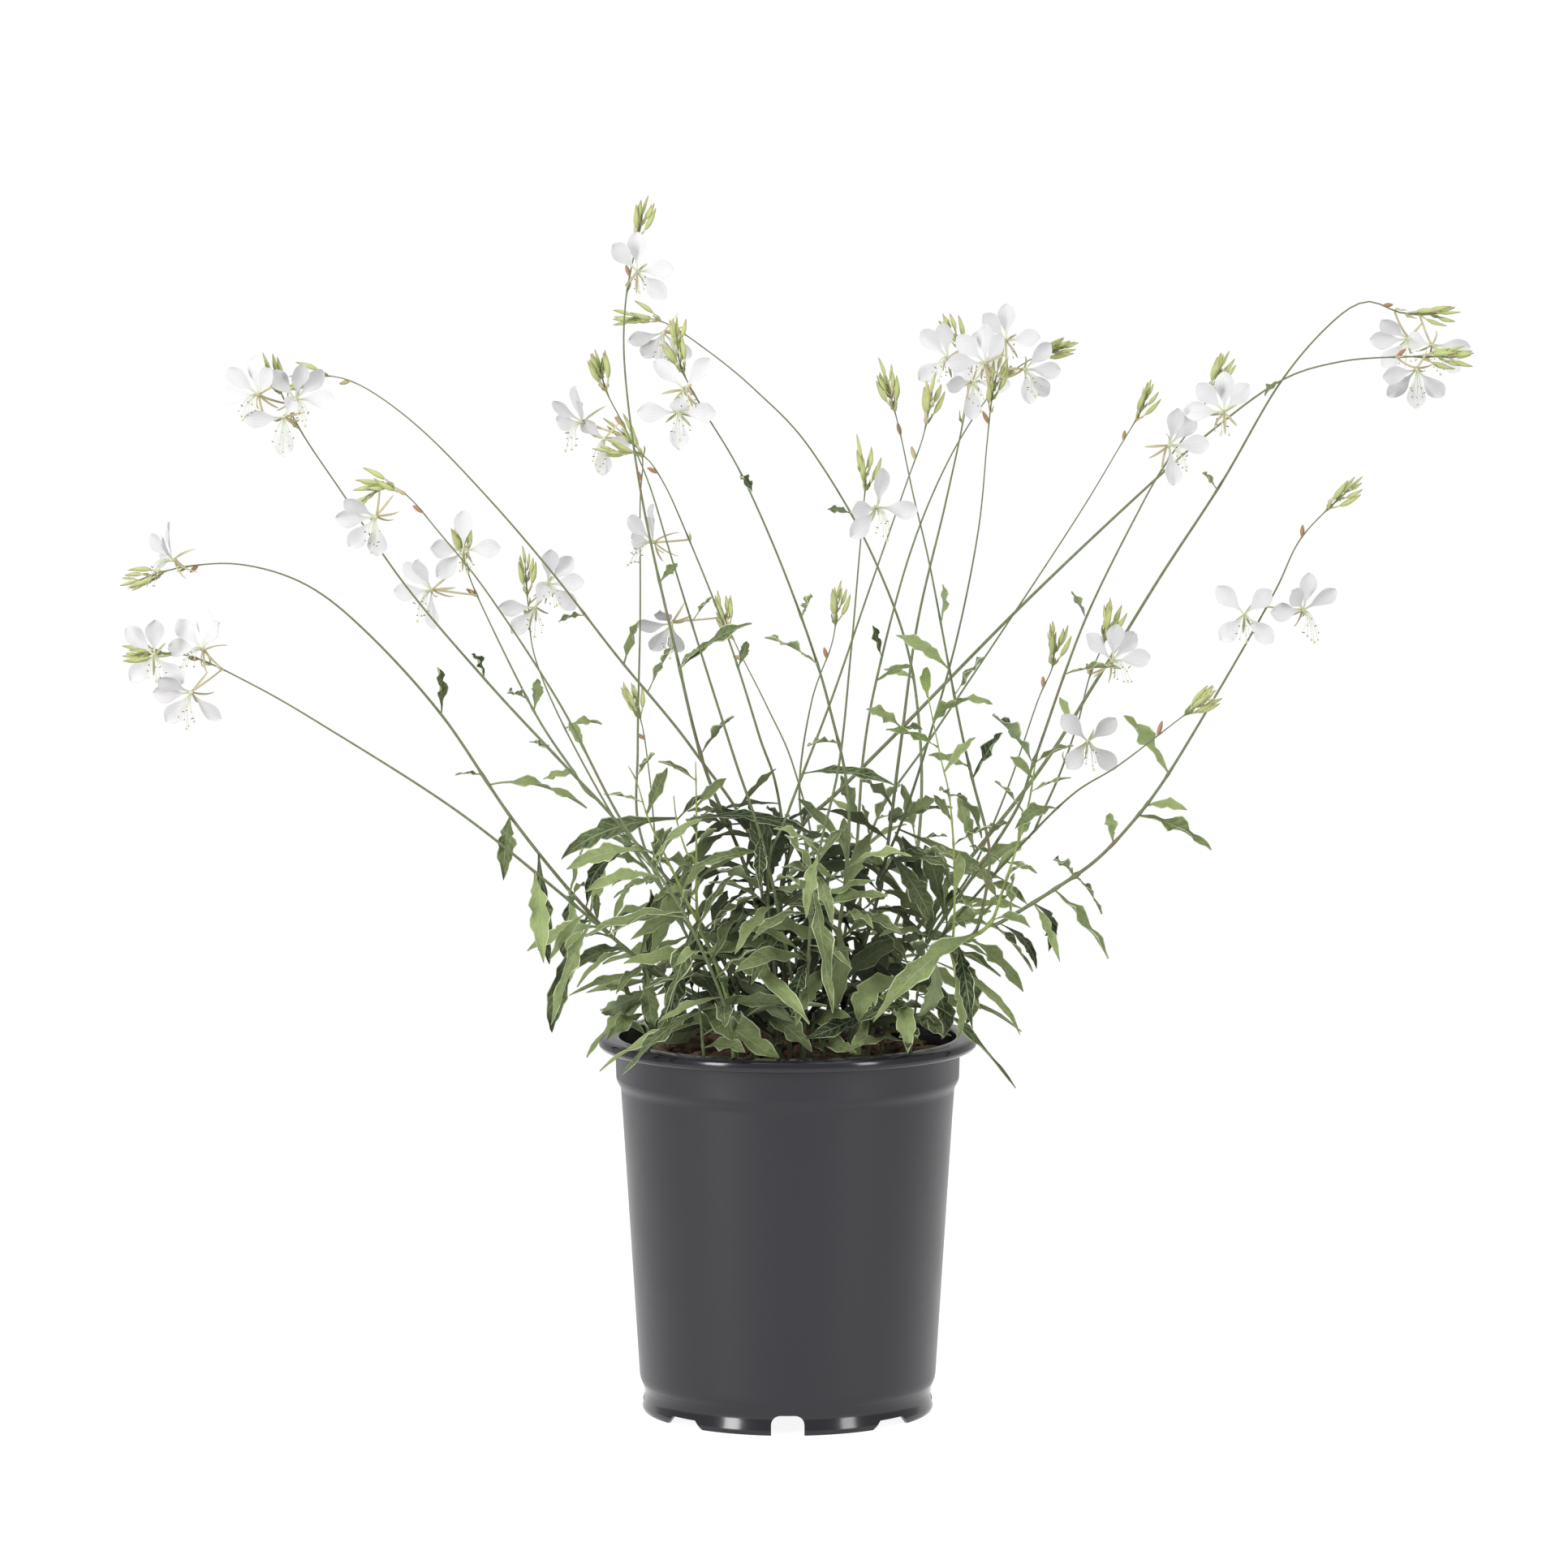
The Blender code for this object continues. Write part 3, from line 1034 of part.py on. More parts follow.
def arch():
    """A round-topped notch through the skirt."""
    half, crown = NOTCH_WIDTH / 2, NOTCH_CROWN
    round_top = [(half - crown + crown * math.cos(turn), NOTCH_HEIGHT - crown + crown * math.sin(turn))
                 for turn in (0, math.pi / 6, math.pi / 3, math.pi / 2)]
    right = [(half, -MM)] + round_top
    return extruded(right + [(-y, z) for y, z in right[::-1]], FOOT_RADIUS - 2 * CUT_PAST, SKIRT_RADIUS + CUT_PAST)


def recess():
    """A shallow trapezoid under the skirt's edge."""
    bottom, top = FOOT_RADIUS * math.tan(RECESS_ANGLE / 2), FOOT_RADIUS * math.tan(RECESS_TOP_ANGLE / 2)
    outline = [(bottom, -MM), (top, RECESS_HEIGHT), (-top, RECESS_HEIGHT), (-bottom, -MM)]
    return extruded(outline, FOOT_RADIUS - 2 * CUT_PAST, SKIRT_RADIUS + CUT_PAST)


def drain():
    """A round hole through the floor."""
    bm = bmesh.new()
    bmesh.ops.create_cone(bm, cap_ends=True, segments=8, radius1=DRAIN_RADIUS, radius2=DRAIN_RADIUS,
                          depth=FLOOR_TOP - FLOOR_BOTTOM + 2 * CUT_PAST,
                          matrix=Matrix.Translation((DRAIN_REACH, 0, (FLOOR_TOP + FLOOR_BOTTOM) / 2)))
    return bm


def add_cutter(collection, name, bm, turn=0.0):
    mesh = bpy.data.meshes.new(name)
    bmesh.ops.rotate(bm, verts=bm.verts, cent=(0, 0, 0), matrix=Matrix.Rotation(turn, 3, "Z"))
    bm.to_mesh(mesh)
    bm.free()
    cutter = bpy.data.objects.new(name, mesh)
    collection.objects.link(cutter)


def cut(thing, cutters):
    """Takes a collection of cutters out of an object, and removes them."""
    hole = thing.modifiers.new("holes", "BOOLEAN")
    hole.operation = "DIFFERENCE"
    hole.solver = "EXACT"
    hole.operand_type = "COLLECTION"
    hole.collection = cutters
    apply_modifiers(thing)
    for cutter in list(cutters.objects):
        bpy.data.objects.remove(cutter)
    bpy.data.collections.remove(cutters)


def soil_height(x, y):
    """The uneven top of the soil."""
    waves = math.sin(x * 95 + 1.3) * math.cos(y * 120) + 0.6 * math.sin(x * 240 - y * 180 + 0.5)
    return SOIL_TOP + SOIL_WAVE * waves


def soil_object(material):
    low = FLOOR_TOP + GAP
    radius = inner_radius(SOIL_TOP) - SOIL_CLEAR
    profile = [(0, SOIL_TOP)] + [(radius * share, SOIL_TOP) for share in SOIL_RINGS]
    profile += [(inner_radius(low) - SOIL_CLEAR, low), (0, low)]
    bm = spin_profile(profile, SOIL_SIDES)
    for vert in bm.verts:
        if vert.co.z > SOIL_TOP - MM:
            vert.co.z = soil_height(vert.co.x, vert.co.y)
    return finished("soil", bm, material)


def cut_stem_holes(soil, limbs):
    """A plain hole in the soil for each stem that stands in it."""
    holes = bpy.data.collections.new("stem_holes")
    bpy.context.scene.collection.children.link(holes)
    for limb in limbs.values():
        if limb.name != limb.node:
            continue
        bottom, collar = limb.route.point(0), limb.route.point(limb.first - COLLAR)
        way = (collar - bottom).normalized()
        radius = (limb.radius + HOLE_CLEAR) / HOLE_FLAT
        length = (collar - bottom).length + HOLE_PAST
        middle = bottom + way * (length / 2 - 2 * GAP)
        place = Matrix.Translation(middle) @ way.to_track_quat("Z", "Y").to_matrix().to_4x4()
        bm = bmesh.new()
        bmesh.ops.create_cone(bm, cap_ends=True, segments=HOLE_SIDES, radius1=radius, radius2=radius, depth=length,
                              matrix=place)
        add_cutter(holes, limb.name + "_hole", bm)
    cut(soil, holes)


def build():
    for thing in list(bpy.data.objects):
        bpy.data.objects.remove(thing)
    draw = random.Random(SEED)
    plastic = finish_material("pot_plastic", POT_PLASTIC)
    mix = finish_material("potting_mix", POTTING_MIX)
    green = finish_material("green_stem", GREEN_STEM)
    young = finish_material("young_green", YOUNG_GREEN)
    white = finish_material("white_petal", WHITE_PETAL)
    pot = pot_object(plastic)
    soil = soil_object(mix)
    ground = Ground()
    for thing in (pot, soil):
        ground.add(thing.name, [vert.co.copy() for vert in thing.data.vertices],
                   [list(face.vertices) for face in thing.data.polygons])
    limbs = grow_limbs(ground)
    cut_stem_holes(soil, limbs)
    blooms = set_blooms(limbs, ground)
    for limb in limbs.values():
        if limb.name not in LEAFY_SHOOTS and limb.name not in BASAL_SHOOTS:
            set_buds(limb, ground)
    set_large_leaves(limbs, ground)
    set_basal_leaves(limbs, ground)
    for limb in limbs.values():
        set_small_leaves(limb, ground, draw)
    for name, limb in limbs.items():
        if limb.node == name:
            stem_object(limb, young if limb.young else green)
    for name, flowers in blooms.items():
        bloom_object(name, flowers, white)


build()
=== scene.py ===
"""The looks of a potted gaura: its moulded pot, soil, stems with wavy leaves and buds, and white blooms."""

import bisect
import functools
import json
import math
import random

import bpy
import numpy as np
from bpy.props import FloatProperty, FloatVectorProperty, IntProperty, PointerProperty
from bpy.types import Operator, Panel, PropertyGroup
from mathutils import Matrix, Vector, noise
from mathutils.bvhtree import BVHTree

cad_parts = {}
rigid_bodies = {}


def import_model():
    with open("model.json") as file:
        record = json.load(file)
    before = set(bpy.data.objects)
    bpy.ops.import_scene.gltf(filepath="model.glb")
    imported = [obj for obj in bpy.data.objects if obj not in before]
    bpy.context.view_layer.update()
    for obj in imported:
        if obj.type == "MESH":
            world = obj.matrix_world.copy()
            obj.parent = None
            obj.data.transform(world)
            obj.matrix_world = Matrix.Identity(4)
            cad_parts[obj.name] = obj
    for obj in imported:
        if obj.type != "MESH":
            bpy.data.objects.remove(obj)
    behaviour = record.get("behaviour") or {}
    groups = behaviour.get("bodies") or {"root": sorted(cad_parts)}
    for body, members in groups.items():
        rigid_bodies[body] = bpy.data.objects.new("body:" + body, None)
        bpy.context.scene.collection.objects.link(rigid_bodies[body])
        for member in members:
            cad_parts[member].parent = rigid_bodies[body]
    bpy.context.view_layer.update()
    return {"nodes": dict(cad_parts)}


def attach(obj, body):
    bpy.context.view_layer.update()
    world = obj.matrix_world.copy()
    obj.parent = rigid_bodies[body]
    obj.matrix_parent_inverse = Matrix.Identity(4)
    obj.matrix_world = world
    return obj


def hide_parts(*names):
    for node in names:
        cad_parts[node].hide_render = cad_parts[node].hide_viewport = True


bl_info = {
    "name": "Potted gaura",
    "version": (1, 0, 0),
    "blender": (4, 5, 0),
    "location": "3D View > Sidebar > Gaura",
    "description": "Builds the detailed looks of a potted gaura over its solid model",
    "category": "Object",
}

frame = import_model()

MM = 0.001
GAP = 0.3 * MM
SEED = 20

# Pot, a trade one-gallon size.
POT_HEIGHT = 165 * MM
LIP_RADIUS = 82.5 * MM
LIP_HEIGHT = 5.5 * MM
NECK_RADIUS = 75.1 * MM
NECK_BOTTOM = 144.4 * MM
SHOULDER_RADIUS = 72.9 * MM
SHOULDER_HEIGHT = 142.2 * MM
HEEL_RADIUS = 64.9 * MM
HEEL_HEIGHT = 14 * MM
SKIRT_RADIUS = 63.8 * MM
SKIRT_HEIGHT = 11.6 * MM
FOOT_RADIUS = 63.6 * MM
WALL = 1.5 * MM
FLOOR_BOTTOM = 9.4 * MM
FLOOR_TOP = 11.6 * MM
NOTCH_WIDTH = 14.3 * MM
NOTCH_HEIGHT = 8.5 * MM
RECESS_ANGLE = math.radians(21)
RECESS_TOP_ANGLE = math.radians(12)
RECESS_HEIGHT = 3.7 * MM
DRAIN_RADIUS = 4 * MM
DRAIN_REACH = 48 * MM
POT_EDGE = 1.1 * MM
NOTCH_CROWN = 4 * MM
CUT_PAST = 3 * MM

# Soil, and how deep the stems stand in it.
SOIL_TOP = 155 * MM
SOIL_WAVE = 1.0 * MM
STEM_DEPTH = 12 * MM
SOIL_CLEAR = 0.5 * MM
SOIL_EDGE = 3 * MM

# The front view that the plant's lines are read from. Places in it are (across, down, depth): the first two in
# picture points, counted from its upper left corner, the third in millimetres behind the pot's axis.
VIEW_DISTANCE = 2475
VIEW_HEIGHT = 515.6
VIEW_TILT = math.radians(5.56)
VIEW_SCALE = 7039
VIEW_MIDDLE = (970.5, 966)

# Flowering stems, from the soil to the tip: base radius in mm, then the places that the stem passes.
STEMS = {
    "stem_low_left": (1.3, [(900, 1262, -18), (812, 1203, -30), (690, 1100, -46), (560, 997, -56),
        (400, 895, -62), (310, 843, -64), (232, 808, -67), (165, 806, -70)]),
    "stem_left_arch": (1.4, [(912, 1262, 6), (795, 1188, 14), (722, 1120, 20), (632, 1010, 28),
        (545, 882, 34), (455, 782, 38), (380, 722, 40), (300, 696, 42), (225, 699, 42), (165, 717, 42)]),
    "stem_upper_left": (1.3, [(925, 1262, -26), (862, 1135, -36), (760, 1012, -48), (690, 937, -54),
        (600, 840, -60), (500, 722, -66), (420, 605, -70), (370, 530, -72), (332, 455, -74)]),
    "stem_high_arch": (1.2, [(948, 1262, 12), (930, 1050, 26), (855, 925, 36), (760, 808, 44), (680, 705, 50),
        (600, 612, 55), (520, 530, 58), (450, 478, 60), (400, 463, 60), (366, 476, 60)]),
    "stem_nodding": (1.2, [(900, 1262, -62), (845, 1130, -80), (765, 1010, -88), (690, 868, -96),
        (600, 730, -104), (540, 655, -108), (503, 612, -110), (478, 600, -110), (448, 614, -110)]),
    "stem_back_left": (1.1, [(932, 1262, 22), (840, 1130, 52), (770, 1030, 72), (700, 905, 92),
        (660, 812, 102), (651, 745, 108), (647, 692, 112)]),
    "stem_tall": (1.4, [(955, 1262, -8), (925, 1090, -18), (868, 945, -26), (832, 800, -32), (792, 620, -36),
        (771, 470, -38), (770, 380, -40), (783, 305, -40), (792, 262, -40)]),
    "stem_back_tall": (1.2, [(905, 1262, 34), (850, 1160, 70), (790, 1030, 100), (786, 920, 112),
        (789, 760, 120), (789, 620, 124), (792, 566, 125), (780, 545, 125), (758, 526, 125)]),
    "stem_front_tall": (1.2, [(985, 1262, -34), (945, 1060, -68), (905, 935, -88), (870, 825, -102),
        (828, 690, -114), (800, 598, -119), (770, 528, -121), (748, 485, -122), (738, 450, -122)]),
    "stem_hooked": (1.2, [(988, 1262, 14), (962, 1000, 36), (935, 905, 44), (895, 780, 52), (845, 655, 58),
        (816, 592, 60), (790, 560, 60), (752, 556, 60)]),
    "stem_back_short": (1.1, [(1002, 1262, 34), (1003, 1060, 92), (978, 945, 118), (945, 870, 134),
        (905, 790, 148), (887, 742, 156)]),
    "stem_front_arch": (1.3, [(1018, 1262, -32), (1046, 1020, -78), (1022, 872, -104), (975, 728, -122),
        (915, 588, -134), (862, 498, -139), (838, 450, -140), (834, 412, -140)]),
    "stem_back_arch": (1.3, [(1052, 1262, 26), (1128, 1060, 72), (1128, 850, 118), (1080, 695, 136),
        (1000, 555, 146), (930, 480, 149), (865, 427, 150), (815, 396, 150), (772, 392, 150)]),
    "stem_middle": (1.2, [(960, 1262, -38), (946, 1080, -60), (970, 1003, -72), (1022, 868, -86),
        (1068, 735, -94), (1115, 600, -98), (1138, 535, -99), (1147, 482, -100)]),
    "stem_upright": (1.4, [(1036, 1262, 4), (1085, 1090, 16), (1108, 930, 26), (1130, 770, 33),
        (1165, 620, 38), (1189, 505, 40), (1192, 445, 40), (1168, 403, 40)]),
    "stem_back_right": (1.2, [(1022, 1262, 38), (1052, 1080, 74), (1064, 930, 96), (1083, 825, 108),
        (1122, 680, 119), (1170, 565, 126), (1225, 480, 129), (1270, 443, 130), (1314, 428, 130)]),
    "stem_front_short": (1.2, [(992, 1262, -48), (1004, 1080, -82), (1033, 945, -110), (1048, 805, -130),
        (1058, 690, -142), (1064, 620, -148), (1066, 590, -150), (1060, 560, -150)]),
    "stem_right_arch": (1.5, [(1066, 1262, 14), (1140, 1130, 24), (1275, 957, 34), (1350, 840, 40),
        (1430, 710, 44), (1505, 595, 47), (1575, 475, 49), (1635, 403, 50), (1682, 372, 50), (1728, 386, 50),
        (1776, 386, 50)]),
    "stem_right_long": (1.5, [(972, 1262, -20), (962, 1110, -30), (985, 1023, -36), (1030, 978, -38),
        (1105, 903, -42), (1260, 745, -48), (1410, 603, -50), (1500, 525, -50), (1580, 468, -50),
        (1650, 446, -50), (1720, 440, -50), (1796, 440, -50)]),
    "stem_right_thin": (1.1, [(1048, 1262, 50), (1060, 1110, 86), (1080, 1010, 106), (1150, 905, 122),
        (1270, 725, 142), (1335, 625, 147), (1380, 550, 149), (1405, 508, 150), (1414, 482, 150)]),
    "stem_right_upright": (1.3, [(1078, 1262, -14), (1150, 1150, -24), (1245, 1010, -52), (1275, 935, -66),
        (1335, 768, -90), (1405, 625, -103), (1440, 565, -107), (1476, 514, -110), (1505, 450, -110)]),
    "stem_right_low": (1.2, [(1094, 1262, 0), (1160, 1155, -8), (1250, 1050, -28), (1320, 980, -52),
        (1378, 943, -72), (1450, 888, -88), (1488, 860, -90)]),
    "shoot_left": (1.3, [(902, 1262, -50), (893, 1218, -52), (876, 1172, -54), (860, 1133, -56),
        (858, 1060, -58), (858, 1000, -60), (857, 938, -62)]),
    "shoot_right": (1.6, [(1062, 1262, -26), (1108, 1212, -34), (1160, 1170, -38), (1215, 1143, -42),
        (1236, 1095, -44), (1265, 1000, -40), (1276, 936, -36)]),
}

# Branches: the stem that each grows from, its radius, and its places from the fork to the tip.
BRANCHES = {
    "stem_upper_left_b": ("stem_upper_left", 0.9, [(738, 989, -50), (706, 950, -42), (660, 880, -34),
        (600, 760, -31), (575, 700, -31), (569, 655, -32)]),
    "stem_back_tall_b": ("stem_back_tall", 0.8, [(838, 1137, 77), (812, 1060, 102), (801, 960, 124),
        (790, 888, 136), (772, 852, 142)]),
    "stem_back_short_b": ("stem_back_short", 0.9, [(1004, 1090, 82), (985, 975, 90), (1000, 865, 94),
        (1026, 790, 97), (1032, 735, 100)]),
    "stem_upright_b": ("stem_upright", 1.0, [(1085, 1090, 16), (1112, 1010, 0), (1140, 925, -16),
        (1178, 790, -34), (1205, 655, -46), (1216, 545, -54), (1222, 490, -58), (1230, 452, -60)]),
    "stem_right_upright_b": ("stem_right_upright", 0.9, [(1150, 1150, -24), (1196, 1075, -2), (1240, 975, 2),
        (1278, 865, 4), (1297, 820, 5), (1298, 778, 5)]),
    "stem_right_low_b": ("stem_right_low", 0.8, [(1278, 1020, -36), (1305, 955, -36), (1328, 890, -34),
        (1342, 835, -31), (1362, 786, -28), (1368, 754, -26)]),
    "shoot_left_b": ("shoot_left", 1.0, [(860, 1133, -56), (832, 1080, -64), (800, 1012, -72),
        (785, 965, -76), (774, 944, -78)]),
    "shoot_left_c": ("shoot_left", 0.8, [(858, 1075, -57), (846, 1050, -50), (834, 1012, -44),
        (830, 980, -42)]),
    "shoot_right_b": ("shoot_right", 1.1, [(1190, 1155, -40), (1216, 1090, -46), (1218, 1040, -51),
        (1198, 960, -58), (1180, 880, -66), (1146, 700, -80), (1125, 610, -86), (1108, 530, -90),
        (1090, 462, -92)]),
    "shoot_right_c": ("shoot_right", 1.2, [(1215, 1143, -42), (1300, 1095, -50), (1350, 1060, -54),
        (1395, 1013, -58), (1437, 957, -60), (1500, 853, -64), (1548, 770, -66), (1575, 720, -67),
        (1605, 660, -68), (1665, 600, -68)]),
    "shoot_right_d": ("shoot_right", 0.9, [(1168, 1166, -38), (1176, 1075, -58), (1170, 985, -66),
        (1158, 930, -70), (1140, 842, -74)]),
}

# Large leaves, in the order of laying: their stem, then for each leaf the place that it grows from (across, down),
# its tip and its width in mm.
LARGE_LEAVES = [
    ("stem_left_arch", [((632, 1010), (624, 1088, 20), 11)]),
    ("stem_low_left", [((668, 1082), (676, 1190, -62), 12)]),
    ("stem_left_arch", [((706, 1102), (700, 1206, 8), 12)]),
    ("stem_low_left", [((735, 1138), (685, 1266, -66), 9)]),
    ("stem_nodding", [((785, 1040), (695, 1066, -92), 11)]),
    ("shoot_left", [((858, 1012), (1000, 1036, -74), 8)]),
    ("stem_low_left", [((806, 1200), (700, 1224, -52), 6)]),
    ("shoot_left", [((862, 1140), (820, 1256, -88), 12)]),
    ("stem_left_arch", [((605, 972), (725, 1000, 62), 9), ((545, 882), (541, 826, 30), 7)]),
    ("stem_high_arch", [((725, 762), (690, 768, 46), 5), ((797, 852), (830, 795, 36), 7)]),
    ("stem_upper_left", [((600, 840), (585, 812, -66), 6)]),
    ("stem_upper_left_b", [((658, 878), (664, 842, -24), 7), ((655, 868), (630, 862, -42), 7)]),
    ("stem_back_left", [((698, 900), (742, 894, 104), 7)]),
    ("stem_tall", [((815, 722), (834, 698, -30), 6), ((840, 832), (926, 776, -50), 9)]),
    ("stem_front_tall", [((850, 765), (875, 733, -122), 6)]),
    ("stem_hooked", [((910, 828), (920, 794, 58), 6)]),
    ("stem_back_arch", [((1048, 632), (1022, 626, 146), 6)]),
    ("stem_front_arch", [((918, 593), (931, 614, -150), 6), ((987, 755), (996, 730, -128), 7),
        ((1003, 812), (942, 781, -128), 9)]),
    ("shoot_right_b", [((1170, 822), (1103, 778, -62), 9), ((1150, 760), (1160, 715, -88), 7),
        ((1178, 868), (1214, 818, -84), 9), ((1197, 957), (1232, 900, -72), 9)]),
    ("stem_right_arch", [((1503, 600), (1484, 580, 40), 6), ((1575, 475), (1556, 492, 40), 6)]),
    ("stem_right_upright", [((1340, 757), (1321, 728, -98), 6), ((1307, 842), (1377, 830, -84), 8)]),
    ("shoot_right_c", [((1435, 958), (1383, 886, -66), 12), ((1397, 1010), (1486, 1052, -74), 10),
        ((1365, 1045), (1362, 1008, -44), 7), ((1330, 1076), (1303, 1056, -66), 8)]),
    ("stem_right_low", [((1300, 1000), (1250, 1022, -78), 9)]),
    ("stem_right_upright", [((1270, 948), (1222, 886, -84), 12)]),
    ("shoot_right", [((1200, 1150), (1070, 1262, -84), 14)]),
    ("shoot_right_c", [((1296, 1096), (1364, 1180, -70), 10), ((1320, 1083), (1352, 1128, -32), 9),
        ((1264, 1116), (1298, 1188, -66), 6)]),
    ("shoot_right", [((1222, 1136), (1276, 1194, -28), 7), ((1178, 1163), (1196, 1266, -70), 10)]),
    ("stem_upright", [((1083, 1098), (1146, 1142, 6), 11)]),
    ("stem_middle", [((990, 953), (1102, 968, -88), 8)]),
    ("stem_tall", [((866, 935), (905, 892, -46), 8)]),
    ("stem_upright_b", [((1112, 1010), (1152, 985, 14), 9)]),
    ("shoot_right_d", [((1176, 1062), (1140, 1056, -46), 8), ((1170, 990), (1210, 1040, -6), 8)]),
    ("stem_right_long", [((1105, 903), (1062, 880, -46), 9)]),
    ("stem_back_right", [((1080, 820), (1074, 780, 102), 7)]),
    ("stem_front_short", [((1004, 1100), (1026, 1252, -92), 10), ((1002, 1180), (975, 1252, -84), 9),
        ((1008, 1050), (994, 1128, -102), 8)]),
    ("stem_front_tall", [((940, 1040), (938, 1100, -96), 8)]),
    ("shoot_left", [((878, 1175), (996, 1262, -92), 14)]),
    ("stem_front_tall", [((955, 1110), (905, 1170, -92), 9)]),
    ("stem_middle", [((948, 1110), (885, 1080, -84), 9)]),
]

# Basal shoots, in mm: the foot, the top, and each leaf's tip with its width. The leaves of the front three hang
# over the soil and the rim.
BASAL_SHOOTS = {
    "basal_left": ((-56, -20, 155), (-64, -28, 190), [((-81, -14, 177), 10), ((-57, -54, 171), 11),
        ((-74, -46, 168), 9), ((-86, -30, 152), 8), ((-84, -34, 196), 9), ((-60, -2, 214), 10)]),
    "basal_front": ((-34, -50, 155), (-38, -58, 188), [((-4, -78, 168), 15), ((10, -76, 170), 12),
        ((-80, -60, 157), 6), ((-70, -72, 157), 8), ((2, -74, 184), 9)]),
    "basal_right": ((50, -38, 155), (56, -46, 192), [((27, -73, 168), 7), ((51, -72, 168), 11),
        ((66, -58, 171), 10), ((31, -72, 180), 13), ((101, -18, 168), 5), ((99, -36, 150), 6)]),
    "basal_back": ((6, 58, 155), (7, 66, 178), [((-8, 104, 150), 11), ((28, 102, 154), 11),
        ((-34, 90, 168), 12), ((48, 88, 170), 12), ((-4, 84, 214), 11), ((26, 66, 212), 11)]),
}

# Blooms, in the order of their numbers: the stem, then for each flower its middle (across, down), how far it stands
# in front of the stem in mm, the way it faces (turn to the right and upward, in degrees) and the ways of its
# petals, in eighths of a turn from the right, upwards.
BLOOMS = [
    ("stem_low_left", [((190, 808), 10, (10, 5), (2, 3, 5, 7))]),
    ("stem_low_left", [((250, 801), 8, (-30, 20), (1, 2, 3, 4))]),
    ("stem_low_left", [((236, 853), 10, (-15, -25), (3, 4, 5, 7))]),
    ("stem_left_arch", [((213, 690), 6, (-70, 0), (1, 2, 3, 4))]),
    ("stem_upper_left", [((318, 487), 8, (-25, 5), (1, 2, 3, 4))]),
    ("stem_upper_left", [((364, 492), 8, (25, 0), (0, 1, 2, 3)), ((350, 514), 8, (0, -20), (1, 4, 6))]),
    ("stem_nodding", [((463, 637), 4, (-10, -20), (3, 4, 5, 6))]),
    ("stem_upper_left_b", [((571, 678), 8, (10, 10), (0, 2, 4, 5))]),
    ("stem_upper_left_b", [((532, 727), 10, (-35, -10), (2, 3, 4, 6))]),
    ("stem_back_left", [((675, 720), 8, (20, 10), (0, 1, 2, 7)), ((660, 748), 8, (0, -10), (2, 4, 5))]),
    ("stem_tall", [((785, 335), 8, (5, 10), (0, 2, 3, 7))]),
    ("stem_back_tall", [((718, 520), 4, (-50, -10), (1, 2, 3, 4)), ((745, 541), 4, (-20, -20), (0, 3, 6))]),
    ("stem_hooked", [((805, 668), 8, (-60, 5), (1, 2, 3, 4))]),
    ("stem_back_short", [((828, 768), 6, (-20, -40), (2, 4, 5, 6))]),
    ("stem_front_arch", [((835, 508), 8, (5, 0), (0, 4, 6)), ((842, 480), 8, (10, 20), (1, 3, 6))]),
    ("stem_back_arch", [((818, 410), 6, (-20, -30), (4, 5, 6, 7))]),
    ("stem_upright", [((1168, 441), 8, (-20, 5), (2, 3, 5, 7))]),
    ("stem_upright", [((1198, 470), 10, (20, -10), (0, 1, 4, 6))]),
    ("stem_back_right", [((1240, 420), 8, (0, 15), (0, 2, 3, 4))]),
    ("stem_back_right", [((1262, 455), 10, (25, -5), (0, 1, 6, 7))]),
    ("stem_upright_b", [((1214, 448), 6, (-25, 10), (1, 2, 3, 4))]),
    ("stem_front_short", [((1080, 625), 6, (25, -10), (0, 2, 4, 5))]),
    ("stem_right_arch", [((1735, 418), 6, (-15, -15), (3, 4, 5)), ((1765, 425), 6, (15, -10), (0, 4, 7))]),
    ("stem_right_long", [((1745, 455), 6, (0, -25), (4, 5, 6, 7))]),
    ("stem_right_upright", [((1440, 549), 8, (30, 5), (0, 1, 2, 6))]),
    ("stem_right_upright", [((1508, 508), 8, (-10, 10), (1, 2, 3, 4))]),
    ("stem_right_low_b", [((1340, 914), 6, (10, 0), (1, 3, 5, 7))]),
    ("stem_right_low_b", [((1370, 815), 6, (25, 15), (0, 1, 2, 3))]),
    ("shoot_right_c", [((1533, 757), 8, (0, 0), (1, 3, 5, 7))]),
    ("shoot_right_c", [((1605, 752), 8, (25, -10), (1, 2, 3, 4))]),
]

# Stems: how they taper, where they stand, and how branches leave them.
STEM_TAPER = 0.55
LEAST_RADIUS = 0.55 * MM
FOOT_SHARE = 0.9
FIRST_SITE = 9 * MM
BRANCH_SITE = 10 * MM
BASAL_SITE = 6 * MM
FORK_OUT = 3 * MM
FORK_UP = 5 * MM
TEST_STEP = 8 * MM
BASAL_RADIUS = 1.6
ROOT_RISE = 2.2 * MM
SITE_STEP = 5.5 * MM

# Blooms, buds and capsules.
BLOOM_CORE = 1.6 * MM
BLOOM_DEPTH = 2.4 * MM
PETAL_LENGTH = 14 * MM
PETAL_WIDTH = 8.5 * MM
PETAL_LEANS = (math.radians(30), math.radians(8))
PETAL_LIFT = 0.1
SEPAL_LENGTH = 9 * MM
SEPAL_WIDTH = 2 * MM
SEPAL_WAY = (0.75, -0.66)
SEPAL_PLACES = (6, 4, 0, 7, 5, 2, 3, 1)
STAMEN_LENGTH = 11 * MM
STAMEN_WAY = (0.75, -0.66)
FACE_RISE = 0.6 * MM
STALK_RADIUS = 0.75 * MM
STALK_END = 1.0 * MM
STALK_DROP = 8 * MM
BUD_LENGTH = 9 * MM
BUD_RADIUS = 1.15 * MM
BUD_SIZES = (0.75, 1.0)
BUD_LEANS = (38, 50, 62)
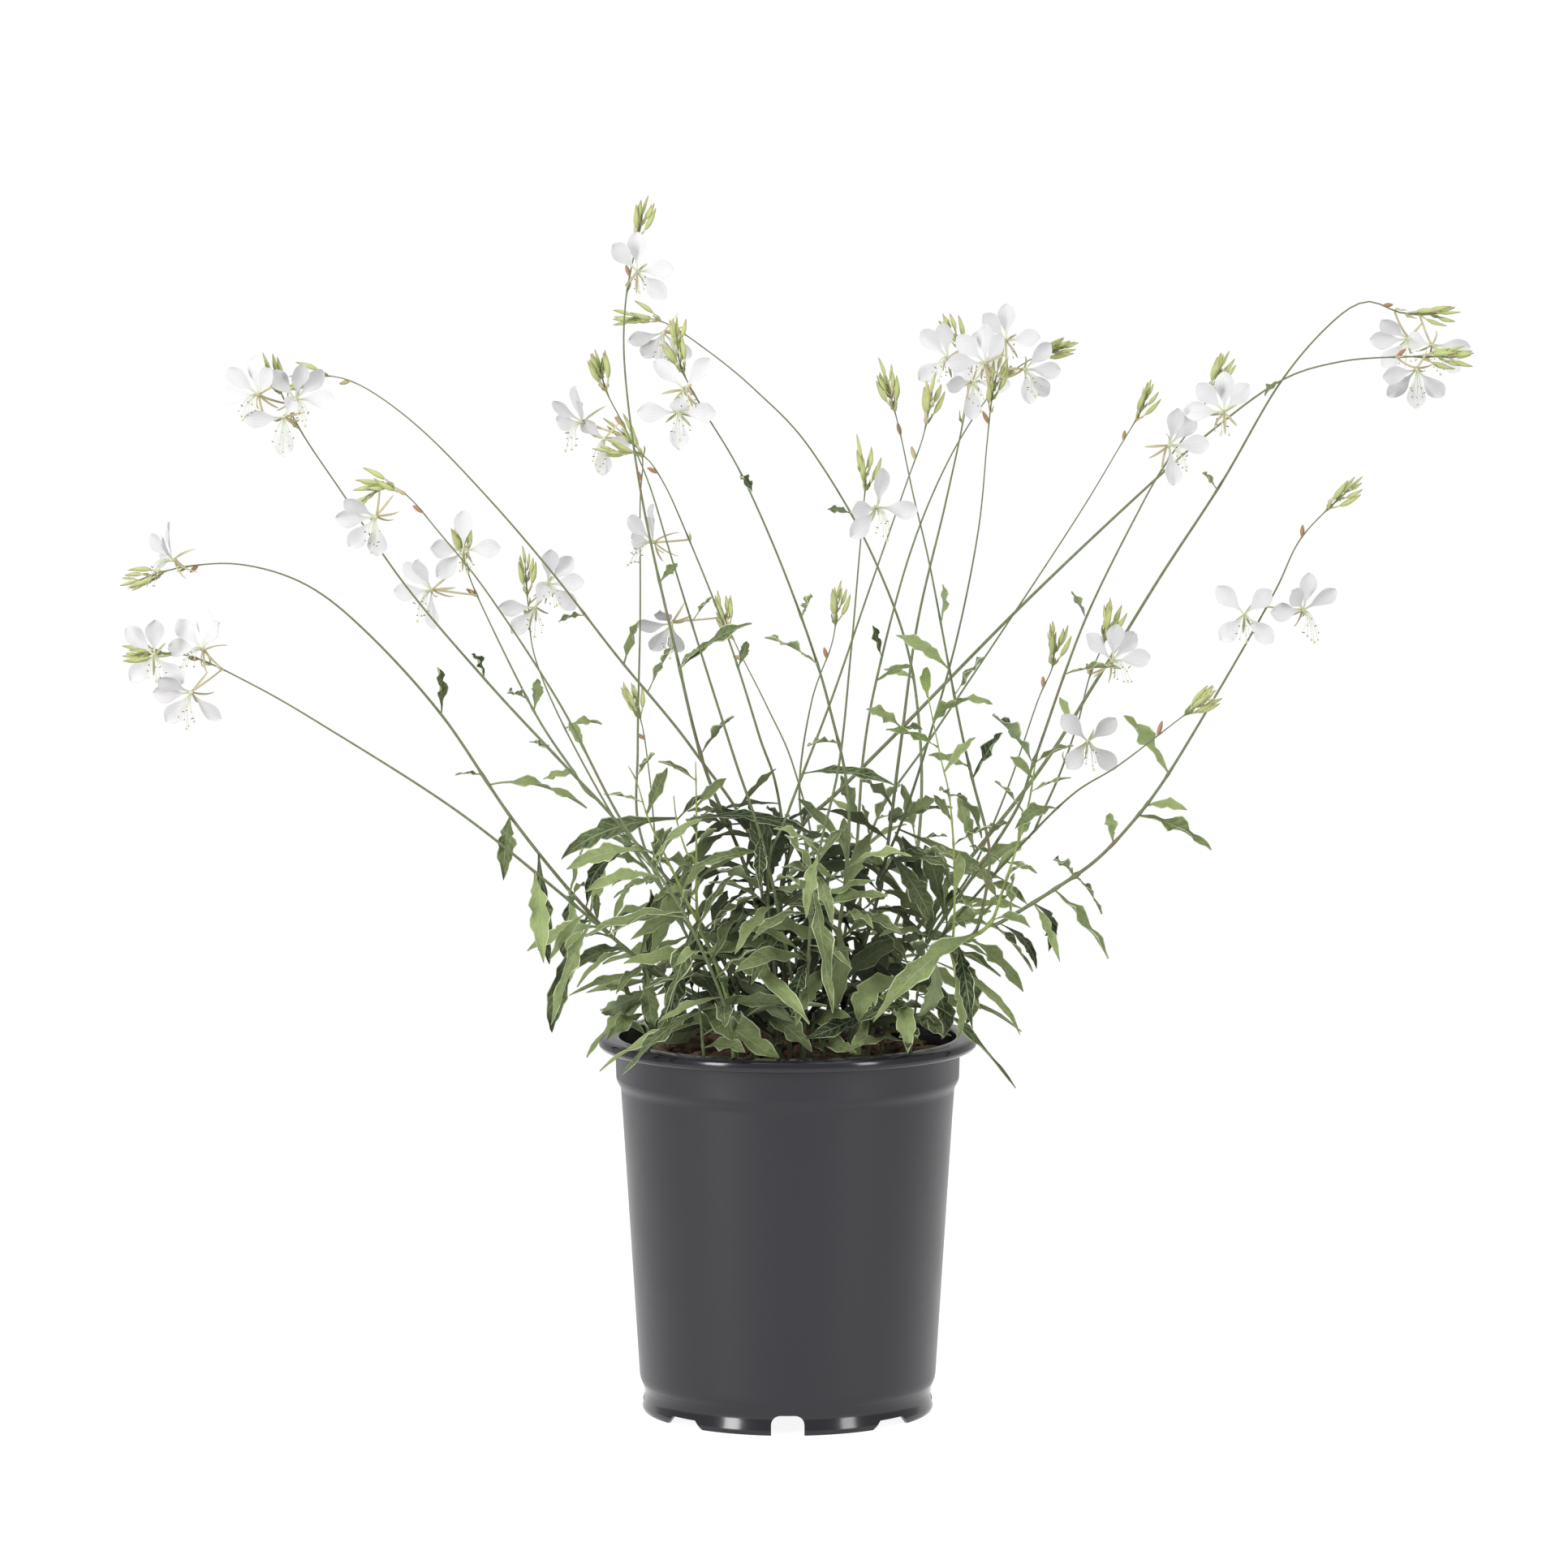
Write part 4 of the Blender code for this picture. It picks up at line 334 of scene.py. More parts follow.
BUD_STEP = 6.5 * MM
CAPSULES = 1
CAPSULE_SIZE = 0.8
CAPSULE_LEANS = (50, 65, 80)
CAPSULE_STEP = 15 * MM

# Leaves: the large ones near a stem's foot, those above, and those of the young tufts.
FOOT_LEAVES = 105 * MM
FOOT_LEAF = 37 * MM
FOOT_STEP = 22 * MM
FOOT_WIDTH = 0.27
UPPER_LEAF = 18 * MM
UPPER_STEP = 76 * MM
TUFT_LEAF = 20 * MM
TUFT_STEP = 12.2 * MM
UPPER_WIDTH = 0.34
LEAFY_SHARE = 0.55
LEAF_SPREAD = (0.8, 1.2)
LEAF_ARCH = 0.16
LEAF_OUT = 1.5 * MM
LEAF_SIZES = (1, 0.85, 0.7)
BLADE_RISE = 0.9 * MM
EDGE_WAVE = 0.6 * MM
LEAST_HALF_WIDTH = 0.5 * MM

# Room kept between parts, and how a part that would cross another is moved.
CLEAR = 0.6 * MM
OWN_CLEAR = 0.15 * MM
DEPTH_SHIFTS = (0, -4, 4, -8, 8, -12, 12, -16, 16)
SITE_SHIFTS = (0, -1, 1, -2, 2, -3, 3)
LEAF_TURNS = ((0, 0), (0, 0.12), (0, -0.12), (0.15, 0), (-0.15, 0), (0.15, 0.15), (-0.15, 0.15), (0.3, 0),
              (-0.3, 0), (0, 0.3), (0.3, 0.3), (-0.3, 0.3), (0, -0.3))
GOLDEN_ANGLE = math.radians(137.5)
LEAFY_SHOOTS = ("shoot_left", "shoot_left_b", "shoot_left_c", "shoot_right", "shoot_right_d")
UP = Vector((0, 0, 1))
VIEW_WAY = Vector((0, 1, 0))
LEAF_FACE = UP * 0.9 - VIEW_WAY * 0.5

# Leaves that hang before the others: where each begins, bends and ends in the front view, how far it then stands
# before the pot's axis and its width, in mm, and whether it shows its upper side.
HANGING_LEAVES = [
    ((848, 1150), (836, 1205), (825, 1262), (30, 62), 13.5, True),
    ((785, 1205), (800, 1235), (806, 1268), (30, 45), 10.5, True),
    ((848, 1240), (905, 1268), (960, 1304), (46, 68), 18, True),
    ((925, 1235), (965, 1262), (1000, 1296), (40, 68), 13, True),
    ((905, 1180), (935, 1225), (980, 1260), (44, 62), 10, False),
    ((905, 1150), (903, 1168), (905, 1187), (40, 46), 7, True),
    ((1035, 1130), (1036, 1190), (1028, 1250), (40, 62), 10.5, True),
    ((1008, 1180), (1000, 1215), (985, 1252), (42, 60), 10, True),
    ((1085, 1256), (1038, 1262), (990, 1280), (46, 66), 10, True),
    ((1062, 1255), (1060, 1278), (1047, 1298), (54, 68), 7, True),
    ((1097, 1222), (1114, 1255), (1118, 1297), (45, 68), 11.5, True),
    ((1108, 1200), (1072, 1222), (1060, 1262), (50, 62), 15, True),
    ((1152, 1205), (1162, 1240), (1160, 1280), (30, 46), 11, True),
    ((1172, 1180), (1184, 1230), (1180, 1280), (34, 50), 7, True),
    ((1178, 1170), (1194, 1212), (1190, 1262), (20, 36), 12.5, True),
    ((1160, 1200), (1218, 1222), (1257, 1276), (30, 40), 5, True),
    ((1240, 1145), (1264, 1162), (1277, 1194), (10, 14), 5.5, True),
    ((1160, 1192), (1152, 1222), (1130, 1252), (36, 52), 10, False),
    ((850, 1235), (832, 1258), (806, 1272), (40, 54), 9, True),
    ((795, 1236), (770, 1236), (741, 1248), (20, 34), 10.5, False),
    ((640, 1075), (668, 1120), (677, 1188), (0, 8), 11, True),
    ((690, 1105), (708, 1155), (702, 1208), (4, 14), 10, True),
    ((688, 1165), (690, 1215), (680, 1272), (8, 18), 11.5, True),
    ((812, 1205), (765, 1212), (722, 1223), (24, 30), 5, False),
    ((812, 1010), (752, 1022), (692, 1058), (16, 30), 13, True),
    ((762, 1040), (738, 1070), (724, 1114), (8, 14), 9, True),
    ((948, 1035), (950, 1062), (944, 1092), (34, 42), 9.5, True),
    ((999, 1048), (1004, 1086), (997, 1126), (36, 46), 11, True),
    ((1105, 1080), (1130, 1098), (1148, 1136), (30, 40), 12.5, True),
    ((1150, 1050), (1190, 1062), (1222, 1092), (14, 20), 9, True),
    ((1285, 1105), (1294, 1138), (1292, 1172), (4, 8), 8, True),
    ((880, 1000), (925, 1012), (975, 1030), (20, 34), 11, True),
]

# Finer forms that stand on the solids' places. TOOTH is how deep the edge is cut at each third of a tooth. SLIM and
# PETAL_SHARE are a leaf's width and a petal's length as shares of the solid's. DEPTH_SHARE is how much depth counts
# where a hanging leaf looks for its stem. Leaves above YOUNG_HEIGHT on a young shoot are young.
TOOTH = (1, 0.4, 0)
THIN_STALK = 0.36 * MM
BLOOM_STALK = (0.4 * MM, 0.55 * MM)
RIM_ANGLE = math.radians(55)
SLIM = 0.84
LONG_STALK, LONG_RINGS, SHORT_RINGS = 150 * MM, 96, 48
SITE_SWELL, SITE_SPREAD = 0.4, 1.6 * MM
SHOOT_SWELL = 0.9
SHOOT_FOOT = 75 * MM
PETAL_SHARE = 1.08
DEPTH_SHARE = 0.5
YOUNG_HEIGHT = 0.29
DISH = 1.1 * MM
PETAL_LOOK = {
    "cells": (4, 9), "cut": 0.02, "waves": 1.5, "ruffle": 0.12, "fold": 0.1, "dip": 0.2, "twist": 0.3, "outline": [
        (0, 0.08), (0.12, 0.10), (0.22, 0.18), (0.34, 0.45), (0.48, 0.80), (0.62, 1.0), (0.74, 0.97), (0.86, 0.76),
        (0.94, 0.48), (1, 0.14)]}
SEPAL_LOOK = {
    "cells": (2, 8), "cut": 0.0, "waves": 1.0, "ruffle": 0.1, "fold": 0.5, "dip": 0.0, "twist": 1.2,
    "thick": 0.3 * MM, "outline": [(0, 0.7), (0.3, 1.0), (0.6, 0.9), (0.85, 0.6), (1, 0.1)]}
CALYX_PROFILE = [(0, 0.5), (0.4, 0.8), (0.75, 1.0), (1, 0.5)]
BUD_PROFILE = [(0, 0.3), (0.08, 0.6), (0.3, 1.0), (0.5, 0.92), (0.75, 0.6), (0.92, 0.3), (1, 0.12)]
CAPSULE_PROFILE = [(0, 0.3), (0.25, 0.8), (0.55, 1.0), (0.8, 0.7), (1, 0.15)]
ANTHER_PROFILE = [(0, 0.4), (0.2, 1.0), (0.8, 1.0), (1, 0.4)]
BRACT_WIDTH = 0.16
SEPAL_HALF_WIDTH = 0.55 * MM
SEPALS_BESIDE = (1, 5, 7)
FILAMENT = (0.14 * MM, 0.09 * MM)
STYLE = (0.17 * MM, 0.13 * MM)
ANTHER_RADIUS = 0.21 * MM
STIGMA_LOBE = (1.1 * MM, 0.22 * MM)
STIGMA_LOBES = (1, 3, 5, 7)
SMOOTH_WALL = math.radians(35)
SAME_PLACE = 1e-6

# How far from the pot's axis, and up to which heights, leaves and stems get painted shade for the thicket's shadow:
# from full to none.
PAINTED_SHADE_RADII = (0.03, 0.095)
PAINTED_SHADE_HEIGHTS = (0.25, 0.33)

# Stage: the floor, where the lamps aim, and for each lamp its bearing in degrees to the right of the camera, its
# distance from the pot's axis, its height, and its own width and height, in metres.
FLOOR_REACH = 0.85
PLANT_MIDDLE = Vector((0, 0, 0.26))
LAMPS = {
    "left_front": (-44, 1.8, 0.56, 0.4, 1.1),
    "right_front": (48, 1.8, 0.56, 0.36, 1.1),
    "above": (10, 0.3, 3.2, 2.6, 2.6),
}
CAMERA_ASIDE = -1.6 * MM
SENSOR_WIDTH = 36
WHITE, BLACK = (1, 1, 1), (0, 0, 0)
SATIN = {"Specular IOR Level": 0.2}

# Blade outlines: (share of the length, share of the half width), from the stalk to the last teeth.
OUTLINES = {
    "large": [(0.10, 0.16), (0.34, 0.82), (0.56, 1.0), (0.78, 0.74)],
    "middle": [(0.13, 0.20), (0.42, 0.95), (0.74, 0.78)],
    "small": [(0.16, 0.25), (0.55, 1.0)],
    "petal": [(0.24, 0.18), (0.76, 1.0)],
    "sepal": [(0.45, 1.0)],
}


def seen(across, down, depth):
    """The point behind a place in the front view, at a depth in millimetres, in metres."""
    right = (across - VIEW_MIDDLE[0]) / VIEW_SCALE
    rise = (VIEW_MIDDLE[1] - down) / VIEW_SCALE
    cosine, sine = math.cos(VIEW_TILT), math.sin(VIEW_TILT)
    away = VIEW_DISTANCE + depth
    drop = away * (rise * cosine - sine) / (cosine + rise * sine)
    distance = away * cosine - drop * sine
    return Vector((right * distance, depth, VIEW_HEIGHT + drop)) * MM


def view_place(point):
    """Where a point shows in the front view."""
    cosine, sine = math.cos(VIEW_TILT), math.sin(VIEW_TILT)
    x, y, z = point / MM
    away, drop = y + VIEW_DISTANCE, z - VIEW_HEIGHT
    distance = away * cosine - drop * sine
    rise = away * sine + drop * cosine
    return VIEW_MIDDLE[0] + VIEW_SCALE * x / distance, VIEW_MIDDLE[1] - VIEW_SCALE * rise / distance


def around(first, second, turn):
    """The way at an angle from the first of two ways towards the second."""
    return math.cos(turn) * first + math.sin(turn) * second


class Route:
    """A smooth line through given points, read by the distance along it."""

    STEPS = 20

    def __init__(self, points):
        ends = [points[0]] + list(points) + [points[-1]]
        self.line = []
        for i in range(1, len(ends) - 2):
            a, b, c, d = ends[i - 1:i + 3]
            for k in range(self.STEPS):
                t = k / self.STEPS
                self.line.append(0.5 * (2 * b + (c - a) * t + (2 * a - 5 * b + 4 * c - d) * t * t
                                        + (3 * b - a - 3 * c + d) * t ** 3))
        self.line.append(points[-1].copy())
        self.reach = [0.0]
        for first, second in zip(self.line, self.line[1:]):
            self.reach.append(self.reach[-1] + (second - first).length)
        self.length = self.reach[-1]
        self.sides = []
        side = Vector((1, 0, 0))
        for i in range(len(self.line)):
            tangent = self.heading(i)
            side = (side - tangent * side.dot(tangent)).normalized()
            self.sides.append(side)

    def heading(self, i):
        low, high = max(i - 1, 0), min(i + 1, len(self.line) - 1)
        return (self.line[high] - self.line[low]).normalized()

    def index(self, reach):
        reach = min(max(reach, 0.0), self.length)
        low = bisect.bisect_right(self.reach, reach, 0, len(self.reach) - 1) - 1
        return low, (reach - self.reach[low]) / (self.reach[low + 1] - self.reach[low])

    def point(self, reach):
        i, t = self.index(reach)
        return self.line[i].lerp(self.line[i + 1], t)

    def frame(self, reach):
        """The line's direction and the two directions across it."""
        i, t = self.index(reach)
        along = self.heading(i).lerp(self.heading(i + 1), t).normalized()
        side = self.sides[i]
        side = (side - along * side.dot(along)).normalized()
        return along, side, along.cross(side)

    def ring(self, reach, radius):
        """Three corners round the line, the wall after each one facing at a third of a turn."""
        along, side, other = self.frame(reach)
        middle = self.point(reach)
        return [middle + radius * around(side, other, math.radians(120 * k - 60)) for k in range(3)]

    def nearest(self, across, down):
        """The distance along the line whose place in the front view is nearest."""
        def miss(i):
            x, y = view_place(self.line[i])
            return (x - across) ** 2 + (y - down) ** 2
        return self.reach[min(range(len(self.line)), key=miss)]


class Ground:
    """What is in place already, so that each new part grows clear of it."""

    def __init__(self):
        self.kept = []

    def add(self, owner, points, faces):
        self.kept.append((owner, *box_of(points), BVHTree.FromPolygons(points, faces)))

    def add_rings(self, owner, rings, tip=None):
        self.add(owner, *skin(rings, tip))

    def clear(self, owner, rings, tip=None, root=None):
        """Whether rings of points, thickened a little, miss everything kept. The root may touch its own owner."""
        wide = skin(([root] if root else []) + [spread(ring, CLEAR) for ring in rings], tip)
        own = skin([spread(ring, OWN_CLEAR) for ring in rings], tip)
        low, high = box_of(wide[0])
        trees = {}
        for keeper, keeper_low, keeper_high, tree in self.kept:
            if any(low[k] > keeper_high[k] or high[k] < keeper_low[k] for k in range(3)):
                continue
            kind = keeper == owner
            if kind not in trees:
                trees[kind] = BVHTree.FromPolygons(*(own if kind else wide))
            if trees[kind].overlap(tree):
                return False
        return True


def box_of(points):
    return [min(p[k] for p in points) for k in range(3)], [max(p[k] for p in points) for k in range(3)]


def spread(ring, distance):
    middle = sum(ring, Vector()) / len(ring)
    return [p + (p - middle).normalized() * distance for p in ring]


def skin(rings, tip):
    """The points and faces of a closed tube through rings of points."""
    points = [p for ring in rings for p in ring]
    count = len(rings[0])
    last = len(points) - count
    faces = [list(range(count))[::-1]]
    for start in range(0, last, count):
        for k in range(count):
            after = (k + 1) % count
            faces.append([start + k, start + after, start + count + after, start + count + k])
    if tip is None:
        faces.append([last + k for k in range(count)])
    else:
        points.append(tip)
        faces += [[last + k, last + (k + 1) % count, len(points) - 1] for k in range(count)]
    return points, faces


class Limb:
    """A stem, shoot or branch, with the parts that grow out of its side walls."""

    def __init__(self, name, node, points, radius, first, young=False):
        self.name, self.node, self.first, self.young = name, node, first, young
        self.route = Route(points)
        self.radius = radius * MM
        self.length = self.route.length
        self.sites = {}
        self.extra = []
        self.tip = None

    def thickness(self, reach):
        return max(self.radius * (1 - STEM_TAPER * reach / self.length), LEAST_RADIUS)

    def ring(self, reach):
        return self.route.ring(reach, self.thickness(reach))

    def wall(self, reach, side):
        """The middle of a part's root on a side wall, the way that the wall faces, and the stem's way."""
        along, across, other = self.route.frame(reach)
        out = around(across, other, math.radians(120 * side))
        return self.route.point(reach) + out * self.thickness(reach) / 2 + along * ROOT_RISE / 3, out, along

    def root(self, reach, side, ring):
        """The corners that a part on a side wall grows from, in the order of its first ring."""
        corners = self.ring(reach)
        first, second = corners[side], corners[(side + 1) % 3]
        corners = [first, second, (first + second) / 2 + self.route.frame(reach)[0] * ROOT_RISE]
        turn = least_twist(corners, ring)
        return [corners[(k - turn) % 3] for k in range(3)]

    def free_site(self, reach, towards):
        """The nearest free wall to a place on the stem that faces a direction."""
        last = self.length - 2 * ROOT_RISE
        for shift in SITE_SHIFTS:
            place = min(max(reach + shift * SITE_STEP, self.first), last)
            place = self.first + round((place - self.first) / SITE_STEP) * SITE_STEP
            place = min(place, last - (last - self.first) % SITE_STEP)
            sides = sorted(range(3), key=lambda side: -self.wall(place, side)[1].dot(towards))
            for side in sides[:2]:
                if (place, side) not in self.sites:
                    return place, side
        return None


def bend(start, control, tip, share):
    """A point on the curve from start to tip that control pulls, and its direction there."""
    first, second = start.lerp(control, share), control.lerp(tip, share)
    return first.lerp(second, share), (second - first).normalized()


def blade(start, control, tip, face, half_width, outline, wave=EDGE_WAVE):
    """Rings (edge, midrib, edge) along a bent blade, which waves up and down in turn."""
    rings = []
    for number, (share, width) in enumerate(OUTLINES[outline]):
        middle, along = bend(start, control, tip, share)
        normal = (face - along * face.dot(along)).normalized()
        across = normal.cross(along)
        half = max(half_width * width, LEAST_HALF_WIDTH)
        lift = wave * (-1) ** number * width
        middle += normal * lift
        rings.append([middle + across * half, middle + normal * BLADE_RISE, middle - across * half])
    return rings


def pod(start, along, length, radius):
    """The one ring of a bud or a capsule, and its tip."""
    return [corners_round(start + along * length * 0.5, along, radius)], start + along * length


def grow_limbs(ground):
    """Every stem and branch, its lower end in the soil or in the stem that it forks from."""
    limbs = {}
    for name, (radius, places) in STEMS.items():
        points = [seen(*place) for place in places]
        top = points[0]
        foot = Vector((top.x * FOOT_SHARE, top.y * FOOT_SHARE, SOIL_TOP - STEM_DEPTH))
        limbs[name] = Limb(name, name, [foot] + points, radius, STEM_DEPTH + FIRST_SITE, name.startswith("shoot"))
    for name, (parent, radius, places) in BRANCHES.items():
        stem = limbs[parent]
        points = [seen(*place) for place in places]
        reach = stem.route.nearest(*places[0][:2])
        place, side = stem.free_site(reach, (points[1] - points[0]).normalized())
        start, out, along = stem.wall(place, side)
        limbs[name] = Limb(name, stem.node, [start, start + out * FORK_OUT + along * FORK_UP] + points[1:],
                           radius, BRANCH_SITE, stem.young)
        stem.sites[place, side] = limbs[name]
    for name, (foot, top, _) in BASAL_SHOOTS.items():
        low, high = Vector(foot) * MM, Vector(top) * MM
        low.z = SOIL_TOP - STEM_DEPTH
        limbs[name] = Limb(name, name, [low, low.lerp(high, 0.5), high], BASAL_RADIUS, STEM_DEPTH + BASAL_SITE)
    for limb in limbs.values():
        steps = max(int(limb.length / TEST_STEP), 2)
        rings = [limb.ring(limb.length * k / steps) for k in range(1, steps + 1)]
        rings.insert(0, limb.ring(0 if limb.name == limb.node else 2 * MM))
        ground.add_rings(limb.node, rings)
    return limbs


class Bloom:
    """One flower: a core, petals and sepals on its sides, stamens on its face, and its stalk's end behind it."""

    def __init__(self, middle, turn, petals, link=None):
        yaw, pitch = (math.radians(angle) for angle in turn)
        self.middle, self.petals = middle, petals
        self.facing = Vector((math.sin(yaw) * math.cos(pitch), -math.cos(yaw) * math.cos(pitch), math.sin(pitch)))
        self.up = (Vector((0, 0, 1)) - self.facing * self.facing.z).normalized()
        self.right = self.up.cross(self.facing)
        self.back = middle - self.facing * (BLOOM_DEPTH / 2 + GAP)
        self.link = link

    def way(self, eighth):
        return around(self.right, self.up, math.radians(45 * eighth))

    def blades(self):
        """The petals and the sepal, each as (rings, tip, kind, laying)."""
        found = []
        joined = self.joined_petal()
        for number, eighth in enumerate(sorted(self.petals)):
            out = self.way(eighth)
            start = self.middle + out * BLOOM_CORE
            lean = PETAL_LEANS[number % 2]
            tip = start + PETAL_LENGTH * around(out, self.facing, lean)
            control = start.lerp(tip, 0.5) + PETAL_LENGTH * PETAL_LIFT * self.facing
            if eighth == joined:
                tip = self.link.middle
                control = start.lerp(tip, 0.5)
            lay = (start, control, tip, self.facing, PETAL_WIDTH / 2)
            found.append((blade(*lay, "petal", 0), tip, "petal", lay))
        out = self.way(next(eighth for eighth in SEPAL_PLACES if eighth not in self.petals))
        start = self.middle + out * BLOOM_CORE
        tip = start + SEPAL_LENGTH * (SEPAL_WAY[0] * out + SEPAL_WAY[1] * self.facing)
        lay = (start, start.lerp(tip, 0.5) + out * MM, tip, self.facing, SEPAL_WIDTH / 2)
        found.append((blade(*lay, "sepal", 0), tip, "sepal", lay))
        return found

    def joined_petal(self):
        """The petal that lies across a neighbouring bloom, where there is one."""
        if self.link is None:
            return None
        return max(self.petals, key=lambda eighth: self.way(eighth).dot(self.link.middle - self.middle))

    def stamens(self):
        """The common way that the stamens lean."""
        return (STAMEN_WAY[0] * self.facing + STAMEN_WAY[1] * self.up).normalized() * STAMEN_LENGTH

    def parts(self):
        """Every part as rings and a tip, for the clearance test."""
        core = [[self.middle + self.facing * depth + self.way(eighth) * BLOOM_CORE for eighth in range(8)]
                for depth in (-BLOOM_DEPTH / 2, BLOOM_DEPTH / 2)]
        yield core, None
        for rings, tip, _, _ in self.blades():
            yield rings, tip
        start = self.middle + self.facing * (BLOOM_DEPTH / 2 + FACE_RISE / 2)
        fan = [[start + self.stamens() * share + self.way(eighth) * BLOOM_CORE * (1 + 1.2 * share)
                for eighth in (0, 2, 4, 6)] for share in (0.1, 1)]
        yield fan, None


def set_blooms(limbs, ground):
    """Each bloom clear of what is in place, with its stalk on its stem."""
    blooms = {}
    for number, (stem, flowers) in enumerate(BLOOMS, 1):
        name, limb = "bloom_%02d" % number, limbs[stem]
        for shift in DEPTH_SHIFTS:
            found, stalks = [], []
            for (across, down), front, turn, petals in flowers:
                nearest = limb.route.nearest(across, down)
                depth = limb.route.point(nearest).y / MM - front + shift
                bloom = Bloom(seen(across, down, depth), turn, petals, found[0] if found else None)
                found.append(bloom)
                stalks.append((max(nearest - STALK_DROP, limb.first), bloom))
            if all(ground.clear(name, rings, tip) for bloom in found for rings, tip in bloom.parts()):
                break
        for bloom in found:
            for rings, tip, _, _ in bloom.blades():
                ground.add_rings(name, rings, tip)
        for reach, bloom in stalks:
            set_stalk(limb, reach, bloom, ground)
        for bloom in found:
            for rings, tip in bloom.parts():
                ground.add_rings(name, rings, tip)
        blooms[name] = found
    return blooms


def set_stalk(limb, reach, bloom, ground):
    """The slender tube from the stem to the back of a bloom."""
    for shift in SITE_SHIFTS:
        towards = (bloom.back - limb.route.point(reach + shift * SITE_STEP)).normalized()
        site = limb.free_site(reach + shift * SITE_STEP, towards)
        if site is None:
            continue
        start, out, along = limb.wall(*site)
        control = start.lerp(bloom.back, 0.5) + out * LEAF_OUT
        middle, way = bend(start, control, bloom.back, 0.55)
        rings = [corners_round(middle, way, STALK_RADIUS), corners_round(bloom.back, bloom.facing, STALK_END)]
        root = limb.root(*site, rings[0])
        if ground.clear(limb.node, rings, None, root):
            break
    limb.sites[site] = ("stalk", (start, control, bloom.back))
    ground.add_rings(limb.node, [root] + rings)


def corners_round(middle, along, radius):
    """Three points round a line."""
    across = along.orthogonal().normalized()
    return [middle + radius * around(across, along.cross(across), 2 * math.pi / 3 * k) for k in range(3)]


def set_organ(limb, reach, towards, ways, ground, make):
    """Tries the ways to lay an organ in turn, and keeps the first that is clear."""
    site = limb.free_site(reach, towards)
    if site is None:
        return False
    start, out, along = limb.wall(*site)
    for way in ways:
        kind, rings, tip, lay = make(start, out, along, way)
        root = limb.root(*site, rings[0])
        if ground.clear(limb.node, rings, tip, root):
            limb.sites[site] = (kind, lay)
            ground.add_rings(limb.node, [root] + rings, tip)
            return True
    return False


def set_buds(limb, ground):
    """Whorls of buds below the tip, a bud on the tip, and seed capsules below them."""
    def bud(start, out, along, way):
        kind, lean, size = way
        direction = around(along, out, lean).normalized()
        lay = (start, direction, BUD_LENGTH * size, BUD_RADIUS * size ** 0.5)
        return (kind, *pod(*lay), lay)
    along = limb.route.frame(limb.length)[0]
    limb.tip = pod(limb.route.point(limb.length), along, BUD_LENGTH * 0.6, BUD_RADIUS * 0.8)
    ground.add_rings(limb.node, *limb.tip)
    for number, size in enumerate(BUD_SIZES):
        reach = limb.length - (number + 1) * BUD_STEP
        for side in range(3):
            out = limb.wall(reach, side)[1]
            ways = [("bud", math.radians(lean), size) for lean in BUD_LEANS]
            set_organ(limb, reach, out, ways, ground, bud)
    for number in range(CAPSULES):
        reach = limb.length - len(BUD_SIZES) * BUD_STEP - (number + 1) * CAPSULE_STEP
        out = limb.wall(reach, number + 1)[1]
        ways = [("capsule", math.radians(lean), CAPSULE_SIZE) for lean in CAPSULE_LEANS]
        set_organ(limb, reach, out, ways, ground, bud)


def set_large_leaves(limbs, ground):
    for stem, leaves in LARGE_LEAVES:
        limb = limbs[stem]
        for root, tip, width in leaves:
            reach = max(limb.route.nearest(*root), limb.first)
            lay_leaf(limb, reach, seen(*tip) - limb.route.point(reach), width * MM, "large", ground)


def lay_leaf(limb, reach, span, width, outline, ground):
    """One leaf over the given span, drawn aside or shortened where something is in its way."""
    side = span.cross(UP).normalized()
    def leaf(start, out, along, way):
        turn, rise, size = way
        tip = start + (span + (side * turn + UP * rise) * span.length) * size
        control = start.lerp(tip, 0.45) + UP * (tip - start).length * LEAF_ARCH + out * LEAF_OUT
        face = (LEAF_FACE + side * 0.25 * (1 if reach * 1000 % 2 > 1 else -1)).normalized()
        lay = (start, control, tip, face, width * size / 2)
        return outline, blade(*lay, outline), tip, lay
    ways = [(turn, rise, size) for size in LEAF_SIZES for turn, rise in LEAF_TURNS]
    return set_organ(limb, reach, span.normalized(), ways, ground, leaf)


def set_small_leaves(limb, ground, draw):
    """Leaves in a spiral up a stem: long and close at its foot, small and far apart above."""
    if limb.name in BASAL_SHOOTS:
        return
    tuft = limb.name in LEAFY_SHOOTS
    leafy = limb.length * (1.0 if tuft else LEAFY_SHARE)
    angle = draw.uniform(0, 2 * math.pi)
    reach = limb.first + draw.uniform(1, 8) * MM
    while reach < leafy:
        angle += GOLDEN_ANGLE
        low = limb.name == limb.node and reach < FOOT_LEAVES
        along, across, other = limb.route.frame(reach)
        out = around(across, other, angle)
        length = (FOOT_LEAF if low else TUFT_LEAF if tuft else UPPER_LEAF) * draw.uniform(*LEAF_SPREAD)
        span = (out * 0.9 + along * (0.25 if low else 0.5)).normalized() * length
        width, outline = (FOOT_WIDTH, "middle") if low else (UPPER_WIDTH, "small")
        lay_leaf(limb, reach, span, length * width, outline, ground)
        reach += (FOOT_STEP if low else TUFT_STEP if tuft else UPPER_STEP) * draw.uniform(*LEAF_SPREAD)


def set_basal_leaves(limbs, ground):
    for name, (_, _, leaves) in BASAL_SHOOTS.items():
        limb = limbs[name]
        for number, (tip, width) in enumerate(leaves, 1):
            reach = min(limb.first + number * SITE_STEP, limb.length)
            span = Vector(tip) * MM - limb.route.point(reach)
            lay_leaf(limb, reach, span, width * MM, "large", ground)


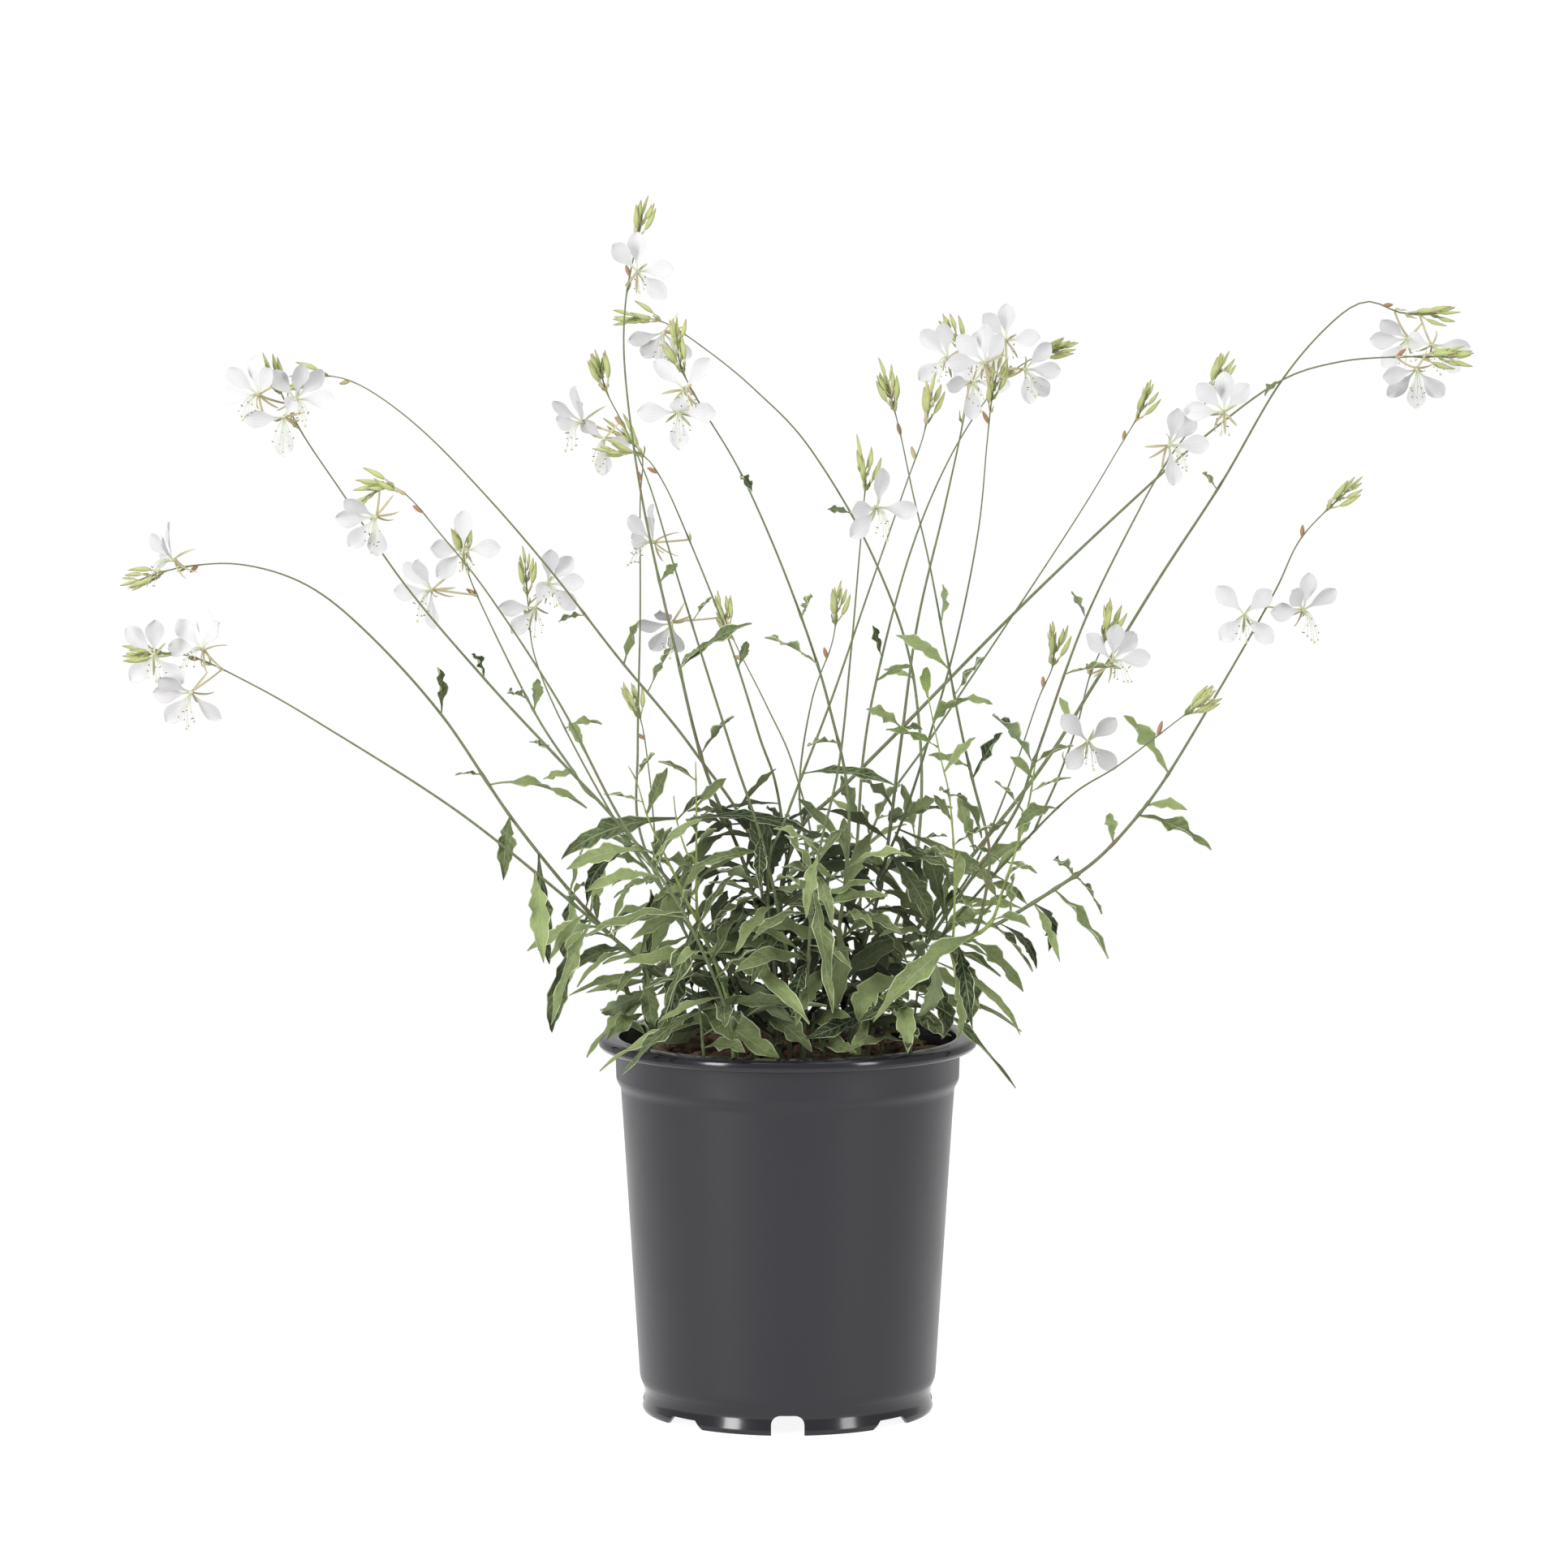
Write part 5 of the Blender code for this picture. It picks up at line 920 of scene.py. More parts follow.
def least_twist(corners, ring):
    """How far to turn a ring's order so that its points lie nearest the corners."""
    def twist(turn):
        return sum((ring[(k + turn) % 3] - corners[k]).length_squared for k in range(3))
    return min(range(3), key=twist)


def inner_radius(height):
    """The radius of the pot's inside at a height."""
    share = (height - FLOOR_TOP) / (POT_HEIGHT - FLOOR_TOP)
    return HEEL_RADIUS - WALL + share * (NECK_RADIUS - HEEL_RADIUS)


def soil_height(x, y):
    """The uneven top of the soil."""
    waves = math.sin(x * 95 + 1.3) * math.cos(y * 120) + 0.6 * math.sin(x * 240 - y * 180 + 0.5)
    return SOIL_TOP + SOIL_WAVE * waves


def hang_leaves(limbs, ground):
    """Wide leaves from the nearest stem of each, in front of the thicket."""
    stems = [limb for limb in limbs.values() if limb.name not in BASAL_SHOOTS]
    for first, middle, last, (near, far), width, upper in HANGING_LEAVES:
        wished = seen(*first, -near)

        def miss(choice):
            apart = choice[1] - wished
            return apart.x ** 2 + apart.z ** 2 + (apart.y * DEPTH_SHARE) ** 2
        limb, _, reach = min(((limb, point, reach) for limb in stems
                              for point, reach in zip(limb.route.line, limb.route.reach)), key=miss)
        start, tip = limb.route.point(reach), seen(*last, -far)
        control = seen(*middle, -(near + far * 2) / 3) * 2 - (start + tip) / 2
        face = (UP * 0.3 - VIEW_WAY) if upper else VIEW_WAY
        lay = (start, control, tip, face.normalized(), width / 2 * MM)
        ground.add_rings(limb.node, blade(*lay, "large"), tip)
        limb.extra.append(("large", lay))


def add_more_leaves(limb, ground, draw):
    """Leaves between the others near the foot of a main stem, where the plant is thickest."""
    looks = bpy.context.scene.gaura_leaves
    angle = draw.uniform(0, 2 * math.pi)
    reach = limb.first + draw.uniform(2, 10) * MM
    while reach < looks.thicket:
        angle += GOLDEN_ANGLE
        along, across, other = limb.route.frame(reach)
        out = around(across, other, angle)
        length = looks.between * draw.uniform(0.75, 1.3)
        span = (out * 0.9 + along * draw.uniform(0, 0.55)).normalized() * length
        start = limb.route.point(reach) + out * limb.thickness(reach) / 2
        side = span.cross(UP).normalized()
        for turn, rise in LEAF_TURNS[:looks.tries]:
            tip = start + span + (side * turn + UP * rise) * span.length
            control = start.lerp(tip, 0.45) + UP * length * LEAF_ARCH * draw.uniform(0.6, 1.5) + out * LEAF_OUT
            face = (LEAF_FACE + side * draw.uniform(-0.4, 0.4)).normalized()
            lay = (start, control, tip, face, length * draw.uniform(0.085, 0.13))
            rings = blade(*lay, "middle")
            if ground.clear(limb.node, rings, tip):
                ground.add_rings(limb.node, rings, tip)
                limb.extra.append(("middle", lay))
                break
        reach += looks.between_step * draw.uniform(0.7, 1.3)


@functools.lru_cache(maxsize=None)
def planned():
    """Every stem, bloom, bud and leaf of the solids, laid out again in the same order, then the leaves between."""
    draw = random.Random(SEED)
    ground = Ground()
    for name in ("pot", "soil"):
        mesh = frame["nodes"][name].data
        points = [vert.co.copy() for vert in mesh.vertices]
        ground.add(name, points, [list(face.vertices) for face in mesh.polygons])
    limbs = grow_limbs(ground)
    blooms = set_blooms(limbs, ground)
    for limb in limbs.values():
        if limb.name not in LEAFY_SHOOTS and limb.name not in BASAL_SHOOTS:
            set_buds(limb, ground)
    set_large_leaves(limbs, ground)
    set_basal_leaves(limbs, ground)
    for limb in limbs.values():
        set_small_leaves(limb, ground, draw)
    hang_leaves(limbs, ground)
    for limb in limbs.values():
        if limb.name == limb.node and limb.name not in BASAL_SHOOTS:
            add_more_leaves(limb, ground, draw)
    return limbs, blooms


# Shader maths.


def operation(name, turned=False):
    """A method that joins two values by a Math node, in this order or turned round."""
    def join(self, other):
        return self.maths(name, *((other, self) if turned else (self, other)))
    return join


class Wire:
    """A shader socket that maths can be written with."""

    def __init__(self, maker, socket):
        self.maker, self.socket = maker, socket

    def maths(self, name, *values):
        return self.maker.node("ShaderNodeMath", {"operation": name}, values)

    __add__ = __radd__ = operation("ADD")
    __sub__, __rsub__ = operation("SUBTRACT"), operation("SUBTRACT", True)
    __mul__ = __rmul__ = operation("MULTIPLY")
    __pow__ = operation("POWER")
    least = operation("MINIMUM")

    def size(self):
        return self.maths("ABSOLUTE", self)

    def wave(self):
        return self.maths("SINE", self)

    def ramp(self, low, high):
        """0 below low, 1 above high, smooth between them."""
        settings = {"interpolation_type": "SMOOTHSTEP", "clamp": True}
        return self.maker.node("ShaderNodeMapRange", settings, {0: self, 1: low, 2: high})


class Nodes:
    """A node tree under construction, and the node that ends it."""

    def __init__(self, owner, end):
        owner.use_nodes = True
        self.tree = owner.node_tree
        self.surface = self.tree.nodes[end]

    def node(self, kind, settings, inputs, output=0):
        """A node with its settings, then the values or links of its sockets, read at one of its outputs."""
        made = self.tree.nodes.new(kind)
        for key, value in settings.items():
            setattr(made, key, value)
        for key, value in (inputs.items() if isinstance(inputs, dict) else enumerate(inputs)):
            socket = made.inputs[key]
            if isinstance(value, Wire):
                self.tree.links.new(value.socket, socket)
            else:
                socket.default_value = value
        return Wire(self, made.outputs[output])

    def set(self, socket, wire):
        self.tree.links.new(wire.socket, self.surface.inputs[socket])

    def light_path(self, output):
        return self.node("ShaderNodeLightPath", {}, {}, output)


class Finish(Nodes):
    """A material under construction, with the Principled shader as its surface."""

    def __init__(self, name, constants):
        self.material = bpy.data.materials.new(name)
        super().__init__(self.material, "Principled BSDF")
        for socket, value in constants.items():
            self.surface.inputs[socket].default_value = value

    def place(self):
        return self.node("ShaderNodeTexCoord", {}, {}, "Object")

    def attribute(self, name, output):
        return self.node("ShaderNodeAttribute", {"attribute_name": name}, {}, output)

    def guides(self):
        """How far across and along its blade a place is, whether it is underneath, and its blade's own tone."""
        return *self.parts(self.attribute("blade", "Vector")), self.attribute("tone", "Fac")

    def parts(self, vector):
        """The three numbers of a vector."""
        split = self.node("ShaderNodeSeparateXYZ", {}, [vector])
        return [Wire(self, output) for output in split.socket.node.outputs]

    def noise(self, size, detail=3.0, roughness=0.5, where=None):
        """Soft noise from 0 to 1 whose lumps are about the given size in metres."""
        return self.node("ShaderNodeTexNoise", {}, {"Vector": where or self.place(), "Scale": 1 / size,
                                                    "Detail": detail, "Roughness": roughness})

    def stretch(self, scale):
        """Object coordinates with each axis scaled."""
        return self.node("ShaderNodeMapping", {}, {"Vector": self.place(), "Scale": scale})

    def mix(self, share, first, second):
        """A colour between two, each a wire or three numbers."""
        first, second = (end if isinstance(end, Wire) else (*end, 1) for end in (first, second))
        inputs = {0: share, 6: first, 7: second}
        return self.node("ShaderNodeMix", {"data_type": "RGBA"}, inputs, 2)

    def inside(self):
        """How far inside the thicket a place is, from 0 to 1: the share of painted shade there."""
        x, y, z = self.parts(self.place())
        return (1 - ((x * x + y * y) ** 0.5).ramp(*PAINTED_SHADE_RADII)) * (1 - z.ramp(*PAINTED_SHADE_HEIGHTS))

    def bump(self, height, depth, strength=1.0):
        """Relief of the given depth in metres."""
        inputs = {"Strength": strength, "Distance": depth, "Height": height}
        self.set("Normal", self.node("ShaderNodeBump", {}, inputs))


def shade(colour, share):
    """A colour made darker or lighter."""
    return tuple(channel * share for channel in colour)


@functools.lru_cache(maxsize=None)
def finish(kind):
    """Each material, made once from its group of settings."""
    group, make = {
        "plastic": ("pot", pot_finish), "soil": ("soil", soil_finish), "chips": ("soil", chip_finish),
        "leaf": ("leaves", leaf_finish), "young_leaf": ("leaves", young_leaf_finish),
        "stem": ("stems", stem_finish), "young_stem": ("stems", young_stem_finish),
        "bud": ("blooms", bud_finish), "petal": ("blooms", petal_finish), "calyx": ("blooms", calyx_finish),
        "stamen": ("blooms", stamen_finish), "stigma": ("blooms", stigma_finish),
        "anther": ("blooms", anther_finish), "floor": ("stage", floor_finish)}[kind]
    return make(getattr(bpy.context.scene, "gaura_" + group)).material


def pot_finish(looks):
    made = Finish("pot_plastic_finish", {"IOR": 1.5, "Specular IOR Level": 0.36, "Coat Weight": 0.3,
                                         "Coat Roughness": 0.2})
    flow = made.noise(0.03, 2.0, where=made.stretch((1.0, 1.0, 0.15)))
    grain = made.noise(0.0012, 3.0)
    cloud = made.noise(0.02, 4.0)
    colour = made.mix(flow, shade(looks.colour, 0.86), shade(looks.colour, 1.16))
    scuffs = made.noise(0.006, 6.0, 0.7, made.stretch((1.0, 1.0, 5.0))).ramp(0.62, 0.74) * cloud.ramp(0.5, 0.62)
    made.set("Base Color", made.mix(scuffs * 0.5, colour, looks.scuffs))
    height = made.parts(made.place())[2]
    lip, foot = POT_HEIGHT - LIP_HEIGHT, SKIRT_HEIGHT
    gloss = height.ramp(lip - MM, lip) + 1 - height.ramp(foot - MM, foot + MM)
    satin = looks.roughness + (cloud - 0.5) * 0.12 + scuffs * 0.2 + (grain - 0.5) * 0.06
    made.set("Roughness", satin * (1 - gloss) + (looks.gloss + scuffs * 0.2) * gloss)
    made.bump((flow * 0.5 + grain * 0.12 + cloud * 0.2) * (1 - gloss * 0.8), 0.00025, 0.5)
    return made


def soil_finish(looks):
    made = Finish("soil_finish", {"Specular IOR Level": 0.3})
    crumbs, fine, damp = made.noise(0.0035, 5.0, 0.65), made.noise(0.0008, 3.0), made.noise(0.02, 2.0)
    colour = made.mix(crumbs.ramp(0.35, 0.68), looks.dark, looks.brown)
    colour = made.mix(fine.ramp(0.6, 0.75) * 0.6, colour, looks.fibre)
    made.set("Base Color", made.mix(damp.ramp(0.45, 0.7) * 0.4, colour, looks.dark))
    made.set("Roughness", 0.95 - damp.ramp(0.45, 0.7) * 0.25)
    made.bump(crumbs + fine * 0.5, 0.0012, 0.9)
    return made


def chip_finish(looks):
    made = Finish("bark_finish", {"Roughness": 0.85, "Specular IOR Level": 0.3})
    tone = made.attribute("tone", "Fac")
    grain = made.noise(0.0006, 4.0, 0.6, made.stretch((1.0, 3.0, 1.0)))
    colour = made.mix(tone, looks.brown, looks.fibre)
    made.set("Base Color", made.mix(grain.ramp(0.4, 0.7) * 0.6, colour, looks.dark))
    made.bump(grain, 0.0004, 0.8)
    return made


def leaf_finish(looks, age=""):
    """A leaf: mottled blade, pale midrib, side veins and margin, a paler underside, and painted shade deep in the
    thicket.
    """
    top, deep, under, edge = (getattr(looks, age + part) for part in ("top", "deep", "under", "edge"))
    rib = edge if age else looks.rib
    made = Finish(age + "leaf_finish", SATIN)
    across, along, below, tone = made.guides()
    out = across.size()
    mottle = made.noise(0.0035, 4.0, 0.6)
    fine = made.noise(0.0014, 2.0)
    colour = made.mix((tone + mottle * 0.5 - 0.32).least(1.0), deep, top)
    colour = made.mix(fine.ramp(0.35, 0.75) * 0.1, colour, edge)
    veins = ((along * 62 - out * 9).wave() * 0.5 + 0.5) ** 6 * out.ramp(0.06, 0.2) * (1 - out.ramp(0.7, 0.95))
    colour = made.mix(veins * 0.35, colour, rib)
    colour = made.mix(below * 0.75, colour, under)
    middle = 1 - out.ramp(0.03, 0.10)
    colour = made.mix(middle * 0.7, colour, rib)
    margin = (out + (mottle - 0.5) * 0.04).ramp(0.88, 0.95)
    colour = made.mix(margin * 0.95, colour, edge)
    # Painted shade: deep in the thicket the blade is darkened towards a very dark green, standing in for shadow.
    made.set("Base Color", made.mix(made.inside() * 0.9, colour, shade(deep, 0.3)))
    made.set("Roughness", 0.55 + mottle * 0.15 + below * 0.12)
    made.bump(mottle * 0.4 + fine * 0.1 - veins * 0.4 - middle * 0.5, 0.0005, 0.6)
    return made


def young_leaf_finish(looks):
    return leaf_finish(looks, "young_")


def stem_finish(looks, name="stem_finish", colour=None, painted_shade=0.4):
    """A stem: fine ridges along it, here and there a reddish flush, and painted shade deep in the thicket."""
    colour = colour or looks.green
    made = Finish(name, SATIN)
    patches = made.noise(0.03, 2.0)
    ridges = made.noise(0.0006, 3.0, 0.6, made.stretch((1.0, 1.0, 0.12)))
    green = made.mix(ridges.ramp(0.3, 0.7), shade(colour, 0.78), shade(colour, 1.2))
    green = made.mix(patches.ramp(0.55, 0.72) * 0.45, green, looks.flush)
    # Painted shade: deep in the thicket the stem is darkened towards a tenth of its colour, standing in for shadow.
    made.set("Base Color", made.mix(made.inside() * painted_shade, green, shade(colour, 0.1)))
    made.set("Roughness", 0.52 + ridges * 0.2)
    made.bump(ridges, 0.0003, 0.6)
    return made


def young_stem_finish(looks):
    # A young stem gets only a little of the painted shade.
    return stem_finish(looks, "young_stem_finish", looks.young, 0.1)


def bud_finish(looks):
    made = Finish("bud_finish", SATIN)
    about, along, _, tone = made.guides()
    fuzz = made.noise(0.0005, 2.0)
    tint = made.mix(tone.ramp(0.6, 0.85), looks.bud, looks.capsule)
    colour = made.mix(along.ramp(0.55, 1.05) * 0.8, tint, looks.bud_tip)
    seams = (about * 25.13).wave().ramp(0.6, 1.0)
    made.set("Base Color", made.mix(seams * 0.1, colour, shade(looks.bud_tip, 0.8)))
    made.set("Roughness", 0.5 + fuzz * 0.2)
    made.bump(fuzz * 0.3 - seams * 0.4, 0.0001, 0.5)
    return made


def petal_finish(looks):
    made = Finish("petal_finish", {"Specular IOR Level": 0.0})
    across, along, below, tone = made.guides()
    out = across.size()
    fan = ((across * 16).wave() * 0.5 + 0.5) ** 5 * along.ramp(0.1, 0.35) * (1 - along.ramp(0.8, 0.98))
    cloud = made.noise(0.003, 3.0)
    colour = made.mix(fan * 0.35, looks.petal, looks.vein)
    colour = made.mix(cloud.ramp(0.4, 0.8) * 0.25, colour, looks.vein)
    colour = made.mix((1 - along.ramp(0.02, 0.3)) * 0.7, colour, looks.throat)
    colour = made.mix(tone.ramp(0.85, 1.0) * out.ramp(0.2, 1.0) * 0.2, colour, looks.blush)
    made.set("Base Color", colour)
    made.set("Roughness", 0.45 + cloud * 0.2 + below * 0.1)
    made.bump(cloud - fan * 0.3, 0.00008, 0.5)
    return made


def calyx_finish(looks):
    made = Finish("calyx_finish", SATIN)
    _, along, below, tone = made.guides()
    fuzz = made.noise(0.0006, 3.0)
    colour = made.mix((along * 0.7 + tone * 0.5).least(1.0), looks.tube, looks.sepal)
    made.set("Base Color", made.mix(fuzz * 0.25, colour, looks.bud))
    made.set("Roughness", 0.5 + fuzz * 0.2 + below * 0.05)
    made.bump(fuzz, 0.0002, 0.5)
    return made


def stamen_finish(looks):
    made = Finish("stamen_finish", {"Roughness": 0.45, "Specular IOR Level": 0.2})
    made.set("Base Color", made.mix(made.noise(0.002), looks.petal, looks.throat))
    return made


def stigma_finish(looks):
    made = Finish("stigma_finish", {"Roughness": 0.5})
    made.set("Base Color", made.mix(made.noise(0.001), looks.stigma, looks.throat))
    return made


def anther_finish(looks):
    made = Finish("anther_finish", {"Roughness": 0.75})
    powder = made.noise(0.0004, 3.0)
    made.set("Base Color", made.mix(powder, looks.anther, shade(looks.anther, 1.8)))
    made.bump(powder, 0.0002, 0.6)
    return made


def floor_finish(looks):
    made = Finish("floor_finish", {"Roughness": 0.7, "Specular IOR Level": 0.2, "Emission Strength": looks.glow})
    made.material.cycles.emission_sampling = "NONE"
    looked_at = (made.light_path("Is Camera Ray") + made.light_path("Is Glossy Ray")).least(1.0)
    made.set("Emission Color", made.mix(looked_at, BLACK, WHITE))
    made.set("Base Color", made.mix(made.noise(0.8, 1.0), shade(looks.floor, 0.985), looks.floor))
    return made


# Templates: each repeated shape, modelled once at unit size.


def begin(name, add, **shape):
    """Adds a primitive with nothing else selected, and opens it for shaping, all selected."""
    bpy.ops.object.select_all(action="DESELECT")
    add(**shape)
    made = bpy.context.object
    made.name = made.data.name = name
    bpy.ops.object.transform_apply(location=True, rotation=True, scale=True)
    edit("SELECT")
    return made


def edit(action):
    bpy.ops.object.mode_set(mode="EDIT")
    bpy.ops.mesh.select_all(action=action)


def close():
    bpy.ops.object.mode_set(mode="OBJECT")


def mend():
    """Turns all faces outwards and leaves edit mode."""
    bpy.ops.mesh.select_all(action="SELECT")
    bpy.ops.mesh.normals_make_consistent(inside=False)
    close()


def resize(value, centre=(0, 0, 0)):
    bpy.ops.transform.resize(value=value, center_override=centre)


def finish_piece(piece, slot, *nodes):
    """A finished piece rides on the pot and stands for the given solids, which are hidden. Its slot is not used."""
    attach(piece, "root")
    if nodes:
        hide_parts(*nodes)


@functools.lru_cache(maxsize=None)
def sheet_template(across, along):
    """A flat closed blade: across from -1 to 1 on X, along from 0 to 1 on Y, one unit thick."""
    made = begin("sheet_%d_%d" % (across, along), bpy.ops.mesh.primitive_grid_add,
                 x_subdivisions=across, y_subdivisions=along, size=2)
    bpy.ops.transform.translate(value=(0, 1, 0))
    resize((1, 0.5, 1))
    close()
    wall = made.modifiers.new("thickness", "SOLIDIFY")
    wall.thickness, wall.offset = 1, 0
    bpy.ops.object.modifier_apply(modifier=wall.name)
    return kept_template(made)


@functools.lru_cache(maxsize=None)
def thread_template(sides, rings):
    """A closed tube of radius 1 round Z, from 0 to 1."""
    made = begin("thread_%d_%d" % (sides, rings), bpy.ops.mesh.primitive_circle_add,
                 vertices=sides, radius=1, fill_type="NGON")
    for _ in range(rings):
        bpy.ops.mesh.extrude_region_move(TRANSFORM_OT_translate={"value": (0, 0, 1 / rings)})
    mend()
    return kept_template(made)


@functools.lru_cache(maxsize=None)
def pod_template(sides, rings):
    """A round body of radius 1 about Z, from 0 to 1 along it."""
    made = begin("pod_%d_%d" % (sides, rings), bpy.ops.mesh.primitive_uv_sphere_add,
                 segments=sides, ring_count=rings, radius=1)
    bpy.ops.transform.translate(value=(0, 0, 1))
    resize((1, 1, 0.5))
    close()
    return kept_template(made)


@functools.lru_cache(maxsize=None)
def chip_template():
    """A rough lump of bark or peat."""
    made = begin("chip", bpy.ops.mesh.primitive_cube_add, size=2)
    bpy.ops.mesh.subdivide(number_cuts=1, smoothness=0.6)
    bpy.ops.transform.vertex_random(offset=0.28, uniform=0.6, seed=SEED)
    close()
    return kept_template(made)


def kept_template(made):
    """Takes a template out of the scene, and gives its mesh with its corners as an array."""
    mesh = made.data
    bpy.data.objects.remove(made)
    corners = np.empty(len(mesh.vertices) * 3)
    mesh.vertices.foreach_get("co", corners)
    return mesh, corners.reshape(-1, 3)


def copy_of(template, points, blade, tone, kind, smooth=True):
    """A copy of a template with its own mesh, its corners moved and its colour guides set."""
    mesh = template[0].copy()
    mesh.vertices.foreach_set("co", np.ascontiguousarray(points, np.float32).ravel())
    places = mesh.attributes.new("blade", "FLOAT_VECTOR", "POINT")
    places.data.foreach_set("vector", np.ascontiguousarray(blade, np.float32).ravel())
    tones = mesh.attributes.new("tone", "FLOAT", "POINT")
    tones.data.foreach_set("value", np.full(len(points), tone, np.float32))
    mesh.materials.clear()
    mesh.materials.append(finish(kind))
    mesh.shade_flat()
    if smooth:
        mesh.shade_smooth()
        mesh.set_sharp_from_angle(angle=RIM_ANGLE)
    thing = bpy.data.objects.new(kind, mesh)
    bpy.context.scene.collection.objects.link(thing)
    return thing


def joined(things, name, slot, *nodes):
    """Joins copies into one named piece that rides on the pot and stands for the given solids."""
    bpy.ops.object.select_all(action="DESELECT")
    for thing in things:
        thing.select_set(True)
    bpy.context.view_layer.objects.active = things[0]
    if len(things) > 1:
        bpy.ops.object.join()
    piece = bpy.context.view_layer.objects.active
    piece.name = piece.data.name = name
    finish_piece(piece, slot, *nodes)


# Laying the templates along lines.


def unit_rows(rows):
    return rows / np.maximum(np.linalg.norm(rows, axis=1, keepdims=True), 1e-12)


def curve_rows(start, control, tip, share):
    """Points and directions along a bent line at an array of shares."""
    start, control, tip = (np.array(point, float) for point in (start, control, tip))
    t = share[:, None]
    points = (1 - t) ** 2 * start + 2 * t * (1 - t) * control + t ** 2 * tip
    return points, unit_rows((1 - t) * (control - start) + t * (tip - control))


def blade_copy(shape, look, draw, kind, tone):
    """A leaf, petal or sepal bent along its line: cut and waved edges, a folded middle and a little twist."""
    start, control, tip, face, half = shape
    template = sheet_template(*look["cells"])
    across, along, level = template[1].T
    points, way = curve_rows(start, control, tip, along)
    face = np.array(face, float)
    normal = unit_rows(face - way * (way @ face)[:, None])
    side = np.cross(normal, way)
    width = np.interp(along, *zip(*look["outline"]))
    edge, right = np.abs(across), across > 0
    phase = np.where(right, draw.uniform(0, 1), draw.uniform(0, 1))
    row = np.rint(along * look["cells"][1]).astype(int) + np.where(right, draw.randrange(3), draw.randrange(3))
    depth = look["cut"] * np.array([draw.uniform(0.6, 1.3) for _ in range(len(along))])[row]
    notch = depth * np.array(TOOTH)[row % 3] * np.minimum(width * 1.4, 1)
    reach = half * width * (1 - notch * edge ** 3)
    wave = np.sin(2 * math.pi * (along * look["waves"] + phase)) * look["ruffle"] * draw.uniform(0.6, 1.3)
    fold = look["fold"] * draw.uniform(0.4, 1.3)
    lift = half * width * (edge * fold + edge ** 2 * wave) - half * look["dip"] * along * (1 - edge)
    turn = look["twist"] * draw.uniform(-1, 1) * along
    cosine, sine = np.cos(turn)[:, None], np.sin(turn)[:, None]
    side, normal = side * cosine + normal * sine, normal * cosine - side * sine
    thin = look["thick"] * (1 - 0.5 * edge)
    points = points + side * (across * reach)[:, None] + normal * (lift + level * thin)[:, None]
    blade = np.stack([across, along, (level < 0).astype(float)], axis=1)
    return copy_of(template, points, blade, tone, kind)


def round_guide(x, y, z):
    """The colour guides of a round body: its share of a turn, and its share of the length."""
    return np.stack([np.arctan2(y, x) / (2 * math.pi), z, z * 0], axis=1)


def thread_copy(centres, sides, others, radii, kind, tone, count=8):
    """A tube whose rings stand round the given centres."""
    rings = len(centres) - 1
    template = thread_template(count, rings)
    x, y, z = template[1].T
    row = np.rint(z * rings).astype(int)
    points = centres[row] + (sides[row] * x[:, None] + others[row] * y[:, None]) * radii[row][:, None]
    return copy_of(template, points, round_guide(x, y, z), tone, kind)


def bent_thread(start, control, tip, first, last, kind, tone, rings=8, count=6):
    """A thin tube along a bent line, its radius changing from first to last."""
    share = np.linspace(0, 1, rings + 1)
    centres, way = curve_rows(start, control, tip, share)
    side = unit_rows(np.cross(way, np.array(Vector(way[0]).orthogonal())))
    return thread_copy(centres, side, np.cross(way, side), first + (last - first) * share, kind, tone, count)


def pod_copy(start, way, length, radius, profile, kind, tone, turn=Vector(), sides=8, rings=8):
    """A bud, capsule or anther: a body turned round its own line, which bends by a share of its length."""
    template = pod_template(sides, rings)
    x, y, z = template[1].T
    round_way = np.maximum(np.hypot(x, y), 1e-9)
    way = Vector(way)
    centres, run = curve_rows(start, start + way * length / 2, start + (way + turn) * length, z)
    side = unit_rows(np.cross(run, np.array(way.orthogonal())))
    other = np.cross(run, side)
    width = np.interp(z, *zip(*profile)) * radius * (np.hypot(x, y) > 1e-6)
    points = centres + (side * (x / round_way)[:, None] + other * (y / round_way)[:, None]) * width[:, None]
    return copy_of(template, points, round_guide(x, y, z), tone, kind)


# Pieces.


def leaf_looks():
    size = bpy.context.scene.gaura_leaves
    shared = {"fold": 0.32, "dip": 0.1, "twist": 0.5, "waves": 2.5, "thick": size.thickness,
              "cut": size.tooth_depth, "ruffle": size.ruffle}
    return {
        "large": dict(shared, cells=(4, 15), outline=[
            (0, 0.10), (0.10, 0.14), (0.2, 0.34), (0.34, 0.72), (0.48, 0.97), (0.58, 1.0), (0.7, 0.84),
            (0.82, 0.54), (0.92, 0.26), (1, 0.03)]),
        "middle": dict(shared, cells=(4, 10), outline=[
            (0, 0.12), (0.13, 0.17), (0.28, 0.62), (0.45, 0.97), (0.58, 1.0), (0.74, 0.8), (0.88, 0.42),
            (1, 0.03)]),
        "small": dict(shared, cells=(2, 7), cut=size.tooth_depth * 0.4, outline=[
            (0, 0.14), (0.16, 0.3), (0.35, 0.85), (0.55, 1.0), (0.78, 0.62), (1, 0.04)]),
        "bract": dict(shared, cells=(2, 4), outline=[(0, 0.7), (0.3, 1.0), (0.6, 0.75), (1, 0.05)]),
    }


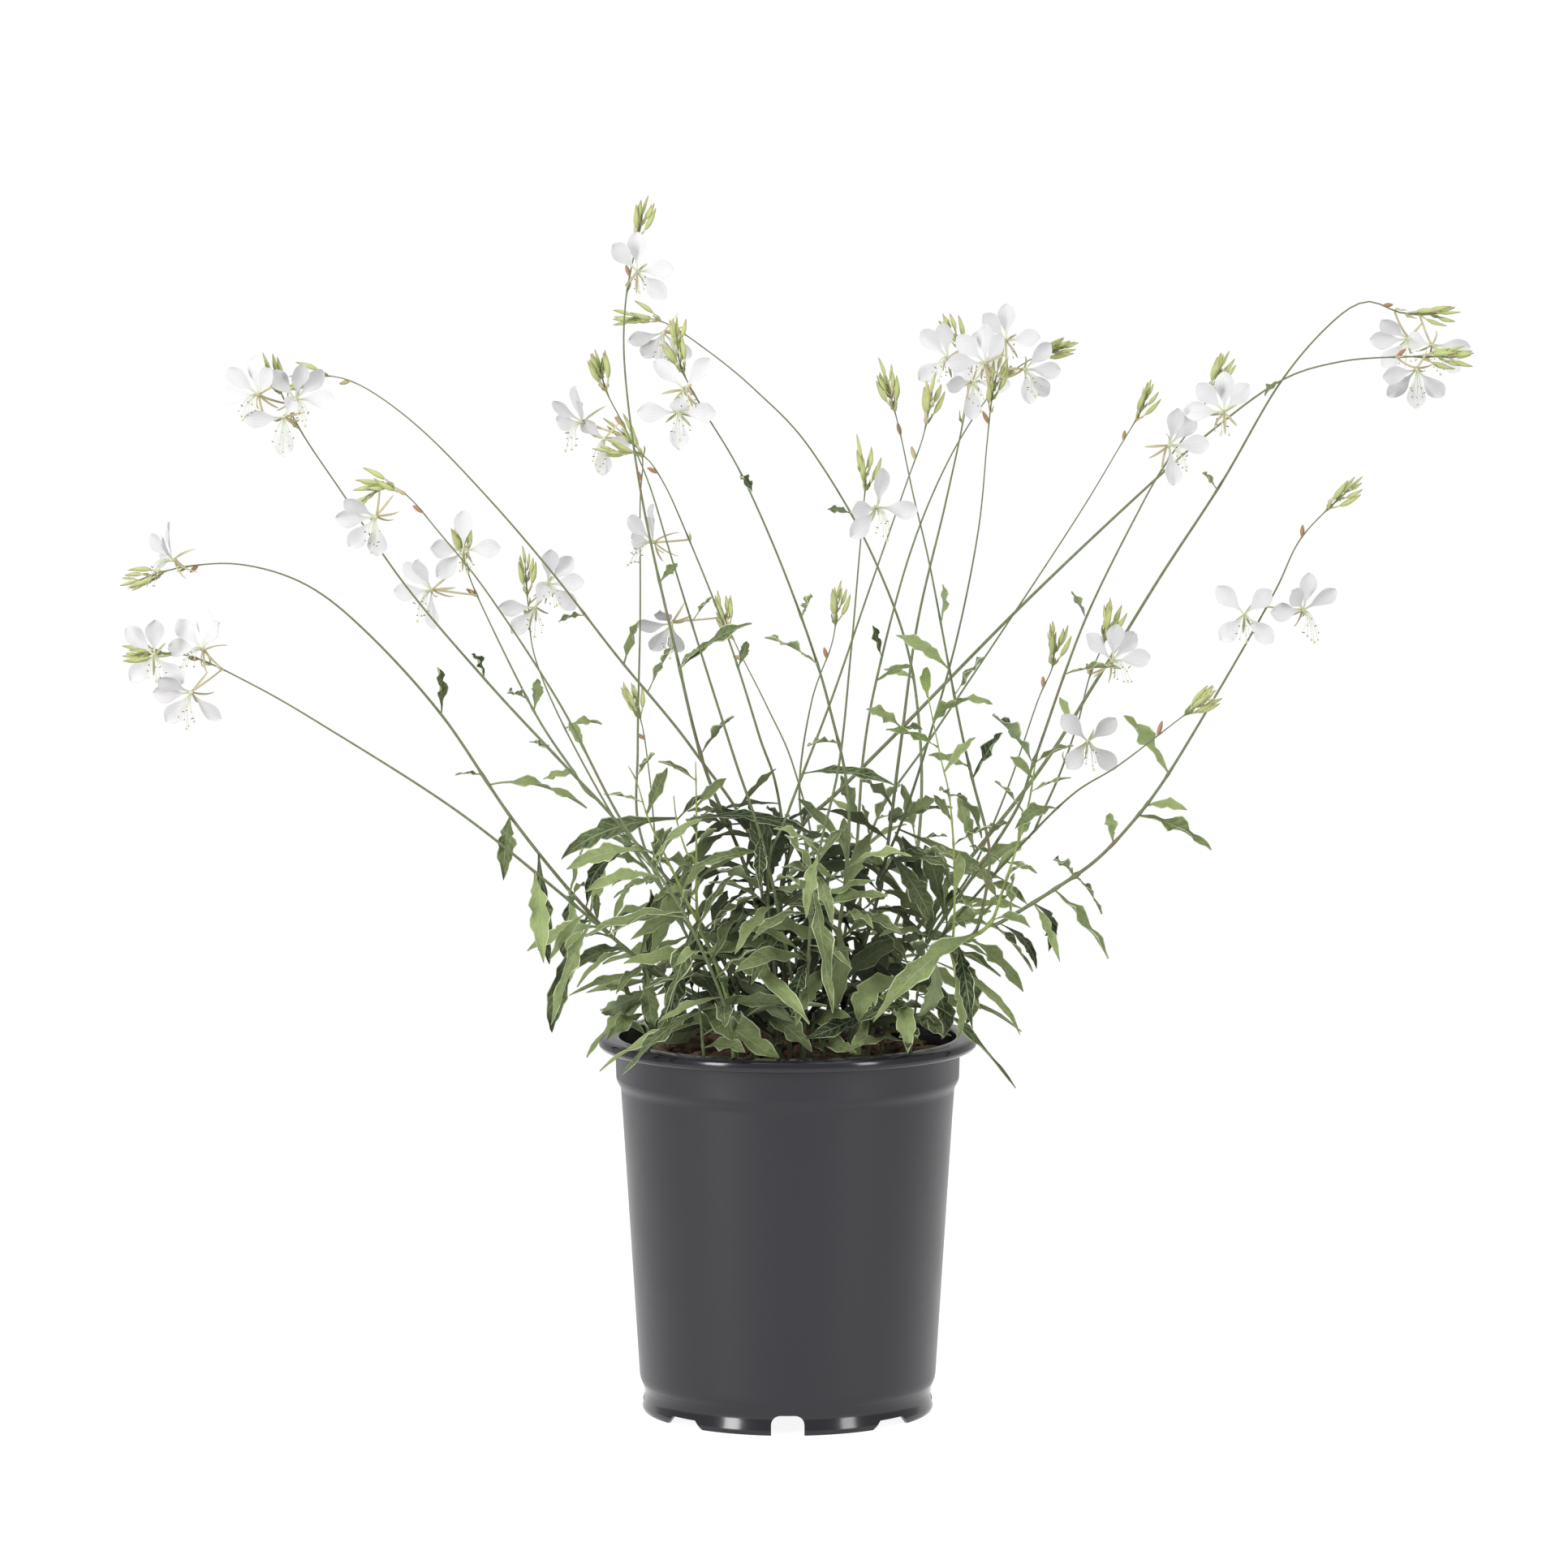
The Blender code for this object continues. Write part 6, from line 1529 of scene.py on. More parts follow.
def stalk_piece(limb, draw):
    """The tube of a stem or branch, a little swollen where parts leave it."""
    width = bpy.context.scene.gaura_stems.width
    rings = LONG_RINGS if limb.length > LONG_STALK else SHORT_RINGS
    reaches = np.linspace(0, limb.length, rings + 1)
    frames = [limb.route.frame(reach) for reach in reaches]
    centres = np.array([limb.route.point(reach) for reach in reaches], float)
    radii = np.array([limb.thickness(reach) for reach in reaches]) * width
    if limb.name == limb.node:
        radii[0] *= 1.1
    for place, _ in limb.sites:
        radii *= 1 + SITE_SWELL * np.exp(-((reaches - place - ROOT_RISE / 2) / SITE_SPREAD) ** 2)
    if limb.young and limb.name == limb.node:
        radii *= 1 + SHOOT_SWELL * np.exp(-(reaches / SHOOT_FOOT) ** 2)
    radii *= 1 - 0.4 * (reaches / limb.length) ** 2
    radii[-1] *= 0.5
    sides, others = (np.array([f[k] for f in frames], float) for k in (1, 2))
    kind = "young_stem" if limb.name in LEAFY_SHOOTS else "stem"
    return thread_copy(centres, sides, others, radii, kind, draw.uniform(0, 1))


def bud_copies(start, way, along, length, radius, tone):
    """A bud on its thin stalk: both bend from the way that they leave the stem to the way that it grows."""
    blooms = bpy.context.scene.gaura_blooms
    bend_way = (along - way * way.dot(along)) * 0.45
    stalk = blooms.bud_stalk * length
    foot = start + way * stalk + bend_way * stalk * 0.5
    lean = (way + bend_way).normalized()
    turn = bend_way * 0.5 + lean.cross(along) * (tone - 0.5) * 0.3
    return [bent_thread(start - way * MM, start + way * stalk * 0.6, foot, THIN_STALK, THIN_STALK, "calyx",
                        0.5 * tone, 4, 5),
            pod_copy(foot - lean * 0.3 * MM, lean, length * blooms.bud_length, radius, BUD_PROFILE, "bud",
                     0.6 * tone, turn)]


def bract_copy(limb, reach, looks, draw):
    """A little pointed leaf that hugs the stem below a bud."""
    along, across, other = limb.route.frame(reach)
    out = around(across, other, draw.uniform(0, 2 * math.pi))
    start = limb.route.point(reach) + out * limb.thickness(reach) * 0.4
    length = draw.uniform(3.5, 6.5) * MM
    tip = start + (along + out * 0.5).normalized() * length
    lay = (start, start.lerp(tip, 0.5) + out * 0.7 * MM, tip, out, length * BRACT_WIDTH)
    kind = "young_leaf" if draw.random() < 0.5 else "calyx"
    return blade_copy(lay, looks["bract"], draw, kind, draw.uniform(0.4, 1))


def organ_copies(limb, place, organ, looks, draw):
    """The detailed part that stands where a part of the solid does."""
    kind, lay = organ
    tone = draw.uniform(0, 1)
    if kind in looks:
        young = limb.name in LEAFY_SHOOTS and lay[0].z > YOUNG_HEIGHT
        tone = tone if kind == "large" else 0.2 + 0.8 * tone
        lay = lay[:4] + (lay[4] * SLIM,)
        return [blade_copy(lay, looks[kind], draw, "young_leaf" if young else "leaf", tone)]
    if kind == "stalk":
        return [bent_thread(*lay, *BLOOM_STALK, "calyx", tone), bract_copy(limb, place, looks, draw)]
    start, way, length, radius = lay
    if kind == "capsule":
        return [pod_copy(start - way * 0.8 * MM, way, length, radius, CAPSULE_PROFILE, "bud", 0.7 + 0.3 * tone)]
    along = limb.route.frame(place)[0]
    return bud_copies(start, way, along, length, radius, tone) + [bract_copy(limb, place, looks, draw)]


def tip_buds(limb, looks, draw):
    """The buds that stand close together along a flowering tip."""
    start, way = limb.route.point(limb.length), limb.route.frame(limb.length)[0]
    made = [pod_copy(start - way * MM, way, BUD_LENGTH * draw.uniform(0.6, 1.0), BUD_RADIUS * 0.7, BUD_PROFILE,
                     "bud", draw.uniform(0, 0.6), Vector((draw.uniform(-0.2, 0.2), 0, draw.uniform(0, 0.15))))]
    for number in range(bpy.context.scene.gaura_blooms.tip_buds):
        below = draw.uniform(0, 1)
        reach = limb.length - (1 + 11 * below) * MM
        along, across, other = limb.route.frame(reach)
        out = around(across, other, GOLDEN_ANGLE * number + draw.uniform(-0.3, 0.3))
        lean = math.radians(draw.uniform(16, 50))
        direction = around(along, out, lean).normalized()
        size = 0.45 + 0.65 * below * draw.uniform(0.7, 1)
        foot = limb.route.point(reach) + out * 0.2 * MM
        made += bud_copies(foot, direction, along, BUD_LENGTH * size, BUD_RADIUS * size ** 0.5 * 0.85,
                           draw.uniform(0, 1))
        made.append(bract_copy(limb, reach, looks, draw))
    return made


def stem_piece(node, limbs, draw):
    """Everything that grows from one foot in the soil, as one piece."""
    looks = leaf_looks()
    things = []
    for limb in limbs.values():
        if limb.node != node:
            continue
        things.append(stalk_piece(limb, draw))
        organs = [(place, organ) for (place, _), organ in limb.sites.items() if not isinstance(organ, Limb)]
        for place, organ in organs + [(None, leaf) for leaf in limb.extra]:
            things += organ_copies(limb, place, organ, looks, draw)
        if limb.tip is not None:
            things += tip_buds(limb, looks, draw)
    young = limbs[node].young
    joined(things, node + "_leafy", "young_green" if young else "green_stem", node)


def grow_pieces(chosen):
    """A piece for each stem or shoot that is chosen."""
    limbs = planned()[0]
    for number, (name, limb) in enumerate(limbs.items()):
        if limb.node == name and chosen(limb):
            stem_piece(name, limbs, random.Random(SEED + number))


def corolla(flower, petal, tone, draw):
    """The petals, the sepals and the stalk's swollen end."""
    middle, facing = flower.middle, flower.facing
    for _, _, kind, (start, control, tip, face, half) in flower.blades():
        start = start.lerp(middle, 0.6)
        if kind == "petal":
            control, tip = (middle + (end - middle) * PETAL_SHARE for end in (control, tip))
            lay = (start + facing * 0.3 * MM, control, tip, face, half)
            yield blade_copy(lay, petal, draw, "petal", tone)
        else:
            lay = (start - facing * MM, control, tip, face, half * 0.6)
            yield blade_copy(lay, SEPAL_LOOK, draw, "calyx", tone)
    for eighth in SEPALS_BESIDE:
        out = flower.way(eighth)
        start = middle + out * 0.7 * MM - facing * MM
        length = bpy.context.scene.gaura_blooms.sepal_length * draw.uniform(0.85, 1.1)
        tip = start + length * (0.6 * out - 0.8 * facing).normalized()
        lay = (start, start.lerp(tip, 0.4) + out * 2.2 * MM, tip, facing, SEPAL_HALF_WIDTH)
        yield blade_copy(lay, SEPAL_LOOK, draw, "calyx", draw.uniform(0.4, 1))
    yield pod_copy(flower.back - facing * 0.6 * MM, facing, 3.6 * MM, 0.9 * MM, CALYX_PROFILE, "calyx", tone)


def heart(flower, tone, draw):
    """The eight stamens, and the style with its four-lobed stigma."""
    facing, lean = flower.facing, flower.stamens()
    root = flower.middle + facing * 0.8 * MM
    for eighth in range(8):
        out = flower.way(eighth)
        away = out * draw.uniform(2.0, 4.6) * MM
        tip = root + lean * draw.uniform(0.8, 1.05) + away
        control = root + facing * STAMEN_LENGTH * 0.55 + away * 0.3
        yield bent_thread(root + out * 0.4 * MM, control, tip, *FILAMENT, "stamen", tone, 6, 5)
        across = (tip - control).normalized().cross(flower.way(eighth + 2)).normalized()
        if across.length < 0.5:
            across = flower.right
        length = bpy.context.scene.gaura_blooms.anther_length * draw.uniform(0.8, 1.15)
        yield pod_copy(tip - across * length / 2, across, length, ANTHER_RADIUS, ANTHER_PROFILE, "anther", tone,
                       sides=6, rings=5)
    tip = root + lean * 1.3 - flower.up * 1.5 * MM
    yield bent_thread(root, root + facing * STAMEN_LENGTH * 0.6, tip, *STYLE, "stamen", tone, 6, 5)
    for eighth in STIGMA_LOBES:
        lobe = (facing + flower.way(eighth) * 1.2).normalized()
        yield pod_copy(tip, lobe, *STIGMA_LOBE, ANTHER_PROFILE, "stigma", tone, sides=6, rings=5)


def bloom_piece(name, flowers, draw):
    """The flowers of one bloom solid."""
    petal = dict(PETAL_LOOK, thick=bpy.context.scene.gaura_blooms.petal_thickness)
    things = []
    for flower in flowers:
        tone = draw.uniform(0, 1)
        things += corolla(flower, petal, tone, draw)
        things += heart(flower, tone, draw)
    joined(things, name + "_flower", "white_petal", name)


def disc_place(x, y):
    """Where a point of a square lies when the square is drawn out to a disc."""
    return x * math.sqrt(max(0, 1 - y * y / 2)), y * math.sqrt(max(0, 1 - x * x / 2))


def crumbly(x, y):
    """Height of the soil's crumbs above its even top."""
    place = Vector((x, y, 0)) / MM
    big = noise.noise(place * 0.09)
    lumps = noise.fractal(place * 0.35, 0.9, 2.1, 4)
    return (big * 0.9 + lumps * 0.75) * MM


def soil_piece():
    """The root ball: a crumbly disc drawn down to the pot's floor."""
    looks = bpy.context.scene.gaura_soil
    piece = begin("soil_surface", bpy.ops.mesh.primitive_grid_add,
                  x_subdivisions=looks.cells, y_subdivisions=looks.cells, size=2)
    close()
    radius = inner_radius(SOIL_TOP) - SOIL_CLEAR
    for vert in piece.data.vertices:
        x, y = disc_place(vert.co.x, vert.co.y)
        x, y = x * radius, y * radius
        edge = min(1.0, (radius - math.hypot(x, y)) / SOIL_EDGE)
        vert.co = (x, y, soil_height(x, y) + crumbly(x, y) * max(edge, 0.25))
    low = FLOOR_TOP + GAP
    edit("DESELECT")
    bpy.ops.mesh.select_non_manifold()
    bpy.ops.mesh.extrude_edges_move(TRANSFORM_OT_translate={"value": (0, 0, low - SOIL_TOP)})
    share = (inner_radius(low) - SOIL_CLEAR) / radius
    resize((share, share, 0), (0, 0, low))
    bpy.ops.mesh.edge_face_add()
    mend()
    piece.data.materials.append(finish("soil"))
    piece.data.shade_smooth()
    finish_piece(piece, "potting_mix", "soil")


def chips_piece(draw):
    """Bits of bark and peat that lie half sunk in the soil."""
    looks = bpy.context.scene.gaura_soil
    template = chip_template()
    things = []
    reach = inner_radius(SOIL_TOP) - SOIL_EDGE
    for _ in range(looks.chips):
        turn, far = draw.uniform(0, 2 * math.pi), reach * math.sqrt(draw.uniform(0, 1))
        x, y = far * math.cos(turn), far * math.sin(turn)
        size = looks.chip_size * draw.uniform(0.35, 1.0) ** 1.5
        shape = np.array([draw.uniform(0.5, 1.0), draw.uniform(0.35, 0.8), draw.uniform(0.25, 0.55)]) * size / 2
        spin = Matrix.Rotation(draw.uniform(0, 6.28), 3, "Z") @ Matrix.Rotation(draw.uniform(-0.5, 0.5), 3, "X")
        points = (template[1] * shape) @ np.array(spin).T + np.array((x, y, soil_height(x, y) + size * 0.12))
        things.append(copy_of(template, points, template[1] * 0, draw.uniform(0, 1), "chips", False))
    joined(things, "soil_chips", "potting_mix")


def ring_step(radius, height, last):
    """Extrudes the selected open ring to a new radius and height."""
    bpy.ops.mesh.extrude_edges_move(TRANSFORM_OT_translate={"value": (0, 0, height - last[1])})
    share = radius / last[0]
    resize((share, share, 1), (0, 0, height))


def eased(profile):
    """The profile with each (radius, height, easing) corner rounded off by three points."""
    points = []
    for number, (radius, height, easing) in enumerate(profile):
        here = Vector((radius, height))
        if not easing:
            points.append((radius, height))
            continue
        before, after = Vector(profile[number - 1][:2]), Vector(profile[number + 1][:2])
        first = here + (before - here).normalized() * min(easing, (before - here).length * 0.49)
        last = here + (after - here).normalized() * min(easing, (after - here).length * 0.49)
        for share in (0, 0.25, 0.5, 0.75, 1):
            point, _ = bend(first, here, last, share)
            points.append(tuple(point))
    return points


def pot_profile():
    """The pot's section, from the middle of its floor inside, over the lip and down, to its middle underneath."""
    edge, low = POT_EDGE, POT_HEIGHT - LIP_HEIGHT
    inside = inner_radius(POT_HEIGHT)
    return eased([
        (0.5 * MM, FLOOR_TOP, 0), (inner_radius(FLOOR_TOP), FLOOR_TOP, 2 * MM),
        (inside, POT_HEIGHT - 0.4 * MM, 0.8 * MM), (inside + 1.6 * MM, POT_HEIGHT, 0.8 * MM),
        (LIP_RADIUS - 2.2 * MM, POT_HEIGHT - 0.3 * MM, 0.5 * MM), (LIP_RADIUS, POT_HEIGHT - edge, 1.2 * MM),
        (LIP_RADIUS, low + edge, 0.9 * MM), (LIP_RADIUS - edge, low, 0.5 * MM),
        (NECK_RADIUS + 0.2 * MM, low, 1.2 * MM), (NECK_RADIUS - 0.2 * MM, NECK_BOTTOM + MM, 1.6 * MM),
        (SHOULDER_RADIUS, SHOULDER_HEIGHT, 1.6 * MM), (HEEL_RADIUS, HEEL_HEIGHT, 2.4 * MM),
        (SKIRT_RADIUS, SKIRT_HEIGHT, 0.8 * MM), (SKIRT_RADIUS - 0.3 * MM, SKIRT_HEIGHT - MM, 0.5 * MM),
        (SKIRT_RADIUS - DISH, SKIRT_HEIGHT - 4 * MM, 2.4 * MM), (FOOT_RADIUS + 0.6 * MM, 1.6 * MM, 1.2 * MM),
        (FOOT_RADIUS, 0, 0), (FOOT_RADIUS - WALL, 0, 0), (SKIRT_RADIUS - WALL, FLOOR_BOTTOM, 0.8 * MM),
        (0.5 * MM, FLOOR_BOTTOM, 0),
    ])


def cutter_box(half_width, top):
    """A box through the skirt, ready to be shaped in edit mode with its upper edges along X selected."""
    low, high, bottom = FOOT_RADIUS - 2 * CUT_PAST, SKIRT_RADIUS + CUT_PAST, -MM
    box = begin("cutter", bpy.ops.mesh.primitive_cube_add, size=1,
                scale=(high - low, 2 * half_width, top - bottom),
                location=((low + high) / 2, 0, (bottom + top) / 2))
    bpy.ops.mesh.select_all(action="DESELECT")
    close()
    for side in box.data.edges:
        first, second = (box.data.vertices[index].co for index in side.vertices)
        side.select = min(first.z, second.z) > (bottom + top) / 2 and abs(first.x - second.x) > (high - low) / 2
    bpy.ops.object.mode_set(mode="EDIT")
    bpy.ops.mesh.select_mode(type="EDGE")
    return box


def arch():
    """A round-topped notch through the skirt."""
    box = cutter_box(NOTCH_WIDTH / 2, NOTCH_HEIGHT)
    bpy.ops.mesh.bevel(offset=NOTCH_CROWN, segments=6)
    mend()
    return box


def recess():
    """A shallow trapezoid under the skirt's edge."""
    bottom, top = (FOOT_RADIUS * math.tan(angle / 2) for angle in (RECESS_ANGLE, RECESS_TOP_ANGLE))
    box = cutter_box(bottom, RECESS_HEIGHT)
    resize((1, top / bottom, 1), (FOOT_RADIUS, 0, RECESS_HEIGHT))
    mend()
    return box


def drain():
    """A round hole through the floor."""
    hole = begin("cutter", bpy.ops.mesh.primitive_cylinder_add, vertices=24, radius=DRAIN_RADIUS,
                 depth=FLOOR_TOP - FLOOR_BOTTOM + 2 * CUT_PAST,
                 location=(DRAIN_REACH, 0, (FLOOR_TOP + FLOOR_BOTTOM) / 2))
    mend()
    return hole


def pot_piece():
    """The pot, drawn out ring by ring, with notches and recesses round its foot and drain holes in its floor."""
    profile = pot_profile()
    piece = begin("pot_moulded", bpy.ops.mesh.primitive_circle_add, vertices=bpy.context.scene.gaura_pot.sides,
                  radius=profile[0][0], fill_type="NOTHING", location=(0, 0, profile[0][1]))
    bpy.ops.mesh.edge_face_add()
    bpy.ops.mesh.select_all(action="SELECT")
    bpy.ops.mesh.select_mode(type="EDGE")
    for last, (radius, height) in zip(profile, profile[1:]):
        ring_step(radius, height, last)
    bpy.ops.mesh.edge_face_add()
    bpy.ops.mesh.select_mode(type="VERT")
    bpy.ops.mesh.select_all(action="SELECT")
    bpy.ops.mesh.remove_doubles(threshold=SAME_PLACE)
    mend()
    cutters = bpy.data.collections.new("pot_holes")
    for quarter in range(4):
        turn = math.pi / 2 * quarter
        for make, angle in ((arch, turn), (recess, turn + math.pi / 4), (drain, turn + math.pi / 4)):
            cutter = make()
            cutter.data.transform(Matrix.Rotation(angle, 4, "Z"))
            bpy.context.scene.collection.objects.unlink(cutter)
            cutters.objects.link(cutter)
    bpy.ops.object.select_all(action="DESELECT")
    piece.select_set(True)
    bpy.context.view_layer.objects.active = piece
    holes = piece.modifiers.new("holes", "BOOLEAN")
    holes.operation, holes.solver = "DIFFERENCE", "EXACT"
    holes.operand_type, holes.collection = "COLLECTION", cutters
    bpy.ops.object.modifier_apply(modifier=holes.name)
    for cutter in list(cutters.objects):
        bpy.data.objects.remove(cutter)
    bpy.data.collections.remove(cutters)
    piece.data.materials.clear()
    piece.data.materials.append(finish("plastic"))
    bpy.ops.object.shade_smooth_by_angle(angle=SMOOTH_WALL)
    finish_piece(piece, "pot_plastic", "pot")


def placed(name, data):
    """Puts a lamp or a camera into the scene."""
    thing = bpy.data.objects.new(name, data)
    bpy.context.scene.collection.objects.link(thing)
    return thing


def soft_lamp(name, power):
    """A soft rectangular lamp in its place, aimed at the plant."""
    bearing, distance, height, width, tall = LAMPS[name]
    light = bpy.data.lights.new(name, "AREA")
    light.shape, light.energy, light.size, light.size_y = "RECTANGLE", power, width, tall
    lamp, turn = placed(name, light), math.radians(bearing)
    lamp.location = (distance * math.sin(turn), -distance * math.cos(turn), height)
    lamp.rotation_euler = (PLANT_MIDDLE - lamp.location).to_track_quat("-Z", "Y").to_euler()


def even_light(strength):
    """White behind everything, and an even light of its own strength on the plant."""
    world = bpy.context.scene.world = bpy.data.worlds.new("even_light")
    world.cycles.sampling_method = "NONE"
    made = Nodes(world, "World Output")
    light, backdrop = (made.node("ShaderNodeBackground", {}, {"Color": (*WHITE, 1), "Strength": share})
                       for share in (strength, 1))
    made.set("Surface", made.node("ShaderNodeMixShader", {}, [made.light_path("Is Camera Ray"), light, backdrop]))


def set_stage():
    """The floor, the lamps, the even white light and the camera of the front view."""
    looks = bpy.context.scene.gaura_stage
    ground = begin("floor", bpy.ops.mesh.primitive_circle_add, vertices=96, radius=FLOOR_REACH, fill_type="NGON")
    close()
    ground.data.materials.append(finish("floor"))
    even_light(looks.sky)
    for name, power in zip(LAMPS, (looks.key, looks.fill, looks.above)):
        soft_lamp(name, power)
    lens = bpy.data.cameras.new("front_view")
    lens.lens, lens.sensor_width = looks.lens, SENSOR_WIDTH
    lens.clip_start, lens.clip_end = 0.05, 50
    camera = placed("front_view", lens)
    camera.location = (CAMERA_ASIDE, -VIEW_DISTANCE * MM, VIEW_HEIGHT * MM)
    camera.rotation_euler = (math.pi / 2 - VIEW_TILT, 0, 0)
    bpy.context.scene.camera = camera
    bpy.context.scene.view_settings.view_transform = "Standard"


# Settings that a user would change.


def colour_setting(name, description, *colour):
    return FloatVectorProperty(name=name, description=description, subtype="COLOR", size=3, min=0, max=1,
                               default=colour)


def length_setting(name, description, millimetres):
    return FloatProperty(name=name, description=description, subtype="DISTANCE", unit="LENGTH",
                         default=millimetres * MM, min=0.01 * MM, precision=5)


def share_setting(name, description, share, least=0, most=1):
    return FloatProperty(name=name, description=description, subtype="FACTOR", default=share, min=least, max=most)


def count_setting(name, description, count, least, most=1000):
    return IntProperty(name=name, description=description, default=count, min=least, max=most)


def strength_setting(name, description, strength, least=0, unit="NONE"):
    return FloatProperty(name=name, description=description, default=strength, min=least, unit=unit)


class GauraPot(PropertyGroup):
    colour: colour_setting("Plastic", "Colour of the moulded plastic", 0.0135, 0.0125, 0.018)
    scuffs: colour_setting("Scuffs", "Colour of the rubbed patches", 0.05, 0.048, 0.047)
    roughness: share_setting("Roughness", "How dull the wall is", 0.42)
    gloss: share_setting("Gloss", "Roughness of the shiny lip and foot", 0.13)
    sides: count_setting("Sides", "Flat sides that the round wall is drawn with", 128, 24)


class GauraSoil(PropertyGroup):
    dark: colour_setting("Peat", "Colour of damp peat", 0.018, 0.011, 0.007)
    brown: colour_setting("Bark", "Colour of dry peat and bark", 0.075, 0.042, 0.024)
    fibre: colour_setting("Fibre", "Colour of pale wood fibre", 0.26, 0.17, 0.10)
    cells: count_setting("Cells", "Cells across the soil's crumbly top", 96, 16)
    chips: count_setting("Chips", "How many bits of bark lie on the soil", 340, 1)
    chip_size: length_setting("Chip length", "Length of the longest bit of bark", 9)


class GauraLeaves(PropertyGroup):
    top: colour_setting("Blade", "Lighter green of the upper side", 0.34, 0.42, 0.16)
    deep: colour_setting("Shade", "Darker green of the upper side", 0.015, 0.028, 0.0065)
    under: colour_setting("Underside", "Colour of the lower side", 0.35, 0.43, 0.23)
    edge: colour_setting("Margin", "Colour of the pale margin", 0.64, 0.70, 0.45)
    rib: colour_setting("Midrib", "Colour of the midrib and side veins", 0.33, 0.4, 0.23)
    young_top: colour_setting("Young blade", "Lighter green of a young leaf", 0.26, 0.35, 0.085)
    young_deep: colour_setting("Young shade", "Darker green of a young leaf", 0.12, 0.18, 0.045)
    young_under: colour_setting("Young underside", "Colour of a young leaf's lower side", 0.34, 0.42, 0.18)
    young_edge: colour_setting("Young margin", "Colour of a young leaf's margin and midrib", 0.46, 0.52, 0.26)
    thickness: length_setting("Thickness", "Thickness of a leaf at its middle", 0.45)
    tooth_depth: share_setting("Teeth", "Depth of the teeth as a share of the half width", 0.32, 0, 0.8)
    ruffle: share_setting("Ruffle", "Height of the edge's waves as a share of the half width", 0.5)
    thicket: length_setting("Thicket", "How far up the stems the leaves stand close", 125)
    between: length_setting("Length between", "Length of the leaves that stand between the others", 30)
    between_step: length_setting("Step between", "Distance along a stem from one of them to the next", 7.5)
    tries: count_setting("Tries", "Ways to lay each of them before it is left out", 5, 1, len(LEAF_TURNS))


class GauraStems(PropertyGroup):
    green: colour_setting("Stem", "Colour of a flowering stem", 0.19, 0.23, 0.115)
    young: colour_setting("Young stem", "Colour of a leafy shoot's stem", 0.33, 0.42, 0.13)
    flush: colour_setting("Flush", "Reddish colour here and there on a stem", 0.28, 0.15, 0.10)
    width: share_setting("Width", "Width of a stem as a share of its solid's", 0.68, 0.1)


class GauraBlooms(PropertyGroup):
    petal: colour_setting("Petal", "Colour of the petals", 0.775, 0.775, 0.78)
    vein: colour_setting("Vein", "Colour of the petals' veins and thin places", 0.70, 0.70, 0.715)
    throat: colour_setting("Throat", "Colour of a petal's narrow foot", 0.60, 0.68, 0.34)
    blush: colour_setting("Blush", "Colour at the edges of an ageing bloom", 0.80, 0.58, 0.56)
    bud: colour_setting("Bud", "Colour of a bud", 0.55, 0.60, 0.26)
    bud_tip: colour_setting("Bud tip", "Colour of a bud's tip", 0.38, 0.29, 0.14)
    capsule: colour_setting("Capsule", "Colour of an old bud or a seed capsule", 0.44, 0.24, 0.14)
    tube: colour_setting("Tube", "Colour of a stalk where it leaves the stem", 0.40, 0.34, 0.16)
    sepal: colour_setting("Sepal", "Colour of the sepals", 0.78, 0.72, 0.50)
    anther: colour_setting("Anther", "Colour of the anthers", 0.18, 0.10, 0.055)
    stigma: colour_setting("Stigma", "Colour of the four-lobed stigma", 0.80, 0.79, 0.48)
    petal_thickness: length_setting("Petal thickness", "Thickness of a petal at its middle", 0.3)
    anther_length: length_setting("Anther length", "Length of an anther", 1.6)
    sepal_length: length_setting("Sepal length", "Length of a sepal", 11)
    bud_length: share_setting("Bud length", "Length of a bud as a share of its solid's", 1.1, 0.5, 2)
    bud_stalk: share_setting("Bud stalk", "Length of its stalk as a share of its solid's", 0.5, 0.1)
    tip_buds: count_setting("Tip buds", "Buds close to each flowering tip", 2, 0)


class GauraStage(PropertyGroup):
    floor: colour_setting("Floor", "Colour of the floor", 0.30, 0.30, 0.30)
    glow: strength_setting("Glow", "White that the floor adds to its own looks, without lighting the plant", 0.9)
    sky: strength_setting("Even light", "Strength of the even white light", 0.48)
    key: strength_setting("Left lamp", "Power of the lamp at the left front, in watts", 21, unit="POWER")
    fill: strength_setting("Right lamp", "Power of the lamp at the right front, in watts", 12, unit="POWER")
    above: strength_setting("Upper lamp", "Power of the lamp above, in watts", 34, unit="POWER")
    lens: strength_setting("Lens", "Focal length of the camera, in millimetres", 131.2, 1, "CAMERA")


# Operators.


class GAURA_OT_pot(Operator):
    """Draw out the moulded pot ring by ring and cut its notches, recesses and drain holes"""
    bl_idname = "gaura.pot"
    bl_label = "Pot"

    def execute(self, context):
        pot_piece()
        return {"FINISHED"}


class GAURA_OT_soil(Operator):
    """Fill the pot with crumbly soil"""
    bl_idname = "gaura.soil"
    bl_label = "Soil"

    def execute(self, context):
        soil_piece()
        return {"FINISHED"}


class GAURA_OT_chips(Operator):
    """Strew bits of bark over the soil"""
    bl_idname = "gaura.chips"
    bl_label = "Bark chips"

    def execute(self, context):
        chips_piece(random.Random(SEED))
        return {"FINISHED"}


class GAURA_OT_stems(Operator):
    """Grow the flowering stems with their branches, leaves and buds"""
    bl_idname = "gaura.stems"
    bl_label = "Flowering stems"

    def execute(self, context):
        grow_pieces(lambda limb: not limb.young)
        return {"FINISHED"}


class GAURA_OT_shoots(Operator):
    """Grow the young leafy shoots"""
    bl_idname = "gaura.shoots"
    bl_label = "Leafy shoots"

    def execute(self, context):
        grow_pieces(lambda limb: limb.young)
        return {"FINISHED"}


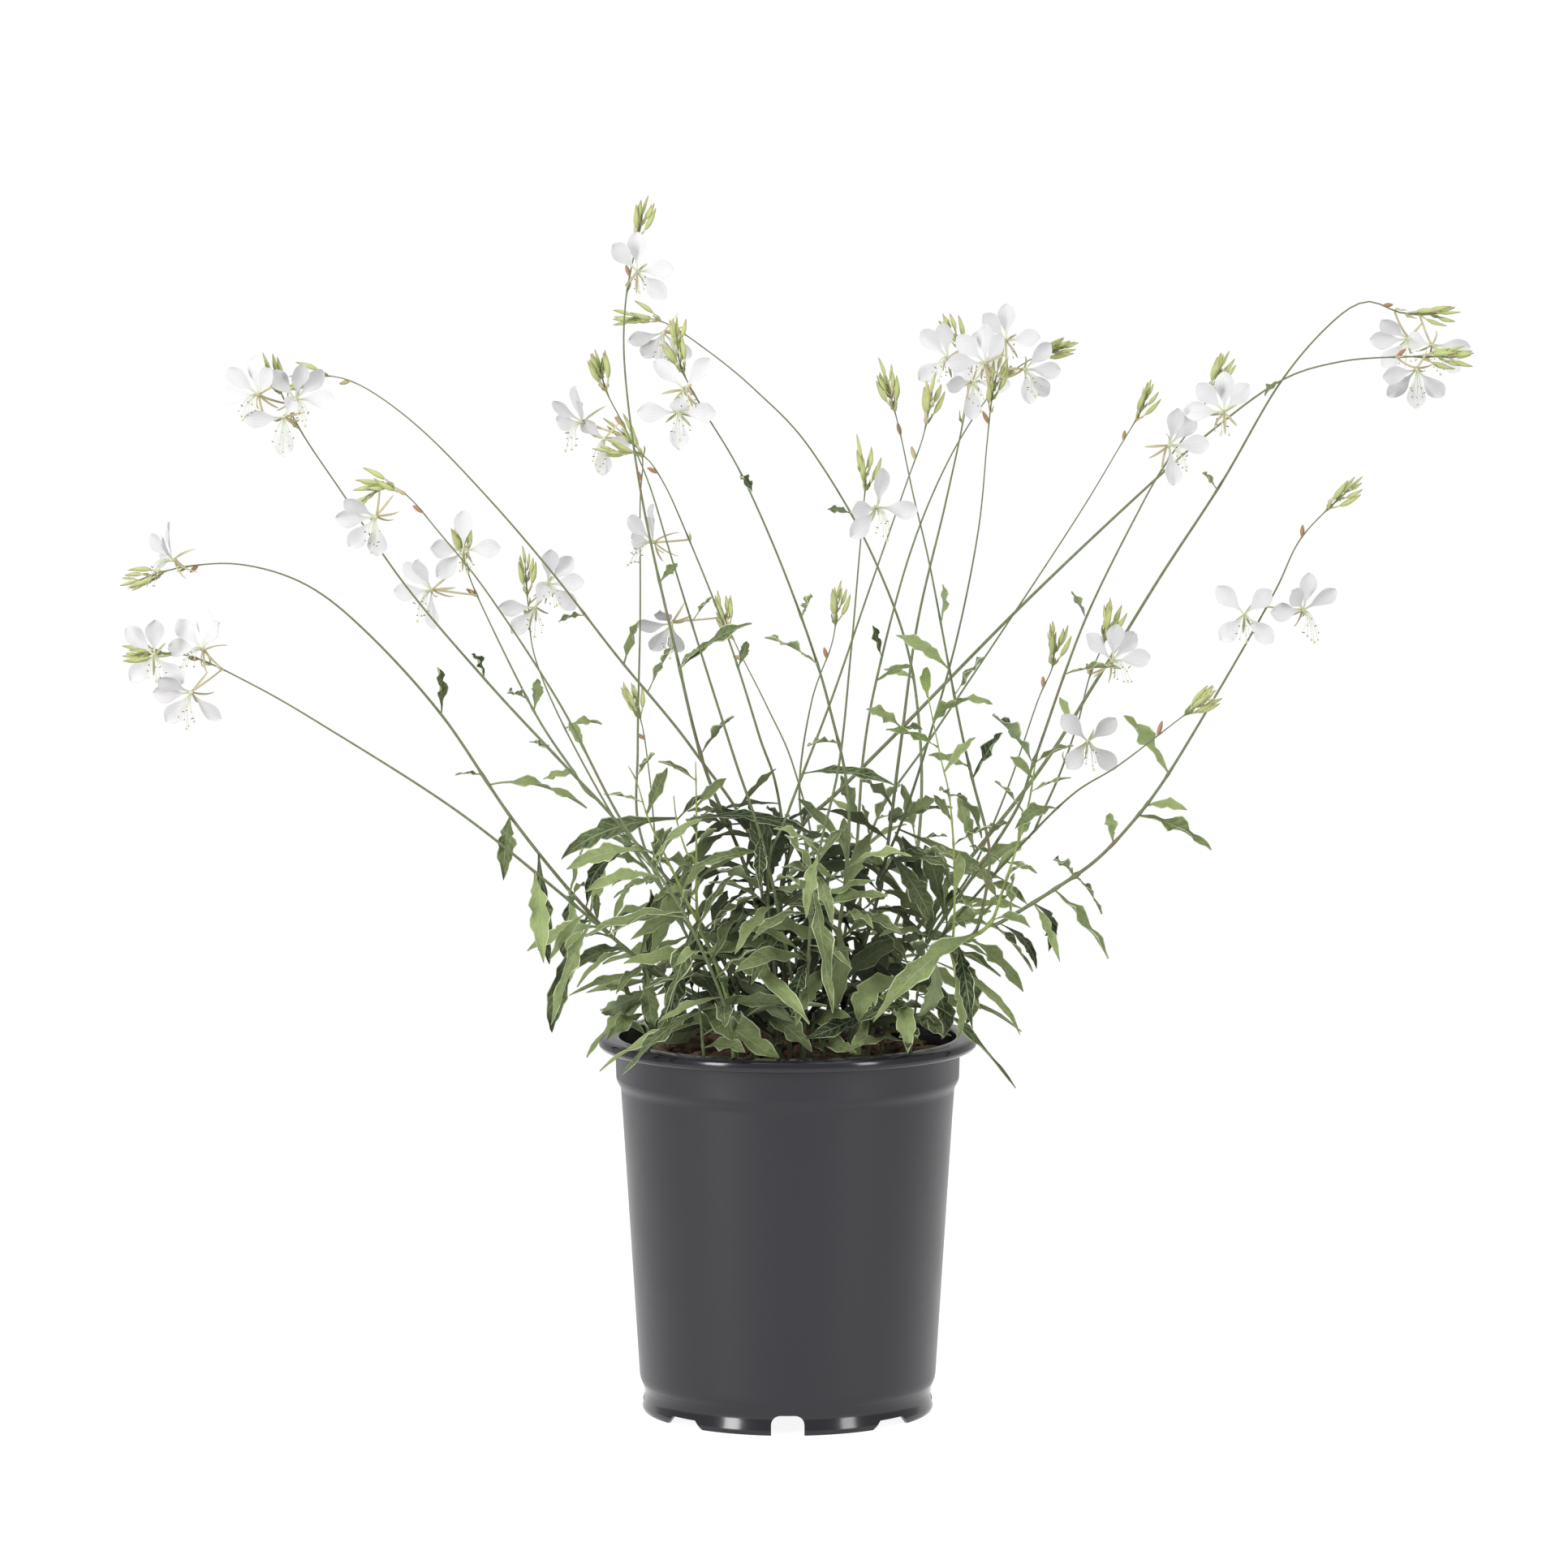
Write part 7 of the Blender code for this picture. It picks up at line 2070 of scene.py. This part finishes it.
class GAURA_OT_blooms(Operator):
    """Open the white blooms"""
    bl_idname = "gaura.blooms"
    bl_label = "Blooms"

    def execute(self, context):
        for number, (name, flowers) in enumerate(planned()[1].items()):
            bloom_piece(name, flowers, random.Random(SEED + number))
        return {"FINISHED"}


class GAURA_OT_stage(Operator):
    """Set out the floor, the soft lamps and the camera"""
    bl_idname = "gaura.stage"
    bl_label = "Stage"

    def execute(self, context):
        set_stage()
        return {"FINISHED"}


class GAURA_PT_pieces(Panel):
    """The pieces of the potted gaura, and their sizes and colours"""
    bl_label = "Potted gaura"
    bl_idname = "GAURA_PT_pieces"
    bl_space_type = "VIEW_3D"
    bl_region_type = "UI"
    bl_category = "Gaura"

    def draw(self, context):
        for heading, settings, operators in SECTIONS:
            box = self.layout.box()
            box.label(text=heading)
            group = getattr(context.scene, settings)
            for name in group.__annotations__:
                box.prop(group, name)
            for operator in operators:
                box.operator(operator.bl_idname)


SECTIONS = (
    ("Pot", "gaura_pot", (GAURA_OT_pot,)),
    ("Soil", "gaura_soil", (GAURA_OT_soil, GAURA_OT_chips)),
    ("Leaves", "gaura_leaves", ()),
    ("Stems", "gaura_stems", (GAURA_OT_stems, GAURA_OT_shoots)),
    ("Blooms", "gaura_blooms", (GAURA_OT_blooms,)),
    ("Stage", "gaura_stage", (GAURA_OT_stage,)),
)
GROUPS = {"gaura_pot": GauraPot, "gaura_soil": GauraSoil, "gaura_leaves": GauraLeaves, "gaura_stems": GauraStems,
          "gaura_blooms": GauraBlooms, "gaura_stage": GauraStage}
OPERATORS = [operator for _, _, operators in SECTIONS for operator in operators]


def register():
    for name, group in GROUPS.items():
        bpy.utils.register_class(group)
        setattr(bpy.types.Scene, name, PointerProperty(type=group))
    for part in OPERATORS + [GAURA_PT_pieces]:
        bpy.utils.register_class(part)


def unregister():
    for part in [GAURA_PT_pieces] + OPERATORS[::-1]:
        bpy.utils.unregister_class(part)
    for name, group in GROUPS.items():
        delattr(bpy.types.Scene, name)
        bpy.utils.unregister_class(group)


def main():
    register()
    for operator in OPERATORS:
        family, name = operator.bl_idname.split(".")
        getattr(getattr(bpy.ops, family), name)()


if __name__ == "__main__":
    main()
